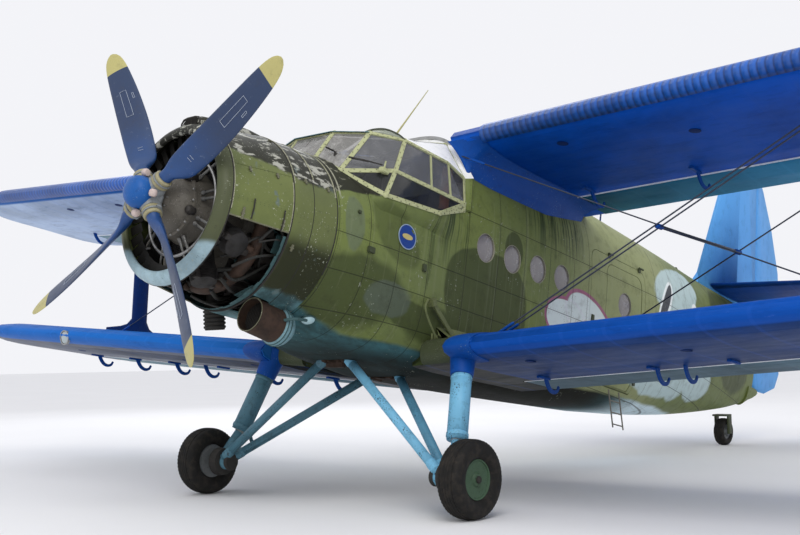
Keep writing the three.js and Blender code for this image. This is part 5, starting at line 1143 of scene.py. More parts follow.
cream = [cowl_strap(.3105, .007, -8, 200, .0035), cowl_strap(.893, .010, 20, 165, .0045),
         cowl_strap(1.122, .010, 28, 150, .0045), cowl_strap(1.362, .012, 20, 160, .0045),
         cowl_strap(.870, .006, -11, 20, .003)]
make("cowl_worn_straps", cream, M["cream"], "pale_frame", angle=60)
latches = []
for y, a, long in ((.42, -9, .10), (.46, 22, .05), (.72, 22, .05), (.80, -9, .10), (.44, 158, .05),
                   (.74, 158, .05), (.95, -20, .06), (1.02, 24, .05), (1.28, 24, .05), (.34, 60, .04),
                   (.85, 60, .04), (.34, 120, .04), (.85, 120, .04)):
    at, out = cowl_point(y, a, .006), cowl_point(y, a, .1) - cowl_point(y, a, 0)
    down = out.cross(Vector((0, 1, 0)))
    latches += [slab(at, (0, 1, 0), down, (.022, long, .012)),
                bar(at + Vector((0, -.02, 0)), at + Vector((0, .02, 0)), .007, sides=10)]
make("cowl_latches", latches, M["cream_dark"], "pale_frame", bevel=.002)
rods = []
for y, a in ((.50, -4), (.79, -6)):
    rods.append(tube([cowl_point(y, a + 6, .012), cowl_point(y, a, .014), cowl_point(y, a - 7, .010)],
                     .006, 8))
make("cowl_hold_rods", rods, M["soot"], "engine_metal")

# The rolled edge where the lower side panel is missing
edge_curve = [cowl_point(.303, -12, -.004), cowl_point(.6, -12, -.004), cowl_point(.876, -12, -.004)]
make("bay_edge_beads", [tube(edge_curve, .007, 8),
                        tube([cowl_point(.31 + .56 * k / 8, -118, -.004) for k in range(9)], .007, 8)],
     M["cream_dark"], "pale_frame")

# Loose ragged lip at the rear of the bay
ragged = random.Random(4)
strip = []
for k in range(15):
    a = -18 - k * 6.6
    deep = .02 + ragged.random() * .035
    strip.append(slab(cowl_point(.87 - deep / 2, a, -.012), (0, 1, 0),
                      cowl_point(.87, a + 90) - Vector((0, .87, cowl_axis(.87))), (deep, .088, .004)))
make("bay_rear_lip", strip, M["bay_teal"], "engine_metal")

scoop = [(.305, .112, .768), (.345, .140, .796), (.44, .156, .812), (.53, .160, .822), (.62, .162, .832),
         (.72, .1615, .842), (.82, .160, .850), (.94, .149, .847), (1.05, .132, .840), (1.14, .103, .837),
         (1.23, .070, .834)]
rings = []
for y, half, top in scoop:
    ring = [(-half, y, .660)]
    for i in range(25):
        a = math.pi - math.pi * i / 24
        c = math.copysign(abs(math.cos(a)) ** .7, math.cos(a))
        ring.append((c * half, y, top - (1 - max(0, math.sin(a)) ** .7) * half * .55))
    ring.append((half, y, .660))
    rings.append(ring)
make("air_scoop_skin", [loft(rings)], M["cowl"], "olive_skin", replaces=("air_scoop",), angle=45)
mouth = []
for k in range(9):
    mouth.append(box((0, .300, .690 + k * .0095), (.19 - k * .004, .012, .004)))
make("scoop_grille", mouth, M["soot"], "engine_metal")
lip = [(x * 1.02, .300, z) for x, z in ((-.118, .665), (-.118, .735), (-.096, .766), (-.05, .776),
                                        (.05, .776), (.096, .766), (.118, .735), (.118, .665))]
make("scoop_lip", [tube(lip, .008, 8)], M["soot"], "engine_metal")

front, rear = Vector(COOLER_FRONT), Vector(COOLER_REAR)
run = (rear - front).normalized()
make("cooler_tube", [lathe([(0, .139), (-.001, .145), (0, .150), (.09, .151), (.16, .1505), (.283, .152),
                            (.283, .146), (.16, .140), (.05, .139)], front, run, 56, closed=True)],
     M["rust"], "engine_metal", replaces=("cooler_duct",), angle=50)
make("cooler_rim_bead", [lathe([(-.004, .142), (-.007, .147), (-.004, .152), (.001, .147)], front, run, 56,
                               closed=True)], M["cream_dark"], "pale_frame")
collar = [(.278, .140), (.284, .156), (.290, .165), (.300, .167), (.330, .168), (.342, .166), (.37, .160),
          (.40, .140), (.43, .112), (.45, .09), (.46, .060), (.46, .02), (.30, .02), (.285, .10)]
make("cooler_collar", [lathe(collar, front, run, 56)], M["collar"], "sky_fabric", angle=45)
bands = [lathe([(.296, .166), (.296, .171), (.304, .171), (.304, .166)], front, run, 48, closed=True),
         lathe([(.332, .166), (.332, .172), (.342, .172), (.342, .166)], front, run, 48, closed=True)]
make("cooler_bands", bands, M["bay_teal"], "engine_metal")
core = [lathe([(.10, .001), (.10, .137), (.12, .137), (.12, .001)], front, run, 40)]
make("cooler_core", core, M["bay_dark"], "engine_metal")
vanes = []
d, a, b = basis(run)
for k in range(-6, 7):
    half = math.sqrt(max(0, .132 ** 2 - (k * .02) ** 2))
    vanes.append(slab(front + d * .085 + a * (k * .02), b, a, (2 * half, .003, .03)))
make("cooler_vanes", vanes, M["soot"], "engine_metal")
brackets = [bar((.300, 1.33, -.66), (.300, 1.36, -.80), .022),
            bar((.42, 1.32, -.70), (.40, 1.30, -.78), .016),
            tube(curve([(.44, 1.25, -.78), (.52, 1.30, -.76), (.50, 1.45, -.74)], 6), .014, 10),
            tube(curve([(.16, 1.30, -.72), (.10, 1.36, -.80), (.12, 1.50, -.82)], 6), .016, 10)]
make("cooler_brackets", brackets, M["bay_teal"], "engine_metal")

top, low = Vector((-.300, 1.050, -.560)), Vector((-.300, 1.128, -.868))
axis = (top - low).normalized()
profile = [(.004, .070), (0, .080), (.004, .088)]
for k in range(6):
    s = .014 + k * .034
    profile += [(s, .087), (s + .004, .096), (s + .014, .098), (s + .022, .096), (s + .026, .087)]
profile += [(.225, .085), (.25, .080), (.262, .066), (.32, .060), (.32, .02), (.03, .02), (.03, .070)]
make("exhaust_skin", [lathe(profile, low, axis, 40)], M["soot"], "engine_metal",
     replaces=("exhaust_pipe",), angle=45)

# Firewall, engine bearer tubes and the bay
ring = [polar(.790, 1.372, t, .029) for t in circle(64)]
make("firewall_plate", [loft([ring, [(p[0], 1.384, p[2]) for p in ring]])], M["bay_dark"], "engine_metal")
bearers = []
for k in range(6):
    t0, t1 = math.radians(-90 + 60 * k), math.radians(-60 + 60 * k)
    bearers += [bar(polar(.62, 1.37, t0, .02), polar(.44, .80, t, .02), .021)
                for t in (t1, t1 - math.pi / 3)]
make("engine_bearers", bearers, M["bay_teal"], "engine_metal")

# Engine: nine finned cylinders
CYLINDER_ANGLES = [math.pi / 2 + t for t in circle(9)]
THRUST_LINE = .004


def engine_point(t, reach, y, across=0.0):
    """A point out from the engine's axis, aft, and across the direction out."""
    out, tangent = spoke(t)
    return out * reach + Vector((0, y, 0)) + tangent * across + Vector((0, 0, THRUST_LINE))


barrel = [(.26, .086)]
for k in range(13):
    s = .300 + k * .0165
    barrel += [(s, .082), (s + .003, .104), (s + .007, .104), (s + .010, .082)]
head = []
for k in range(11):
    s = .518 + k * .0135
    r = .118 - abs(k - 4) * .0022
    head += [(s, .096), (s + .002, r), (s + .0055, r), (s + .008, .096)]
barrel += head + [(.668, .070), (.672, .02)]
cylinders, rocker, rods, leads, plugs, intake = [], [], [], [], [], []
for t in CYLINDER_ANGLES:
    out, tangent = spoke(t)
    cylinders.append(lathe(barrel, engine_point(t, 0, .520), out, 28))
    for side in (1, -1):
        rocker.append(slab(engine_point(t, .618, .520 - side * .112, side * .040), out, tangent,
                           (.085, .052, .058)))
        rocker.append(lathe([(0, .026), (.014, .026), (.018, .018)],
                            engine_point(t, .618, .520 - side * .141, side * .040), (0, -side, 0), 16))
    for across in (.032, -.032):
        rods.append(bar(engine_point(t, .300, .320, across * .8), engine_point(t, .590, .405, across * 1.3),
                        .0125, sides=12))
        rods.append(bar(engine_point(t, .296, .318, across * .8), engine_point(t, .330, .329, across * .85),
                        .019, sides=12))
    plugs.append(bar(engine_point(t, .520, .405, .055), engine_point(t, .540, .375, .055), .012, sides=10))
    leads.append(tube(curve([engine_point(t, .425, .350, .03), engine_point(t, .470, .345, .05),
                             engine_point(t, .535, .372, .055)], 5), .0065, 8))
    intake.append(tube(curve([engine_point(t, .400, .80, .05), engine_point(t, .500, .74, .06),
                              engine_point(t, .590, .650, .05)], 5), .030, 12))
make("engine_cylinders", cylinders, M["fins"], "engine_metal", angle=30, replaces=("engine",))
make("engine_rocker_boxes", rocker, M["engine"], "engine_metal", bevel=.006)
make("engine_pushrods", rods, M["rod"], "engine_metal")
make("engine_plugs", plugs, M["silver"], "engine_metal")
make("engine_leads", leads, M["lead"], "engine_metal")
make("engine_intakes", intake, M["engine"], "engine_metal")
case = [(.093, .088), (.100, .112), (.118, .128), (.130, .150), (.145, .180), (.165, .212), (.190, .236),
        (.215, .250), (.250, .262), (.255, .286), (.275, .288), (.280, .272), (.320, .285), (.360, .292),
        (.42, .31), (.60, .33), (.76, .33), (.78, .40), (.80, .42), (1.04, .42), (1.08, .30), (1.365, .29),
        (1.365, .05)]
make("gear_case", [lathe([(.093, .02)] + case, (0, 0, THRUST_LINE), (0, 1, 0), 72)], M["gear_case"],
     "engine_metal", angle=35)
bolts = []
for t in circle(18):
    bolts.append(lathe([(0, .009), (.014, .009), (.018, .005)], polar(.277, .256, t, THRUST_LINE),
                       (0, -1, 0), 8))
for t in circle(10):
    bolts.append(lathe([(0, .008), (.014, .008)], polar(.118, .112, t, THRUST_LINE), (0, -1, 0), 8))
make("gear_case_bolts", bolts, M["silver"], "engine_metal")
harness = [polar(.425, .350, 2 * math.pi * k / 72, THRUST_LINE) for k in range(73)]
make("ignition_ring", [tube(harness, .0135, 12)], M["silver"], "engine_metal")
magneto = [(0, .050), (.05, .052), (.10, .048), (.12, .030), (.125, .01)]
magnetos = [lathe(magneto, (side * .175, .30, .205), (side * .25, -1, .25), 28) for side in (1, -1)]
magnetos += [lathe([(0, .040), (.05, .040), (.075, .025), (.08, .01)], (.245, .28, -.08), (.3, -1, 0), 24)]
make("engine_front_units", magnetos, M["engine"], "engine_metal")
collector = [polar(.585, .745, math.radians(-215 + 250 * k / 60)) for k in range(61)]
make("exhaust_collector", [tube(collector, [.044 + .022 * math.sin(math.pi * k / 60) for k in range(61)],
                                20)], M["rust"], "engine_metal")
stubs = []
for t in CYLINDER_ANGLES:
    stubs.append(tube(curve([polar(.600, .640, t), polar(.625, .69, t), polar(.590, .74, t)], 5), .033, 14))
make("exhaust_stubs", stubs, M["rust"], "engine_metal")
# Hoses, boxes and pipes that fill the open bay
fill = random.Random(11)
hoses, boxes = [], []
for k in range(26):
    t = math.radians(-112 + 4.2 * k + fill.uniform(-2, 2))
    r = .50 + fill.random() * .22
    y0 = .50 + fill.random() * .25
    mid_t = t + fill.uniform(-.25, .25)
    end_t = t + fill.uniform(-.4, .4)
    points = [polar(r, y0, t), polar(r + .03, y0 + .15, mid_t),
              polar(r - .06, min(1.34, y0 + .34 + fill.random() * .2), end_t)]
    hoses.append(tube(curve(points, 6), .007 + fill.random() * .012, 8))
for k in range(15):
    t = math.radians(-108 + 6.7 * k)
    r = .47 + fill.random() * .13
    centre = polar(r, .84 + fill.random() * .40, t)
    boxes.append(slab(centre, (math.cos(t), 0, math.sin(t)), (0, 1, 0),
                      (.05 + fill.random() * .08, .07 + fill.random() * .12, .05 + fill.random() * .09)))
make("bay_hoses", hoses, M["hose"], "engine_metal")
make("bay_boxes", boxes, M["engine"], "engine_metal", bevel=.008)
make("bay_teal_plates", [slab((.52, 1.15, -.36), (.75, 0, .6), (0, 1, 0), (.20, .26, .012)),
                         slab((.30, .98, -.60), (.9, 0, .3), (0, 1, 0), (.22, .20, .012)),
                         slab((.60, .98, -.22), (.2, .1, .9), (0, 1, 0), (.16, .20, .012))], M["bay_teal"],
     "engine_metal")
# Thin shutter leaves in front of the cylinders, behind the nose ring
fan = []
for t in circle(36, .5):
    out = spoke(t)[0]
    fan.append(slab(out * .585 + Vector((0, .335, .006)), out, (-math.sin(t), .25, math.cos(t)),
                    (.15, .075, .003)))
make("cooling_shutters", fan, M["shutter"], "engine_metal")

# Propeller
FIRST = math.radians(122.92)
BLADE_ANGLES = [FIRST - math.pi / 2 * n for n in range(4)]
# Distance from the axis, chord, thickness, pitch in degrees and distance aft
SECTIONS = [(.230, .116, .112, 46, 0), (.290, .122, .106, 46, .008), (.350, .196, .084, 44, .034),
            (.430, .240, .062, 42, .050), (.800, .262, .040, 33, .055), (1.150, .250, .028, 26, .042),
            (1.450, .212, .020, 22, .020), (1.590, .162, .014, 21, .008), (1.652, .096, .010, 20, .003),
            (1.6762, .030, .006, 20, 0)]


def blade_section(reach):
    i = max(k for k in range(len(SECTIONS) - 1) if SECTIONS[k][0] <= reach + 1e-9)
    a, b = SECTIONS[i], SECTIONS[i + 1]
    t = (reach - a[0]) / (b[0] - a[0])
    before, after = SECTIONS[max(i - 1, 0)], SECTIONS[min(i + 2, len(SECTIONS) - 1)]
    out = []
    for c in range(1, 5):
        run = b[0] - a[0]
        m0 = (b[c] - before[c]) / (b[0] - before[0]) * run if i else (b[c] - a[c])
        m1 = (after[c] - a[c]) / (after[0] - a[0]) * run if i + 2 < len(SECTIONS) else (b[c] - a[c])
        out.append((2 * t ** 3 - 3 * t ** 2 + 1) * a[c] + (t ** 3 - 2 * t ** 2 + t) * m0
                   + (3 * t ** 2 - 2 * t ** 3) * b[c] + (t ** 3 - t ** 2) * m1)
    return out


def blade_point(angle, reach, along, out):
    """A point of a blade: along its chord from -1 to 1, and out of its middle from -1 (front) to 1."""
    chord, thick, pitch, aft = blade_section(reach)
    p = math.radians(pitch)
    a, o = along * chord / 2, out * thick / 2
    y = aft - a * math.sin(p) + o * math.cos(p)
    z = a * math.cos(p) + o * math.sin(p)
    return Vector((reach * math.cos(angle) - z * math.sin(angle), y,
                   reach * math.sin(angle) + z * math.cos(angle)))


reaches = [.2305, .26, .29, .32, .35, .39, .43, .50, .58, .66, .74, .82, .90, .98, 1.06, 1.14, 1.22, 1.30,
           1.38, 1.45, 1.50, 1.54, 1.58, 1.61, 1.635, 1.655, 1.668, 1.6755]
for k, angle in enumerate(BLADE_ANGLES, 1):
    rings = [[blade_point(angle, r, math.cos(t), math.sin(t)) for t in circle(28)] for r in reaches]
    make("blade_%d_skin" % k, [loft(rings)], M["blade"], "blade_metal", "propeller", 60,
         replaces=("propeller_blade_%d" % k,))


def on_front(angle, reach, along):
    """A point just ahead of a blade's front face."""
    p = blade_point(angle, reach, along, -math.sqrt(max(0, 1 - along * along)))
    away = p - blade_point(angle, reach, along, 0)
    return p + away.normalized() * .0024 if away.length > 1e-5 else p


def mark_line(angle, r0, a0, r1, a1, steps=10):
    """A thin painted line on a blade between two places."""
    return tube([on_front(angle, r0 + (r1 - r0) * k / steps, a0 + (a1 - a0) * k / steps)
                 for k in range(steps + 1)], .0016, 5)


marks = []
for angle in BLADE_ANGLES:
    for r0, r1, a0, a1 in ((.92, 1.22, -.18, .30), (1.10, 1.16, -.62, -.50)):
        marks += [mark_line(angle, r0, a0, r1, a0), mark_line(angle, r0, a1, r1, a1),
                  mark_line(angle, r0, a0, r0, a1, 4), mark_line(angle, r1, a0, r1, a1, 4)]
    marks += [mark_line(angle, reach, -.2, reach, .16, 5) for reach in (.50, .53)]
make("blade_marks", marks, M["stencil"], "blade_metal", "propeller")
dome = [(-.196, .002), (-.1955, .022), (-.192, .050), (-.184, .076), (-.172, .098), (-.156, .114),
        (-.138, .125), (-.115, .131), (-.098, .134), (-.056, .134), (-.050, .130), (-.046, .118),
        (-.046, .02)]
make("hub_dome", [lathe(dome, (0, 0, 0), (0, 1, 0), 56)], M["dome"], "hub_metal", "propeller",
     replaces=("propeller_hub",))
boss = [(-.047, .02), (-.047, .110), (-.040, .118), (-.032, .127), (-.010, .128), (.030, .128),
        (.060, .126), (.070, .116), (.091, .094), (.091, .02)]
spider, collars, straps = [lathe(boss, (0, 0, 0), (0, 1, 0), 48)], [], []
for angle in BLADE_ANGLES:
    out, tangent = spoke(angle)
    spider.append(lathe([(.06, .092), (.118, .090), (.128, .084), (.150, .078), (.152, .02)],
                        (0, 0, 0), out, 36))
    collars.append(lathe([(.150, .02), (.150, .074), (.156, .080), (.178, .081), (.184, .072), (.196, .070),
                          (.204, .076), (.222, .076), (.228, .070), (.229, .02)], (0, 0, 0), out, 36))
    straps.append(lathe([(.185, .071), (.185, .083), (.197, .083), (.197, .071)], (0, 0, 0), out, 36,
                        closed=True))
    bolt, half_bolt = out * .191 + tangent * .088, Vector((0, .025, 0))
    straps += [slab(out * .191 + tangent * .086, out, tangent, (.022, .024, .030)),
               bar(bolt - half_bolt, bolt + half_bolt, .006)]
make("hub_spider", spider, M["hub_pale"], "hub_metal", "propeller")
make("blade_collars", collars, M["khaki"], "hub_metal", "propeller")
make("collar_straps", straps, M["hub_pale"], "hub_metal", "propeller")
weights, arms, hub_bolts = [], [], []
for angle in BLADE_ANGLES:
    out = spoke(angle - math.radians(40))[0]
    weights.append(lathe([(-.030, .010), (-.028, .026), (-.012, .034), (.012, .034), (.028, .026),
                          (.030, .010)], out * .168 + Vector((0, -.068, 0)),
                         out.cross(Vector((0, 1, 0))), 22))
    arms.append(bar(out * .168 + Vector((0, -.060, 0)), out * .10, .016))
for t in circle(8, .5):
    hub_bolts.append(lathe([(0, .008), (.012, .008), (.015, .004)], polar(.122, -.034, t), (0, -1, 0), 8))
make("hub_weights", weights, M["pinkish"], "hub_metal", "propeller")
make("hub_weight_arms", arms, M["hub_pale"], "hub_metal", "propeller")
make("hub_bolts", hub_bolts, M["silver"], "hub_metal", "propeller")
make("hub_red_plug", [lathe([(0, .020), (.020, .020), (.026, .014), (.028, .003)], (-.118, -.085, -.012),
                            (-1, -.1, 0), 20)], M["red"], "hub_metal", "propeller")

# Canopy

def canopy(name, side=1, out=0.0):
    p = Vector(CANOPY[name])
    away = p - Vector((0, 2.6, .7))
    away = Vector((away.x / .82, away.y / .9, away.z / .7)).normalized() * out
    return Vector(((p.x + away.x) * side, p.y + away.y, p.z + away.z))


def strip(a, b, width, thick, normal, lift=0.0):
    """A flat bar from a to b, whose thickness points along a normal."""
    a, b, n = Vector(a), Vector(b), Vector(normal).normalized()
    d = (b - a).normalized()
    n = (n - d * n.dot(d)).normalized()
    across = d.cross(n)
    corners = []
    for end in (a, b):
        corners.append([end + across * width * i + n * (lift + thick * j)
                        for i, j in ((-.5, 0), (.5, 0), (.5, 1), (-.5, 1))])
    return loft(corners)


GLAZED = {
    "glass_front": [("deckFront", "deckPost", "browPost", "browMiddle"),
                    ("deckPost", "deckSide", "brow", "browPost")],
    "glass_side": [("deckSide", "railFront", "topFront", "brow"),
                   ("railFront", "railRear", "topMiddle", "topFront")],
    "glass_rear": [("railRear", "topRear", "topMiddle")],
    "glass": [("deckSide", "sillFront", "railFront"), ("sillFront", "sillRear", "railRear", "railFront"),
              ("sillRear", "sillEnd", "railRear")],
}
for key, faces in GLAZED.items():
    panes = []
    for names in faces:
        for side in (1, -1):
            corners = [canopy(n, side) for n in names]
            centre = sum(corners, Vector()) / len(corners)
            n = (corners[1] - corners[0]).cross(corners[2] - corners[0]).normalized()
            corners = [c + (centre - c).normalized() * .008 for c in corners]
            panes.append(loft([[c + n * .002 for c in corners], [c - n * .002 for c in corners]]))
    make("canopy_" + key, panes, M[key], "clear_panes", replaces=("canopy_glass",))
EDGES = [("deckPost", "browPost"), ("deckSide", "brow"), ("deckSide", "railFront"),
         ("deckSide", "sillFront"), ("railFront", "sillFront"), ("railFront", "railRear"),
         ("railFront", "topFront"), ("brow", "topFront"), ("browPost", "brow"), ("topFront", "topMiddle"),
         ("topMiddle", "topRear"), ("sillFront", "sillRear"), ("sillRear", "sillEnd"),
         ("sillRear", "railRear"), ("sillEnd", "railRear"), ("railRear", "topRear"),
         ("deckPost", "deckSide"), ("brow", "eyebrow"), ("eyebrow", "topFront"), ("deckFront", "deckPost"),
         ("browMiddle", "browPost"), ("topRear", "roofSide"), ("roofSide", "roofMiddle")]
plates, rivets = [], []
canopy_middle = Vector((0, 2.55, .55))
for first, second in EDGES:
    for side in (1, -1):
        a, b = canopy(first, side, .002), canopy(second, side, .002)
        n = ((a + b) / 2 - canopy_middle)
        n = Vector((n.x, n.y * .5, n.z)).normalized()
        plates.append(strip(a, b, .040, .016, n, -.010))
        d = (b - a).normalized()
        across = d.cross((n - d * n.dot(d)).normalized())
        count = max(2, round((b - a).length / .05))
        for k in range(count):
            p = a + (b - a) * (k + .5) / count + across * (.011 if k % 2 else -.011) + n * .0055
            rivets.append(lathe([(0, .0055), (.002, .0052), (.003, .001)], p, n, 8))
for name in sorted({n for pair in EDGES for n in pair}):
    for side in (1, -1):
        p = canopy(name, side, .001)
        n = (p - canopy_middle).normalized()
        plates.append(lathe([(-.010, .026), (.005, .026), (.008, .020), (.009, .004)], p, n, 18))
make("canopy_bars", plates, M["frame"], "pale_frame", bevel=.0012, replaces=("canopy_frame",))
make("canopy_rivets", rivets, M["soot"], "engine_metal")
posts = []
for side in (1, -1):
    for low_share, high_names, high_share, width in ((.50, ("topFront", "topMiddle"), .58, .026),
                                                     (.78, ("topFront", "topMiddle"), 1.0, .026)):
        low = canopy("railFront", side).lerp(canopy("railRear", side), low_share)
        high = canopy(high_names[0], side).lerp(canopy(high_names[1], side), high_share)
        posts.append(strip(low, high, width, .012, (side, 0, .15), -.004))
make("canopy_posts", posts, M["frame"], "pale_frame", bevel=.002)
# Olive cheeks that blend the bulged sill into the cockpit's side, and the panels behind the last pane
PATH = [("deckSide", .630), ("sillFront", .340), ("sillRear", .310), ("sillEnd", .260)]
cheeks = []
for side in (1, -1):
    rings = []
    for i in range(3):
        for k in range(8 if i < 2 else 9):
            t = k / 8
            high = canopy(PATH[i][0]).lerp(canopy(PATH[i + 1][0]), t) + Vector((0, 0, -.006))
            base = side_point(high.y, PATH[i][1] + (PATH[i + 1][1] - PATH[i][1]) * t, 1, -.004)
            ring = []
            for j in range(9):
                u = j / 8
                p = high.lerp(base, u)
                ring.append(Vector((p.x + .012 * math.sin(math.pi * u), p.y, p.z)))
            rings.append([Vector((side * p.x, p.y, p.z)) for p in ring]
                         + [Vector((side * (p.x - .008), p.y, p.z)) for p in reversed(ring)])
    last = []
    for p in rings[-1]:
        last.append(Vector((side * max(abs(p.x), .868), 3.046, p.z)))
    rings.append(last)
    cheeks.append(loft(rings))

make("canopy_cheeks", cheeks, M["fuselage"], "olive_skin", angle=35)


def rear_panel(pairs, side):
    near = [canopy(n, side, .001) for n, _ in pairs]
    far = [Vector((side * q[0], q[1], q[2])) for _, q in pairs]
    under = Vector((-side * .006, 0, -.004))
    return loft([near + [p + under for p in reversed(near)], far + [p + under for p in reversed(far)]])


LOW_PAIRS = [("sillEnd", (.878, 3.056, .655)), ("railRear", (.880, 3.056, .730)),
             ("topRear", (.866, 3.056, 1.000))]
HIGH_PAIRS = [("topRear", (.866, 3.056, 1.000)), ("roofSide", (.560, 3.060, 1.435)),
              ("roofMiddle", (0, 3.060, 1.535))]
make("canopy_rear_panels", [rear_panel(LOW_PAIRS, side) for side in (1, -1)], M["fuselage"], "olive_skin")
make("canopy_roof_rear", [rear_panel(HIGH_PAIRS, side) for side in (1, -1)], M["roof"], "pale_frame")
roof_faces = [("roofBendMiddle", "roofBend", "roofSide", "roofMiddle"),
              ("topMiddle", "topRear", "roofSide", "roofBend"),
              ("eyebrow", "topFront", "topMiddle", "roofBend")]
roof = []
for names in roof_faces:
    for side in (1, -1):
        corners = [canopy(n, side, .004) for n in names]
        centre = sum(corners, Vector()) / len(corners)
        corners = [centre + (c - centre) * .97 for c in corners]
        n = (corners[1] - corners[0]).cross(corners[2] - corners[0]).normalized()
        if n.z < 0:
            n = -n
        roof.append(loft([[c + n * .001 for c in corners], [c + n * .005 for c in corners]]))
make("canopy_roof_sheets", roof, M["roof"], "pale_frame", bevel=.0015)
# The front strip over the middle panes, and the arched pane over each side
front_strip = [strip(canopy("browMiddle", 1, .008), canopy("browPost", s, .008), .070, .006, (0, -.3, 1))
               for s in (1, -1)]
front_strip += [strip(canopy("browPost", s, .008), canopy("brow", s, .008), .055, .006, (0, -.3, 1))
                for s in (1, -1)]
make("canopy_brow_strip", front_strip, M["collar"], "sky_fabric", bevel=.001)
FRONT_ROOF = ("browMiddle", "browPost", "brow", "eyebrow", "roofBend", "roofBendMiddle")
front_roof = []
for s in (1, -1):
    corners = [canopy(name, s, .010) for name in FRONT_ROOF]
    centre = sum(corners, Vector()) / len(corners)
    corners = [centre + (c - centre) * .90 for c in corners]
    front_roof.append(loft([corners, [c + Vector((0, -.001, .004)) for c in corners]]))
make("canopy_front_roof", front_roof, M["pink_roof"], "pale_frame")
arches, arch_panes = [], []
for s in (1, -1):
    a = canopy("brow", s, .006).lerp(canopy("browPost", s, .006), .16)
    b = canopy("topFront", s, .006)
    path = curve([a, a.lerp(b, .22) + Vector((0, 0, .046)), a.lerp(b, .50) + Vector((0, 0, .068)),
                  a.lerp(b, .80) + Vector((0, 0, .044)), b], 8)
    arches.append(tube(path, .008, 10))
    straight = [a.lerp(b, k / (len(path) - 1)) for k in range(len(path))]
    arch_panes.append(loft([path, straight], caps=False, around=False))
make("canopy_arch_beads", arches, M["arch_dark"], "pale_frame")
arch_obj = make("canopy_arch_panes", arch_panes, M["arch_pane"], "clear_panes")
solid = arch_obj.modifiers.new("thickness", "SOLIDIFY")
solid.thickness = .004
# Wiper, bracket and lamp arm
n = Vector((.55, -.75, .35)).normalized()
wipe_a = canopy("deckSide", 1, .02).lerp(canopy("railFront", 1, .02), .18) + Vector((0, 0, .11))
wipe_b = canopy("deckSide", 1, .02).lerp(canopy("railFront", 1, .02), .74) + Vector((0, 0, .050))
wiper = [tube([wipe_a, wipe_a.lerp(wipe_b, .5) + n * .012, wipe_b], .0065, 8),
         strip(wipe_a - (wipe_b - wipe_a) * .1, wipe_a.lerp(wipe_b, .55), .014, .010, n, .004)]
make("canopy_wiper", wiper, M["soot"], "engine_metal")
box_at = canopy("railFront", 1, .035).lerp(canopy("deckSide", 1, .035), .22) + Vector((0, 0, -.01))
make("canopy_bracket", [slab(box_at, (1, .3, 0), (0, 1, -.1), (.055, .085, .052)),
                        bar(box_at + Vector((0, 0, .02)), box_at + Vector((0, .01, .10)), .008)],
     M["frame"], "pale_frame", bevel=.008)

# Cockpit inside: floor, panel, two padded seats, wheels and a curtain
FLOOR_Z = -.30
make("cockpit_floor", [box((0, 2.42, FLOOR_Z), (1.10, 1.20, .02))], M["floor"], "engine_metal")
make("cockpit_panel", [slab((0, 1.72, .42), (1, 0, 0), (0, .5, 1), (1.10, .30, .05)),
                       slab((0, 1.66, .60), (1, 0, 0), (0, 1, .1), (1.05, .26, .02))], M["dark"],
     "engine_metal", bevel=.008)
dials = [lathe([(0, .034), (.012, .034), (.014, .028)], (x, 1.745 + z * .5 - .2, .42 + (z - .4) * .8 + .02),
               (0, .9, -.45), 20) for x in (-.42, -.33, -.24, -.15, .15, .24, .33, .42, -.05, .05)
         for z in (.38, .47)]
make("cockpit_dials", dials, M["gasket"], "engine_metal")
for side, label in SIDES:
    x = side * .32
    frame_parts = [bar((x + dx, y, FLOOR_Z), (x + dx, y, .02), .014) for y in (2.50, 2.84)
                   for dx in (-.19, .19)]
    frame_parts += [box((x, 2.66, .030), (.42, .42, .02)),
                    slab((x, 2.895, .36), (1, 0, 0), (0, .12, 1), (.42, .62, .02)),
                    bar((x - .22, 2.48, .22), (x - .22, 2.86, .24), .013),
                    bar((x + .22, 2.48, .22), (x + .22, 2.86, .24), .013)]
    make("seat_frame_" + label, frame_parts, M["seat_metal"], "engine_metal", bevel=.003)
    cushion = make("seat_cushion_" + label, [box((x, 2.65, .085), (.40, .40, .085))], M["leather"],
                   "tyre_rubber", bevel=.03)
    back = make("seat_back_" + label, [slab((x, 2.855, .37), (1, 0, 0), (0, .12, 1), (.38, .50, .07))],
                M["leather"], "tyre_rubber", bevel=.028)
    yoke = [tube([(x, 1.95, FLOOR_Z), (x, 2.08, .20), (x, 2.10, .33)], .016, 12),
            tube([(x + math.cos(t) * .15, 2.10 + math.sin(t) * .02, .36 + math.sin(t) * .13)
                  for t in [math.radians(-50 + 280 * k / 24) for k in range(25)]], .012, 10)]
    make("control_wheel_" + label, yoke, M["gasket"], "tyre_rubber")
make("cockpit_rear_wall", [slab((.56, 3.030, .36), (1, 0, 0), (0, 0, 1), (.44, 1.20, .012)),
                           slab((-.56, 3.030, .36), (1, 0, 0), (0, 0, 1), (.44, 1.20, .012)),
                           slab((0, 3.030, 1.10), (1, 0, 0), (0, 0, 1), (.68, .42, .012))], M["lining"],
     "pale_frame")
make("curtain_rail", [bar((.65, 2.62, 1.095), (.66, 2.99, 1.065), .006)], M["silver"], "engine_metal")
FOLDS, CLOTH_ROWS, ROW_DROP = 26, 15, .030
cloth_rows = []
for j in range(CLOTH_ROWS):
    cloth_row = []
    for i in range(FOLDS * 4 + 1):
        u = i / (FOLDS * 4)
        wave = .016 * math.sin(u * FOLDS * 2 * math.pi / 4) * (1 + .3 * math.sin(j * .5))
        cloth_row.append((.655 + wave, 2.83 + u * .13 + .004 * math.sin(j * 1.1 + u * 9),
                          1.080 - j * ROW_DROP))
    cloth_rows.append(cloth_row)
curtain = make("cockpit_curtain", [loft(cloth_rows, caps=False, around=False)], M["curtain"],
               "tyre_rubber", angle=80)
CURTAIN_LENGTH = sum((Vector(q) - Vector(p)).length for p, q in zip(cloth_rows[0], cloth_rows[0][1:]))

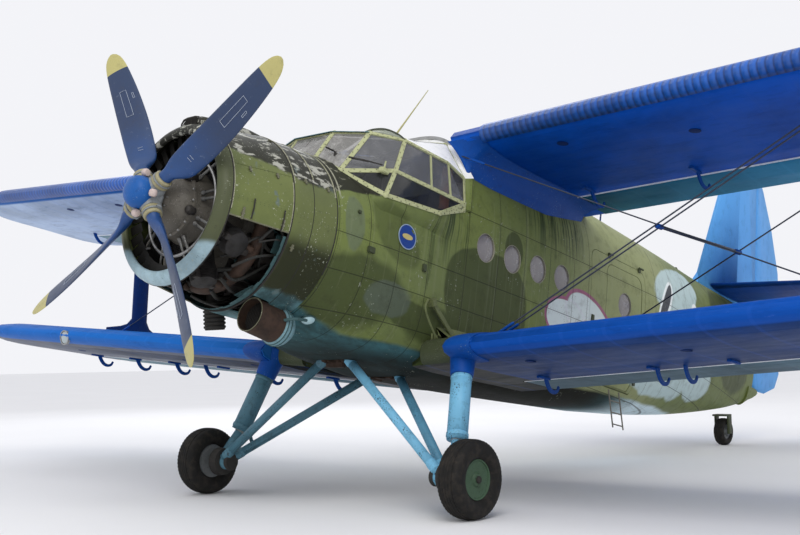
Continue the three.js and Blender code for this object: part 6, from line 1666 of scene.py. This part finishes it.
make("chart_pocket", [slab((.72, 2.985, .80), (1, 0, 0), (0, .1, 1), (.012, .07, .18))], M["roof"],
     "pale_frame", bevel=.003)

# Cabin inside: floor, lining frames
make("cabin_floor", [box((0, 4.80, -.62), (1.30, 3.45, .02))], M["floor"], "engine_metal")
hoops = []
for y in (3.54, 3.98, 4.42, 4.86, 5.14, 6.60):
    ring = section_ring(section_at(CABIN, y), .045, 56)
    ring = [p for p in ring if p[2] > -.60]
    start = max(range(len(ring)), key=lambda k: (Vector(ring[k]) - Vector(ring[k - 1])).length)
    ring = ring[start:] + ring[:start]
    hoops.append(tube(ring, .016, 6))
make("cabin_hoops", hoops, M["lining"], "pale_frame")

# Wings

def half_thick(s, t=0.14):
    return 5 * t * (0.2969 * math.sqrt(s) - 0.126 * s - 0.3516 * s ** 2 + 0.2843 * s ** 3 - 0.1036 * s ** 4)


def camber(s):
    return 0.12 * s * (1 - s)


UPPER = {"chord": 2.4, "leadY": 2.904, "leadZ": 1.3685, "dihedral": 2.92, "incidence": 3.17}
LOWER = {"chord": 2.0, "leadY": 2.473, "leadZ": -.8547, "dihedral": 4.03, "incidence": 1.04}


def wing_point(wing, s, height, x, shift=0.0):
    t = math.radians(wing["incidence"])
    along = s * wing["chord"] + shift
    return Vector((x, wing["leadY"] + along * math.cos(t) + height * math.sin(t),
                   wing["leadZ"] + x * math.tan(math.radians(wing["dihedral"])) - along * math.sin(t)
                   + height * math.cos(t)))


def wing_ring(wing, x, stop):
    """The wing's section from its nose back to a share of the chord."""
    chord = wing["chord"]
    shares = [stop * (i / 26) ** 1.9 for i in range(27)]
    ring = []
    for s in reversed(shares[1:]):
        ring.append(wing_point(wing, 0, (camber(s) + half_thick(s)) * chord, x, s * chord))
    ring.append(wing_point(wing, 0, 0, x))
    for s in shares[1:]:
        ring.append(wing_point(wing, 0, (camber(s) - half_thick(s)) * chord, x, s * chord))
    return ring


def wing_low(wing, x, y, side=-1, lift=0.0):
    """A point on the underside (or top) of a wing at a distance aft."""
    s = min(1, max(.001, (y - wing["leadY"]) / wing["chord"]))
    return wing_point(wing, s, (camber(s) + side * half_thick(s)) * wing["chord"] + side * lift, x)


# The lower wing's nose starts outboard of the stub that belongs to the fuselage
STUB_END = 1.178
for key in ("upper", "lower"):
    for side, label in SIDES:
        node = "%s_wing_%s" % (key, label)
        paint = M["wing_%s_%s" % (key, "near" if side > 0 else "far")]
        base = skin(node, paint, "blue_fabric", "airframe", 38)
        if key == "lower":
            end = side * STUB_END
            cut(base, new_object("stub_cut", [block((min(0, end), 2.2, -1.3), (max(0, end), 2.72, -.3))]))
            smooth(base.data, 38)
# Paint of the port piece, of the starboard one, slot, body and the angle below which edges are smooth
PAIRED_SKINS = {
    "upper_flap": ("teal_fabric", "pale_fabric", "sky_fabric", "upper_flap_%s", 50),
    "aileron": ("teal_fabric", "pale_fabric", "sky_fabric", "aileron_%s", 50),
    "lower_flap": ("low_flap_fabric", "pale_fabric", "pale_fabric", "lower_flap_%s", 50),
    "slat": ("slat", "slat", "slat_metal", "airframe", 60),
    "interplane_strut": ("dark_royal", "dark_royal", "blue_metal", "airframe", 45),
    "front_flying_wires": ("wire", "wire", "wire_steel", "airframe", 60),
    "rear_flying_wire": ("wire", "wire", "wire_steel", "airframe", 60),
    "landing_wire": ("wire", "wire", "wire_steel", "airframe", 60),
    "tailplane": ("tailplane", "tailplane", "blue_fabric", "airframe", 40),
    "elevator": ("tailplane", "tailplane", "blue_fabric", "elevator", 40),
    "tailplane_strut": ("royal", "royal", "blue_metal", "airframe", 50),
    "gear_front_brace": ("sky", "teal_leg", "sky_fabric", "airframe", 60),
    "gear_rear_brace": ("sky_deep", "teal_leg", "sky_fabric", "airframe", 60),
    "gear_leg": ("sky", "teal_leg", "sky_fabric", "airframe", 45),
}
for side, label in SIDES:
    for name, (port_paint, far_paint, slot, body, angle) in PAIRED_SKINS.items():
        paint = M[port_paint if side > 0 else far_paint]
        skin("%s_%s" % (name, label), paint, slot, body.replace("%s", label), angle)
skin("fin", M["fin"], "sky_fabric", "airframe", 40)
skin("rudder", M["fin"], "sky_fabric", "rudder", 50)
skin("tail_fork", M["dark_box"], "olive_skin", "tail_fork", 40)

HOOK_DEPTH, HOOK_THICK = .120, .016
UPPER_HOOK_SPAN, LOWER_HOOK_SPAN = (4.55, 4.80), (3.78, 4.00)


def hook(wing, x, front_y, rear_y):
    """A curved blade below the wing, of the kind that holds the flaps and ailerons."""
    a = wing_low(wing, x, front_y, -1, -.01)
    b = wing_low(wing, x, rear_y, -1, .0)
    drop = Vector((0, 0, -HOOK_DEPTH))
    path = curve([a, a.lerp(b, .12) + drop * .45, a.lerp(b, .38) + drop * .92, a.lerp(b, .68) + drop * 1.08,
                  a.lerp(b, .95) + drop * .92, a.lerp(b, 1.06) + drop * .52], 5)
    rings = []
    count = len(path)
    for k, p in enumerate(path):
        share = k / (count - 1)
        tall = .060 - .034 * share
        d = (path[min(k + 1, count - 1)] - path[max(k - 1, 0)]).normalized()
        up = Vector((1, 0, 0)).cross(d).normalized()
        side = Vector((HOOK_THICK / 2, 0, 0))
        rings.append([p + up * tall * .5 + side, p + up * tall * .5 - side, p - up * tall * .5 - side,
                      p - up * tall * .5 + side])
    return loft(rings)


UPPER_HOOKS = (1.25, 2.45, 3.60, 4.62, 5.05, 6.0, 6.95, 7.9)
LOWER_HOOKS_PORT = (1.40, 2.57, 2.84, 4.28, 5.13, 6.02)
LOWER_HOOKS_STARBOARD = (1.40, 2.50, 3.69, 4.28, 5.13, 6.02)
make("upper_hooks", both([hook(UPPER, x, *UPPER_HOOK_SPAN) for x in UPPER_HOOKS]), M["royal"],
     "blue_metal", bevel=.003)
lower_hooks = [hook(LOWER, x, *LOWER_HOOK_SPAN) for x in LOWER_HOOKS_PORT]
lower_hooks += [mirror(hook(LOWER, x, *LOWER_HOOK_SPAN)) for x in LOWER_HOOKS_STARBOARD]
make("lower_hooks", lower_hooks, M["royal"], "blue_metal", bevel=.003)


def hook_shoe(wing, x, front, size, slope):
    """A low block under the wing. slope is the stretch of the wing whose slant it follows."""
    a, b = wing_low(wing, x, front), wing_low(wing, x, front + size[1])
    slant = wing_low(wing, x, slope[1]) - wing_low(wing, x, slope[0])
    return slab((a + b) / 2 + Vector((0, 0, -.012)), (1, 0, 0), slant, size)


shoes = [hook_shoe(UPPER, x, 4.40, (.045, .20, .022), (4.40, 4.60))
         for x in (1.25, 2.45, 3.60, 4.62, 6.0, 6.95)]
shoes += [hook_shoe(LOWER, x, 3.66, (.045, .18, .022), (3.74, 3.92))
          for x in (1.40, 2.55, 3.30, 4.28, 5.13, 6.02)]
make("hook_shoes", both(shoes), M["royal"], "blue_metal", bevel=.004)

# Root fairings of both wings
def root_strip(wing, x, out, y0, y1, steps=22):
    """A flared sheet along the root of the wing's upper face."""
    rings = []
    for k in range(steps + 1):
        y = y0 + (y1 - y0) * k / steps
        p = wing_low(wing, x, y, 1, .004)
        q = wing_low(wing, x + out, y, 1, .003)
        body_x = side_point(y, p.z + .10).x
        r = Vector((max(body_x + .003, x - .12), y, p.z + .10))
        rings.append([r, r.lerp(p, .5) + Vector((-.012, 0, -.022)), p, q, q + Vector((0, 0, -.004)),
                      p + Vector((0, 0, -.006)), r + Vector((-.006, 0, -.004))])
    return loft(rings)


fairings = [root_strip(LOWER, .93, .07, 2.76, 4.30)]
make("lower_root_fairings", both(fairings), M["step_olive"], "olive_skin", angle=60)
outline = [(.555, 2.925, 1.37), (.640, 2.965, 1.24), (.735, 3.010, 1.11), (.800, 3.045, 1.025),
           (.842, 3.40, 1.000), (.850, 3.90, 1.000), (.848, 4.346, 1.008), (.815, 4.75, 1.080),
           (.775, 5.111, 1.154)]
rings = []
for k in range(49):
    u = k / 48 * (len(outline) - 1)
    i = min(int(u), len(outline) - 2)
    p = Vector(outline[i]).lerp(Vector(outline[i + 1]), u - i)
    body = side_point(min(max(p.y, 3.06), 6.6), p.z, 1, .004)
    low = Vector((body.x, p.y, p.z))
    y = max(p.y, 2.93)
    high = wing_low(UPPER, 1.02, y, -1, .004)
    bend = Vector((low.x + .03, low.y, low.z + (high.z - low.z) * .55))
    path = [low, low.lerp(bend, .55) + Vector((.004, 0, .0)), bend,
            bend.lerp(high, .6) + Vector((-.012, 0, .012)), high]
    rings.append(path + [q + Vector((-.006, 0, .006)) for q in reversed(path)])
make("upper_root_fairings", both([loft(rings)]), M["royal"], "blue_metal", angle=60)

stub_noses = []
for side in (1, -1):
    rings = []
    for k in range(9):
        x = .78 + .40 * k / 8
        high, low = wing_low(LOWER, x, 2.72, 1), wing_low(LOWER, x, 2.72, -1)
        ring = []
        for i in range(9):
            t = math.pi * i / 8
            ring.append((side * x, 2.722 - .075 * math.sin(t),
                         (high.z + low.z) / 2 + (high.z - low.z) / 2 * math.cos(t)))
        rings.append(ring)
    stub_noses.append(loft(rings))
make("wing_stub_noses", stub_noses, M["dark_box"], "olive_skin", angle=50)

# Near-white strips along the trailing edge of each slot: painted sky, standing in for the light seen
# through the gap between wing and flap
sky_strips = []
for span in ((1.0, 4.78), (4.86, 8.02)):
    drop = (camber(.74) - half_thick(.74)) * UPPER["chord"] - .003
    edge = [wing_point(UPPER, .7385, drop, span[0] + (span[1] - span[0]) * k / 30) for k in range(31)]
    sky_strips.append(tube(edge, .011, 6))
make("painted_sky_slot_strips", both(sky_strips), M["slot"], "pale_frame")
drop = (camber(.72) - half_thick(.72)) * LOWER["chord"] - .003
edge = [wing_point(LOWER, .718, drop, 1.07 + 5.19 * k / 30) for k in range(31)]
make("low_painted_sky_slot_strips", both([tube(edge, .005, 6)]), M["slot"], "pale_frame")
# Inspection patches and a landing light
patches = []
for x, y in ((1.7, 3.3), (2.9, 3.6), (4.1, 3.3), (5.6, 3.4), (6.8, 3.4)):
    patches.append(lathe([(0, .055), (.003, .055), (.004, .050)], wing_low(UPPER, x, y), (0, 0, -1), 20))
for x, y in ((1.8, 2.95), (3.2, 3.1), (5.4, 3.1)):
    patches.append(lathe([(0, .050), (.003, .050), (.004, .045)], wing_low(LOWER, x, y), (0, 0, -1), 20))
make("inspection_covers", both(patches), M["dark_royal"], "blue_metal")
light_at = Vector((-4.89, *wing_point(LOWER, .012, -.03, 4.89)[1:]))
make("landing_light_ring", [lathe([(-.03, .085), (.006, .092), (.012, .088), (.010, .078), (-.02, .076)],
                                  light_at, (0, -1, -.25), 28, closed=True)], M["silver"], "engine_metal")
make("landing_light_lens", [lathe([(-.01, .078), (.004, .070), (.010, .04), (.012, .002)], light_at,
                                  (0, -1, -.25), 28)], M["lamp"], "clear_panes")

# Stay fittings: turnbuckles at the wire ends
def wire_fittings(root, head, spreads):
    """A turnbuckle at both ends of each wire between two points, spread fore and aft."""
    parts = []
    root, head = Vector(root), Vector(head)
    for by in spreads:
        a, b = root + Vector((0, by, 0)), head + Vector((0, by, 0))
        d = (b - a).normalized()
        for p, sign in ((a, 1), (b, -1)):
            s = p + d * sign * .16
            parts.append(lathe([(0, .008), (.01, .013), (.04, .014), (.16, .014), (.19, .013), (.20, .008)],
                               s, d * sign, 12))
    return parts


fittings = wire_fittings((1.350, 2.860, -.690), (4.700, 3.250, 1.500), (-.035, .035))
fittings += wire_fittings((1.500, 3.870, -.720), (4.700, 4.430, 1.480), (0,))
fittings += wire_fittings((.700, 2.985, 1.240), (4.760, 3.101, -.420), (0,))
make("wire_turnbuckles", both(fittings), M["royal"], "blue_metal")
stick = Vector((2.905, 3.041, .325)), Vector((3.105, 4.151, .372))
stick_cap = [(-.03, .012), (-.02, .022), (.05, .024), (.06, .018)]
caps = [lathe(stick_cap, a, b - a, 12) for a, b in (stick, reversed(stick))]
make("spreader_caps", both(caps), M["royal"], "blue_metal")

# Landing gear: caps, collars, links, brake pipes, wheel tread and hubs
leg_top, leg_end = Vector((1.233, 2.711, -.760)), Vector((1.405, 2.531, -1.583))
foot = Vector((1.482, 2.401, -1.890))
leg = (leg_end - leg_top).normalized()
for side, label in SIDES:
    leg_paint = M["sky" if side > 0 else "teal_leg"]
    cap = [lathe([(-.04, .128), (.02, .124), (.08, .116), (.16, .110), (.240, .105), (.262, .100),
                  (.270, .094)], leg_top, leg, 36)]
    nose_cap = []
    for k in range(13):
        u = k / 12
        x = 1.185 + .30 * u
        swell = .014 * math.sin(math.pi * u) ** .5
        ring = wing_ring(LOWER, x, .16)
        middle = sum(ring, Vector()) / len(ring)
        nose_cap.append([p + (p - middle).normalized() * (.004 + swell) for p in ring])
    cap.append(loft(nose_cap))
    make("leg_cap_" + label, on_side(cap, side), M["royal"], "blue_metal", bevel=.02)
    bands = [lathe([(.275, .093), (.280, .097), (.295, .097), (.300, .093)], leg_top, leg, 32),
             lathe([(.80, .093), (.805, .098), (.835, .098), (.845, .085), (.860, .060)], leg_top, leg, 32)]
    make("leg_bands_" + label, on_side(bands, side), leg_paint, "sky_fabric")
    piston = (foot - leg_end).normalized()
    chrome = [lathe([(.0, .052), (.015, .052), (.02, .044), (.14, .044)], leg_end, piston, 28)]
    make("leg_piston_" + label, on_side(chrome, side), M["silver"], "engine_metal")
    knee = leg_end + Vector((.02, .20, -.12))
    links = [strip(leg_end + Vector((0, .075, .05)), knee, .045, .020, (0, 1, .5)),
             strip(knee, foot + Vector((0, .05, .04)), .045, .020, (0, 1, -.5)),
             bar(leg_end + Vector((-.025, .20, -.12)), leg_end + Vector((.065, .20, -.12)), .016)]
    make("torque_links_" + label, on_side(links, side), leg_paint, "sky_fabric", bevel=.004)
    hose = [tube(curve([leg_top + leg * .25 + Vector((0, .10, 0)),
                        leg_top + leg * .55 + Vector((.01, .105, 0)), leg_end + Vector((.01, .12, .0)),
                        foot + Vector((.0, .12, .10)), foot + Vector((-.02, .06, -.02))], 8), .008, 8)]
    make("brake_pipe_" + label, on_side(hose, side), M["gasket"], "tyre_rubber")
    drum = [lathe([(-.005, .076), (.005, .082), (.03, .082), (.04, .076)],
                  (1.31, MAIN_WHEEL["y"], MAIN_WHEEL["z"]), (1, 0, 0), 32),
            lathe([(.10, .090), (.11, .13), (.19, .14), (.205, .12), (.21, .07)],
                  (1.31, MAIN_WHEEL["y"], MAIN_WHEEL["z"]), (1, 0, 0), 36)]
    make("brake_drum_" + label, on_side(drum, side), M["soot"], "gear_metal")
    ends = []
    for top_p, foot_p in (((.092, 2.368, -.850), (1.385, 2.352, -1.880)),
                          ((.130, 3.086, -.890), (1.365, 2.456, -1.862))):
        t, f = Vector(top_p), Vector(foot_p)
        d = (f - t).normalized()
        ends += [lathe([(.06, .030), (.07, .046), (.13, .049), (.16, .0445)], t, d, 24),
                 lathe([(.02, .034), (.03, .047), (.10, .049), (.13, .0445)], f, -d, 24)]
    make("brace_ends_" + label, on_side(ends, side), leg_paint, "sky_fabric")
brackets = [box((.05, 2.37, -.905), (.20, .12, .05)), box((0.05, 2.37, -.945), (.13, .05, .06)),
            box((.06, 3.09, -.935), (.22, .14, .05)), bar((.09, 2.30, -.925), (.09, 2.44, -.925), .018),
            bar((.13, 3.01, -.955), (.13, 3.16, -.955), .020)]
make("brace_brackets", both(brackets), M["rust"], "engine_metal", bevel=.008)


def tyre(wheel, centre, axis, tread_rows=5, blocks=56):
    """A tyre with rounded shoulders, grooves round it and short cross grooves."""
    radius, rim = wheel["radius"] - .0004, wheel["rim"]
    half = (wheel["width"] - .0004) / 2
    tall = radius - rim
    outline = [(-half * .62, rim + .001), (-half * .80, rim + tall * .10), (-half * .92, rim + tall * .26),
               (-half * .99, rim + tall * .46), (-half * .99, rim + tall * .60),
               (-half * .93, rim + tall * .76), (-half * .82, rim + tall * .88),
               (-half * .70, rim + tall * .945)]
    crown = []
    for k in range(tread_rows * 4 + 1):
        u = -1 + 2 * k / (tread_rows * 4)
        groove = .006 if k % 4 == 2 else 0.0
        drop = .0 if abs(u) < .35 else (abs(u) - .35) ** 2 * tall * .10
        crown.append((u * half * .60, radius - drop - groove))
    outline = outline + crown + [(-x, r) for x, r in reversed(outline)]
    d, a, b = basis(axis)
    centre = Vector(centre)
    rings = []
    steps = blocks * 2
    for i, t in enumerate(circle(steps)):
        ring = []
        for x, r in outline:
            cut_in = .005 if (i % 2 and half * .42 < abs(x) < half * .86 and r > rim + tall * .80) else 0.0
            ring.append(centre + d * x + (a * math.cos(t) + b * math.sin(t)) * (r - cut_in))
        rings.append(ring)
    return loft(rings, loop=True)


for side, label in SIDES:
    body = "main_wheel_" + label
    hub = Vector((side * MAIN_WHEEL["x"], MAIN_WHEEL["y"], MAIN_WHEEL["z"]))
    make("main_tyre_skin_" + label, [tyre(MAIN_WHEEL, hub, (side, 0, 0))], M["rubber"], "tyre_rubber", body,
         32, replaces=("main_tyre_" + label,))
    rim_profile = [(.072, .1645), (.078, .168), (.084, .166), (.082, .156), (.060, .148), (.044, .132),
                   (.040, .10), (.050, .075), (.074, .062), (.086, .050), (.088, .001), (-.03, .001),
                   (-.03, .08), (-.036, .125), (-.072, .140), (-.080, .162), (-.072, .1645)]
    make("wheel_disc_" + label, [lathe(rim_profile, hub, (side, 0, 0), 48)],
         M["hub_green" if side > 0 else "hub_grey"], "wheel_metal", body, 35,
         replaces=("main_rim_" + label,))
    nuts = []
    for t in circle(8):
        nuts.append(lathe([(0, .010), (.014, .010), (.017, .006)],
                          hub + Vector((side * .045, math.cos(t) * .094, math.sin(t) * .094)),
                          (side, 0, 0), 8))
    nuts.append(lathe([(0, .030), (.012, .030), (.020, .022), (.021, .002)],
                      hub + Vector((side * .087, 0, 0)), (side, 0, 0), 24))
    make("wheel_nuts_" + label, nuts, M["soot"], "wheel_metal", body)
    holes = [lathe([(0, .019), (.004, .019), (.004, .012), (0, .012)],
                   hub + Vector((side * .0405, math.cos(t) * .118, math.sin(t) * .118)), (side, 0, 0), 12,
                   closed=True) for t in circle(6, .5)]
    make("wheel_hole_rims_" + label, holes, M["soot"], "wheel_metal", body)
tail_hub = (0, TAIL_WHEEL["y"], TAIL_WHEEL["z"])
make("tail_tyre_skin", [tyre(TAIL_WHEEL, tail_hub, (1, 0, 0), 3, 36)], M["rubber"], "tyre_rubber",
     "tail_wheel", 32, replaces=("tail_tyre",))
tail_profile = [(.044, .0995), (.048, .102), (.052, .098), (.046, .086), (.024, .074), (.022, .048),
                (.072, .040), (.074, .022), (-.074, .022), (-.072, .040), (-.022, .048), (-.024, .074),
                (-.046, .086), (-.052, .098), (-.048, .102), (-.044, .0995)]
make("tail_disc", [lathe(tail_profile, tail_hub, (1, 0, 0), 36, closed=True)], M["hub_grey"], "wheel_metal",
     "tail_wheel", 35, replaces=("tail_rim",))

# Small things on the fuselage: badge, lens, boxes, step, antennas, ladder
badge_at = side_point(2.201, .177)
nrm = Vector((1, -.03, .05))
make("side_badge", [lathe([(0, .001), (.004, .001), (.004, .112), (0, .112)],
                          badge_at + Vector((-.001, 0, 0)), nrm, 40)], M["badge"], "blue_metal")
make("side_badge_ring", [lathe([(0, .108), (.005, .108), (.0055, .112), (.005, .117), (0, .117)], badge_at,
                               nrm, 44, closed=True)], M["badge_ring"], "pale_frame")
oval = [badge_at + Vector((.0045, math.cos(t) * .070, math.sin(t) * .026)) for t in circle(32)]
make("side_badge_mark", [loft([oval, [p + Vector((.0022, 0, 0)) for p in oval]])], M["badge_gold"],
     "pale_frame")
lens_at = Vector((.421, 1.544, -.712))
out = Vector((.42, -.1, -.9)).normalized()
make("belly_lamp", [lathe([(-.02, .060), (.004, .062), (.016, .050), (.026, .028), (.029, .002)], lens_at,
                          out, 28)], M["lamp_white"], "clear_panes")
make("belly_lamp_ring", [lathe([(-.01, .062), (.006, .070), (.010, .066), (.006, .058)], lens_at, out, 28,
                               closed=True)], M["bay_teal"], "engine_metal")
side_boxes = [box(side_point(1.779, -.054, 1, .012), (.03, .085, .055)),
              box(side_point(2.459, -.047, 1, .012), (.026, .05, .07)),
              box(side_point(1.62, .25, 1, .010), (.02, .04, .03))]
make("side_boxes", side_boxes, M["dark_box"], "olive_skin", bevel=.006)
step_a, step_b = side_point(2.60, -.34, 1, .035), side_point(3.02, -.64, 1, .05)
step = [strip(step_a, step_b, .050, .020, (1, 0, 0)), slab(step_a, (1, 0, 0), (0, 1, .5), (.07, .06, .07)),
        bar(step_b, step_b + Vector((-.08, 0, 0)), .016),
        tube(curve([step_a + Vector((0, -.06, .02)), step_a + Vector((.02, -.10, -.10)),
                    step_b + Vector((.03, -.30, -.02)), step_b + Vector((0, -.05, -.02))], 6), .010, 8)]
make("side_brace", step, M["step_olive"], "olive_skin", bevel=.004)
vent = []
for k in range(5):
    vent.append(tube(curve([side_point(2.72 + k * .035, -.60, 1, .004),
                            side_point(2.74 + k * .035, -.70, 1, .028),
                            side_point(2.80 + k * .035, -.80, 1, .010)], 4), .012, 8))
make("side_vent_lip", vent, M["step_olive"], "olive_skin")
whip = [Vector((.5, 2.296, 1.264)), Vector((.5, 2.657, 1.829))]
make("whip_antenna", [tube([whip[0] + Vector((0, -.02, -.03)), whip[0], whip[0].lerp(whip[1], .5), whip[1]],
                           [.011, .010, .0065, .004], 8)], M["mast"], "pale_frame")
mast = Vector((0, 6.71, 1.49))
post = [(0, .05), (.02, .03), (.03, .012), (.48, .009), (.49, .004)]
make("small_mast", [lathe(post, mast, (0, .05, 1), 12),
                    bar(mast + Vector((-.14, 0, .42)), mast + Vector((.14, 0, .42)), .006)],
     M["dark_royal"], "wire_steel")
aerial = [tube([mast + Vector((0, 0, .46)), Vector((0, 8.2, 2.72)), Vector((0, 10.70, 3.725))], .0035, 6)]
make("aerial_wire", aerial, M["wire"], "wire_steel")
loop_ring = [(0, 8.75 + math.cos(t) * .045, 1.555 + math.sin(t) * .045)
             for t in [2 * math.pi * k / 24 for k in range(25)]]
make("loop_aerial", [tube(loop_ring, .006, 8), bar((0, 8.75, 1.47), (0, 8.75, 1.512), .008)], M["dark_box"],
     "olive_skin")
beacon = [lathe([(-.02, .05), (.01, .05), (.02, .042), (.07, .036), (.085, .018), (.088, .002)],
                (0, 5.3, 1.545), (0, 0, 1), 24)]
make("top_beacon", beacon, M["red"], "pale_frame")
ladder = [bar((.86, 5.80, -.60), (.95, 5.80, -1.02), .008),
          bar((.86, 6.02, -.60), (.95, 6.02, -1.02), .008)]
for k in range(3):
    z = -.72 - k * .13
    x = .86 + (-.60 - z) / .44 * .09
    ladder.append(bar((x, 5.80, z), (x, 6.02, z), .007))
make("door_ladder", ladder, M["lead"], "wheel_metal")
# Handle, latches and hinges of the doors
make("door_handle", [bar(side_point(5.66, .04, 1, .0) + Vector((-.01, 0, 0)),
                         side_point(5.66, .04, 1, .030), .010),
                     box(side_point(5.70, .04, 1, .030), (.012, .12, .022))], M["dark"], "engine_metal",
     "passenger_door", bevel=.003)
make("cargo_latches", [box(side_point(y, z, 1, .008), (.014, .05, .08))
                       for y, z in ((5.30, -.42), (5.30, .10), (6.40, -.42), (6.40, .10))], M["dark_box"],
     "olive_skin", "cargo_door", bevel=.003)
CARGO_HINGE = {"x": .862, "z": .912, "radius": .012, "at": (5.642, 6.330), "gap": .0015}


def hinge_bars(low, high):
    """Barrels of the cargo door's hinges, between two distances aft of each hinge's middle."""
    x, z, radius = CARGO_HINGE["x"], CARGO_HINGE["z"], CARGO_HINGE["radius"]
    return [bar((x, y + low, z), (x, y + high, z), radius) for y in CARGO_HINGE["at"]]


make("cargo_hinge_fixed", hinge_bars(CARGO_HINGE["gap"], .044), M["dark_box"], "olive_skin")
plates = [box((.850, y - .023, .888), (.02, .042, .05)) for y in CARGO_HINGE["at"]]
make("cargo_hinge_moving", hinge_bars(-.0435, -CARGO_HINGE["gap"]) + plates, M["dark_box"], "olive_skin",
     "cargo_door")
# Tail: fairing at the fin, light and the rudder's tab rod
dorsal = []
for k in range(17):
    u = k / 16
    y = 9.17 + u * .34
    h = 1.49 + .36 * u
    w = .018 + .030 * u
    dorsal.append([(w, y, 1.455), (w * .75, y, 1.455 + (h - 1.455) * .6), (0, y, h),
                   (-w * .75, y, 1.455 + (h - 1.455) * .6), (-w, y, 1.455)])
make("dorsal_fairing", [loft(dorsal)], M["fin"], "sky_fabric", angle=60)
make("tail_light", [lathe([(0, .022), (.02, .022), (.04, .016), (.046, .002)], (0, 11.46, .29), (0, 1, 0),
                          16)], M["lamp_white"], "clear_panes")
make("rudder_tab", [bar((.052, 11.62, 1.55), (.030, 11.78, 1.55), .006)], M["royal"],
     "blue_metal", "rudder")
static = [bar((.40, 1.62, .78), (.40, 1.62, .86), .012), bar((.40, 1.60, .86), (.40, 1.50, .86), .008)]
make("deck_probe", static, M["soot"], "engine_metal")
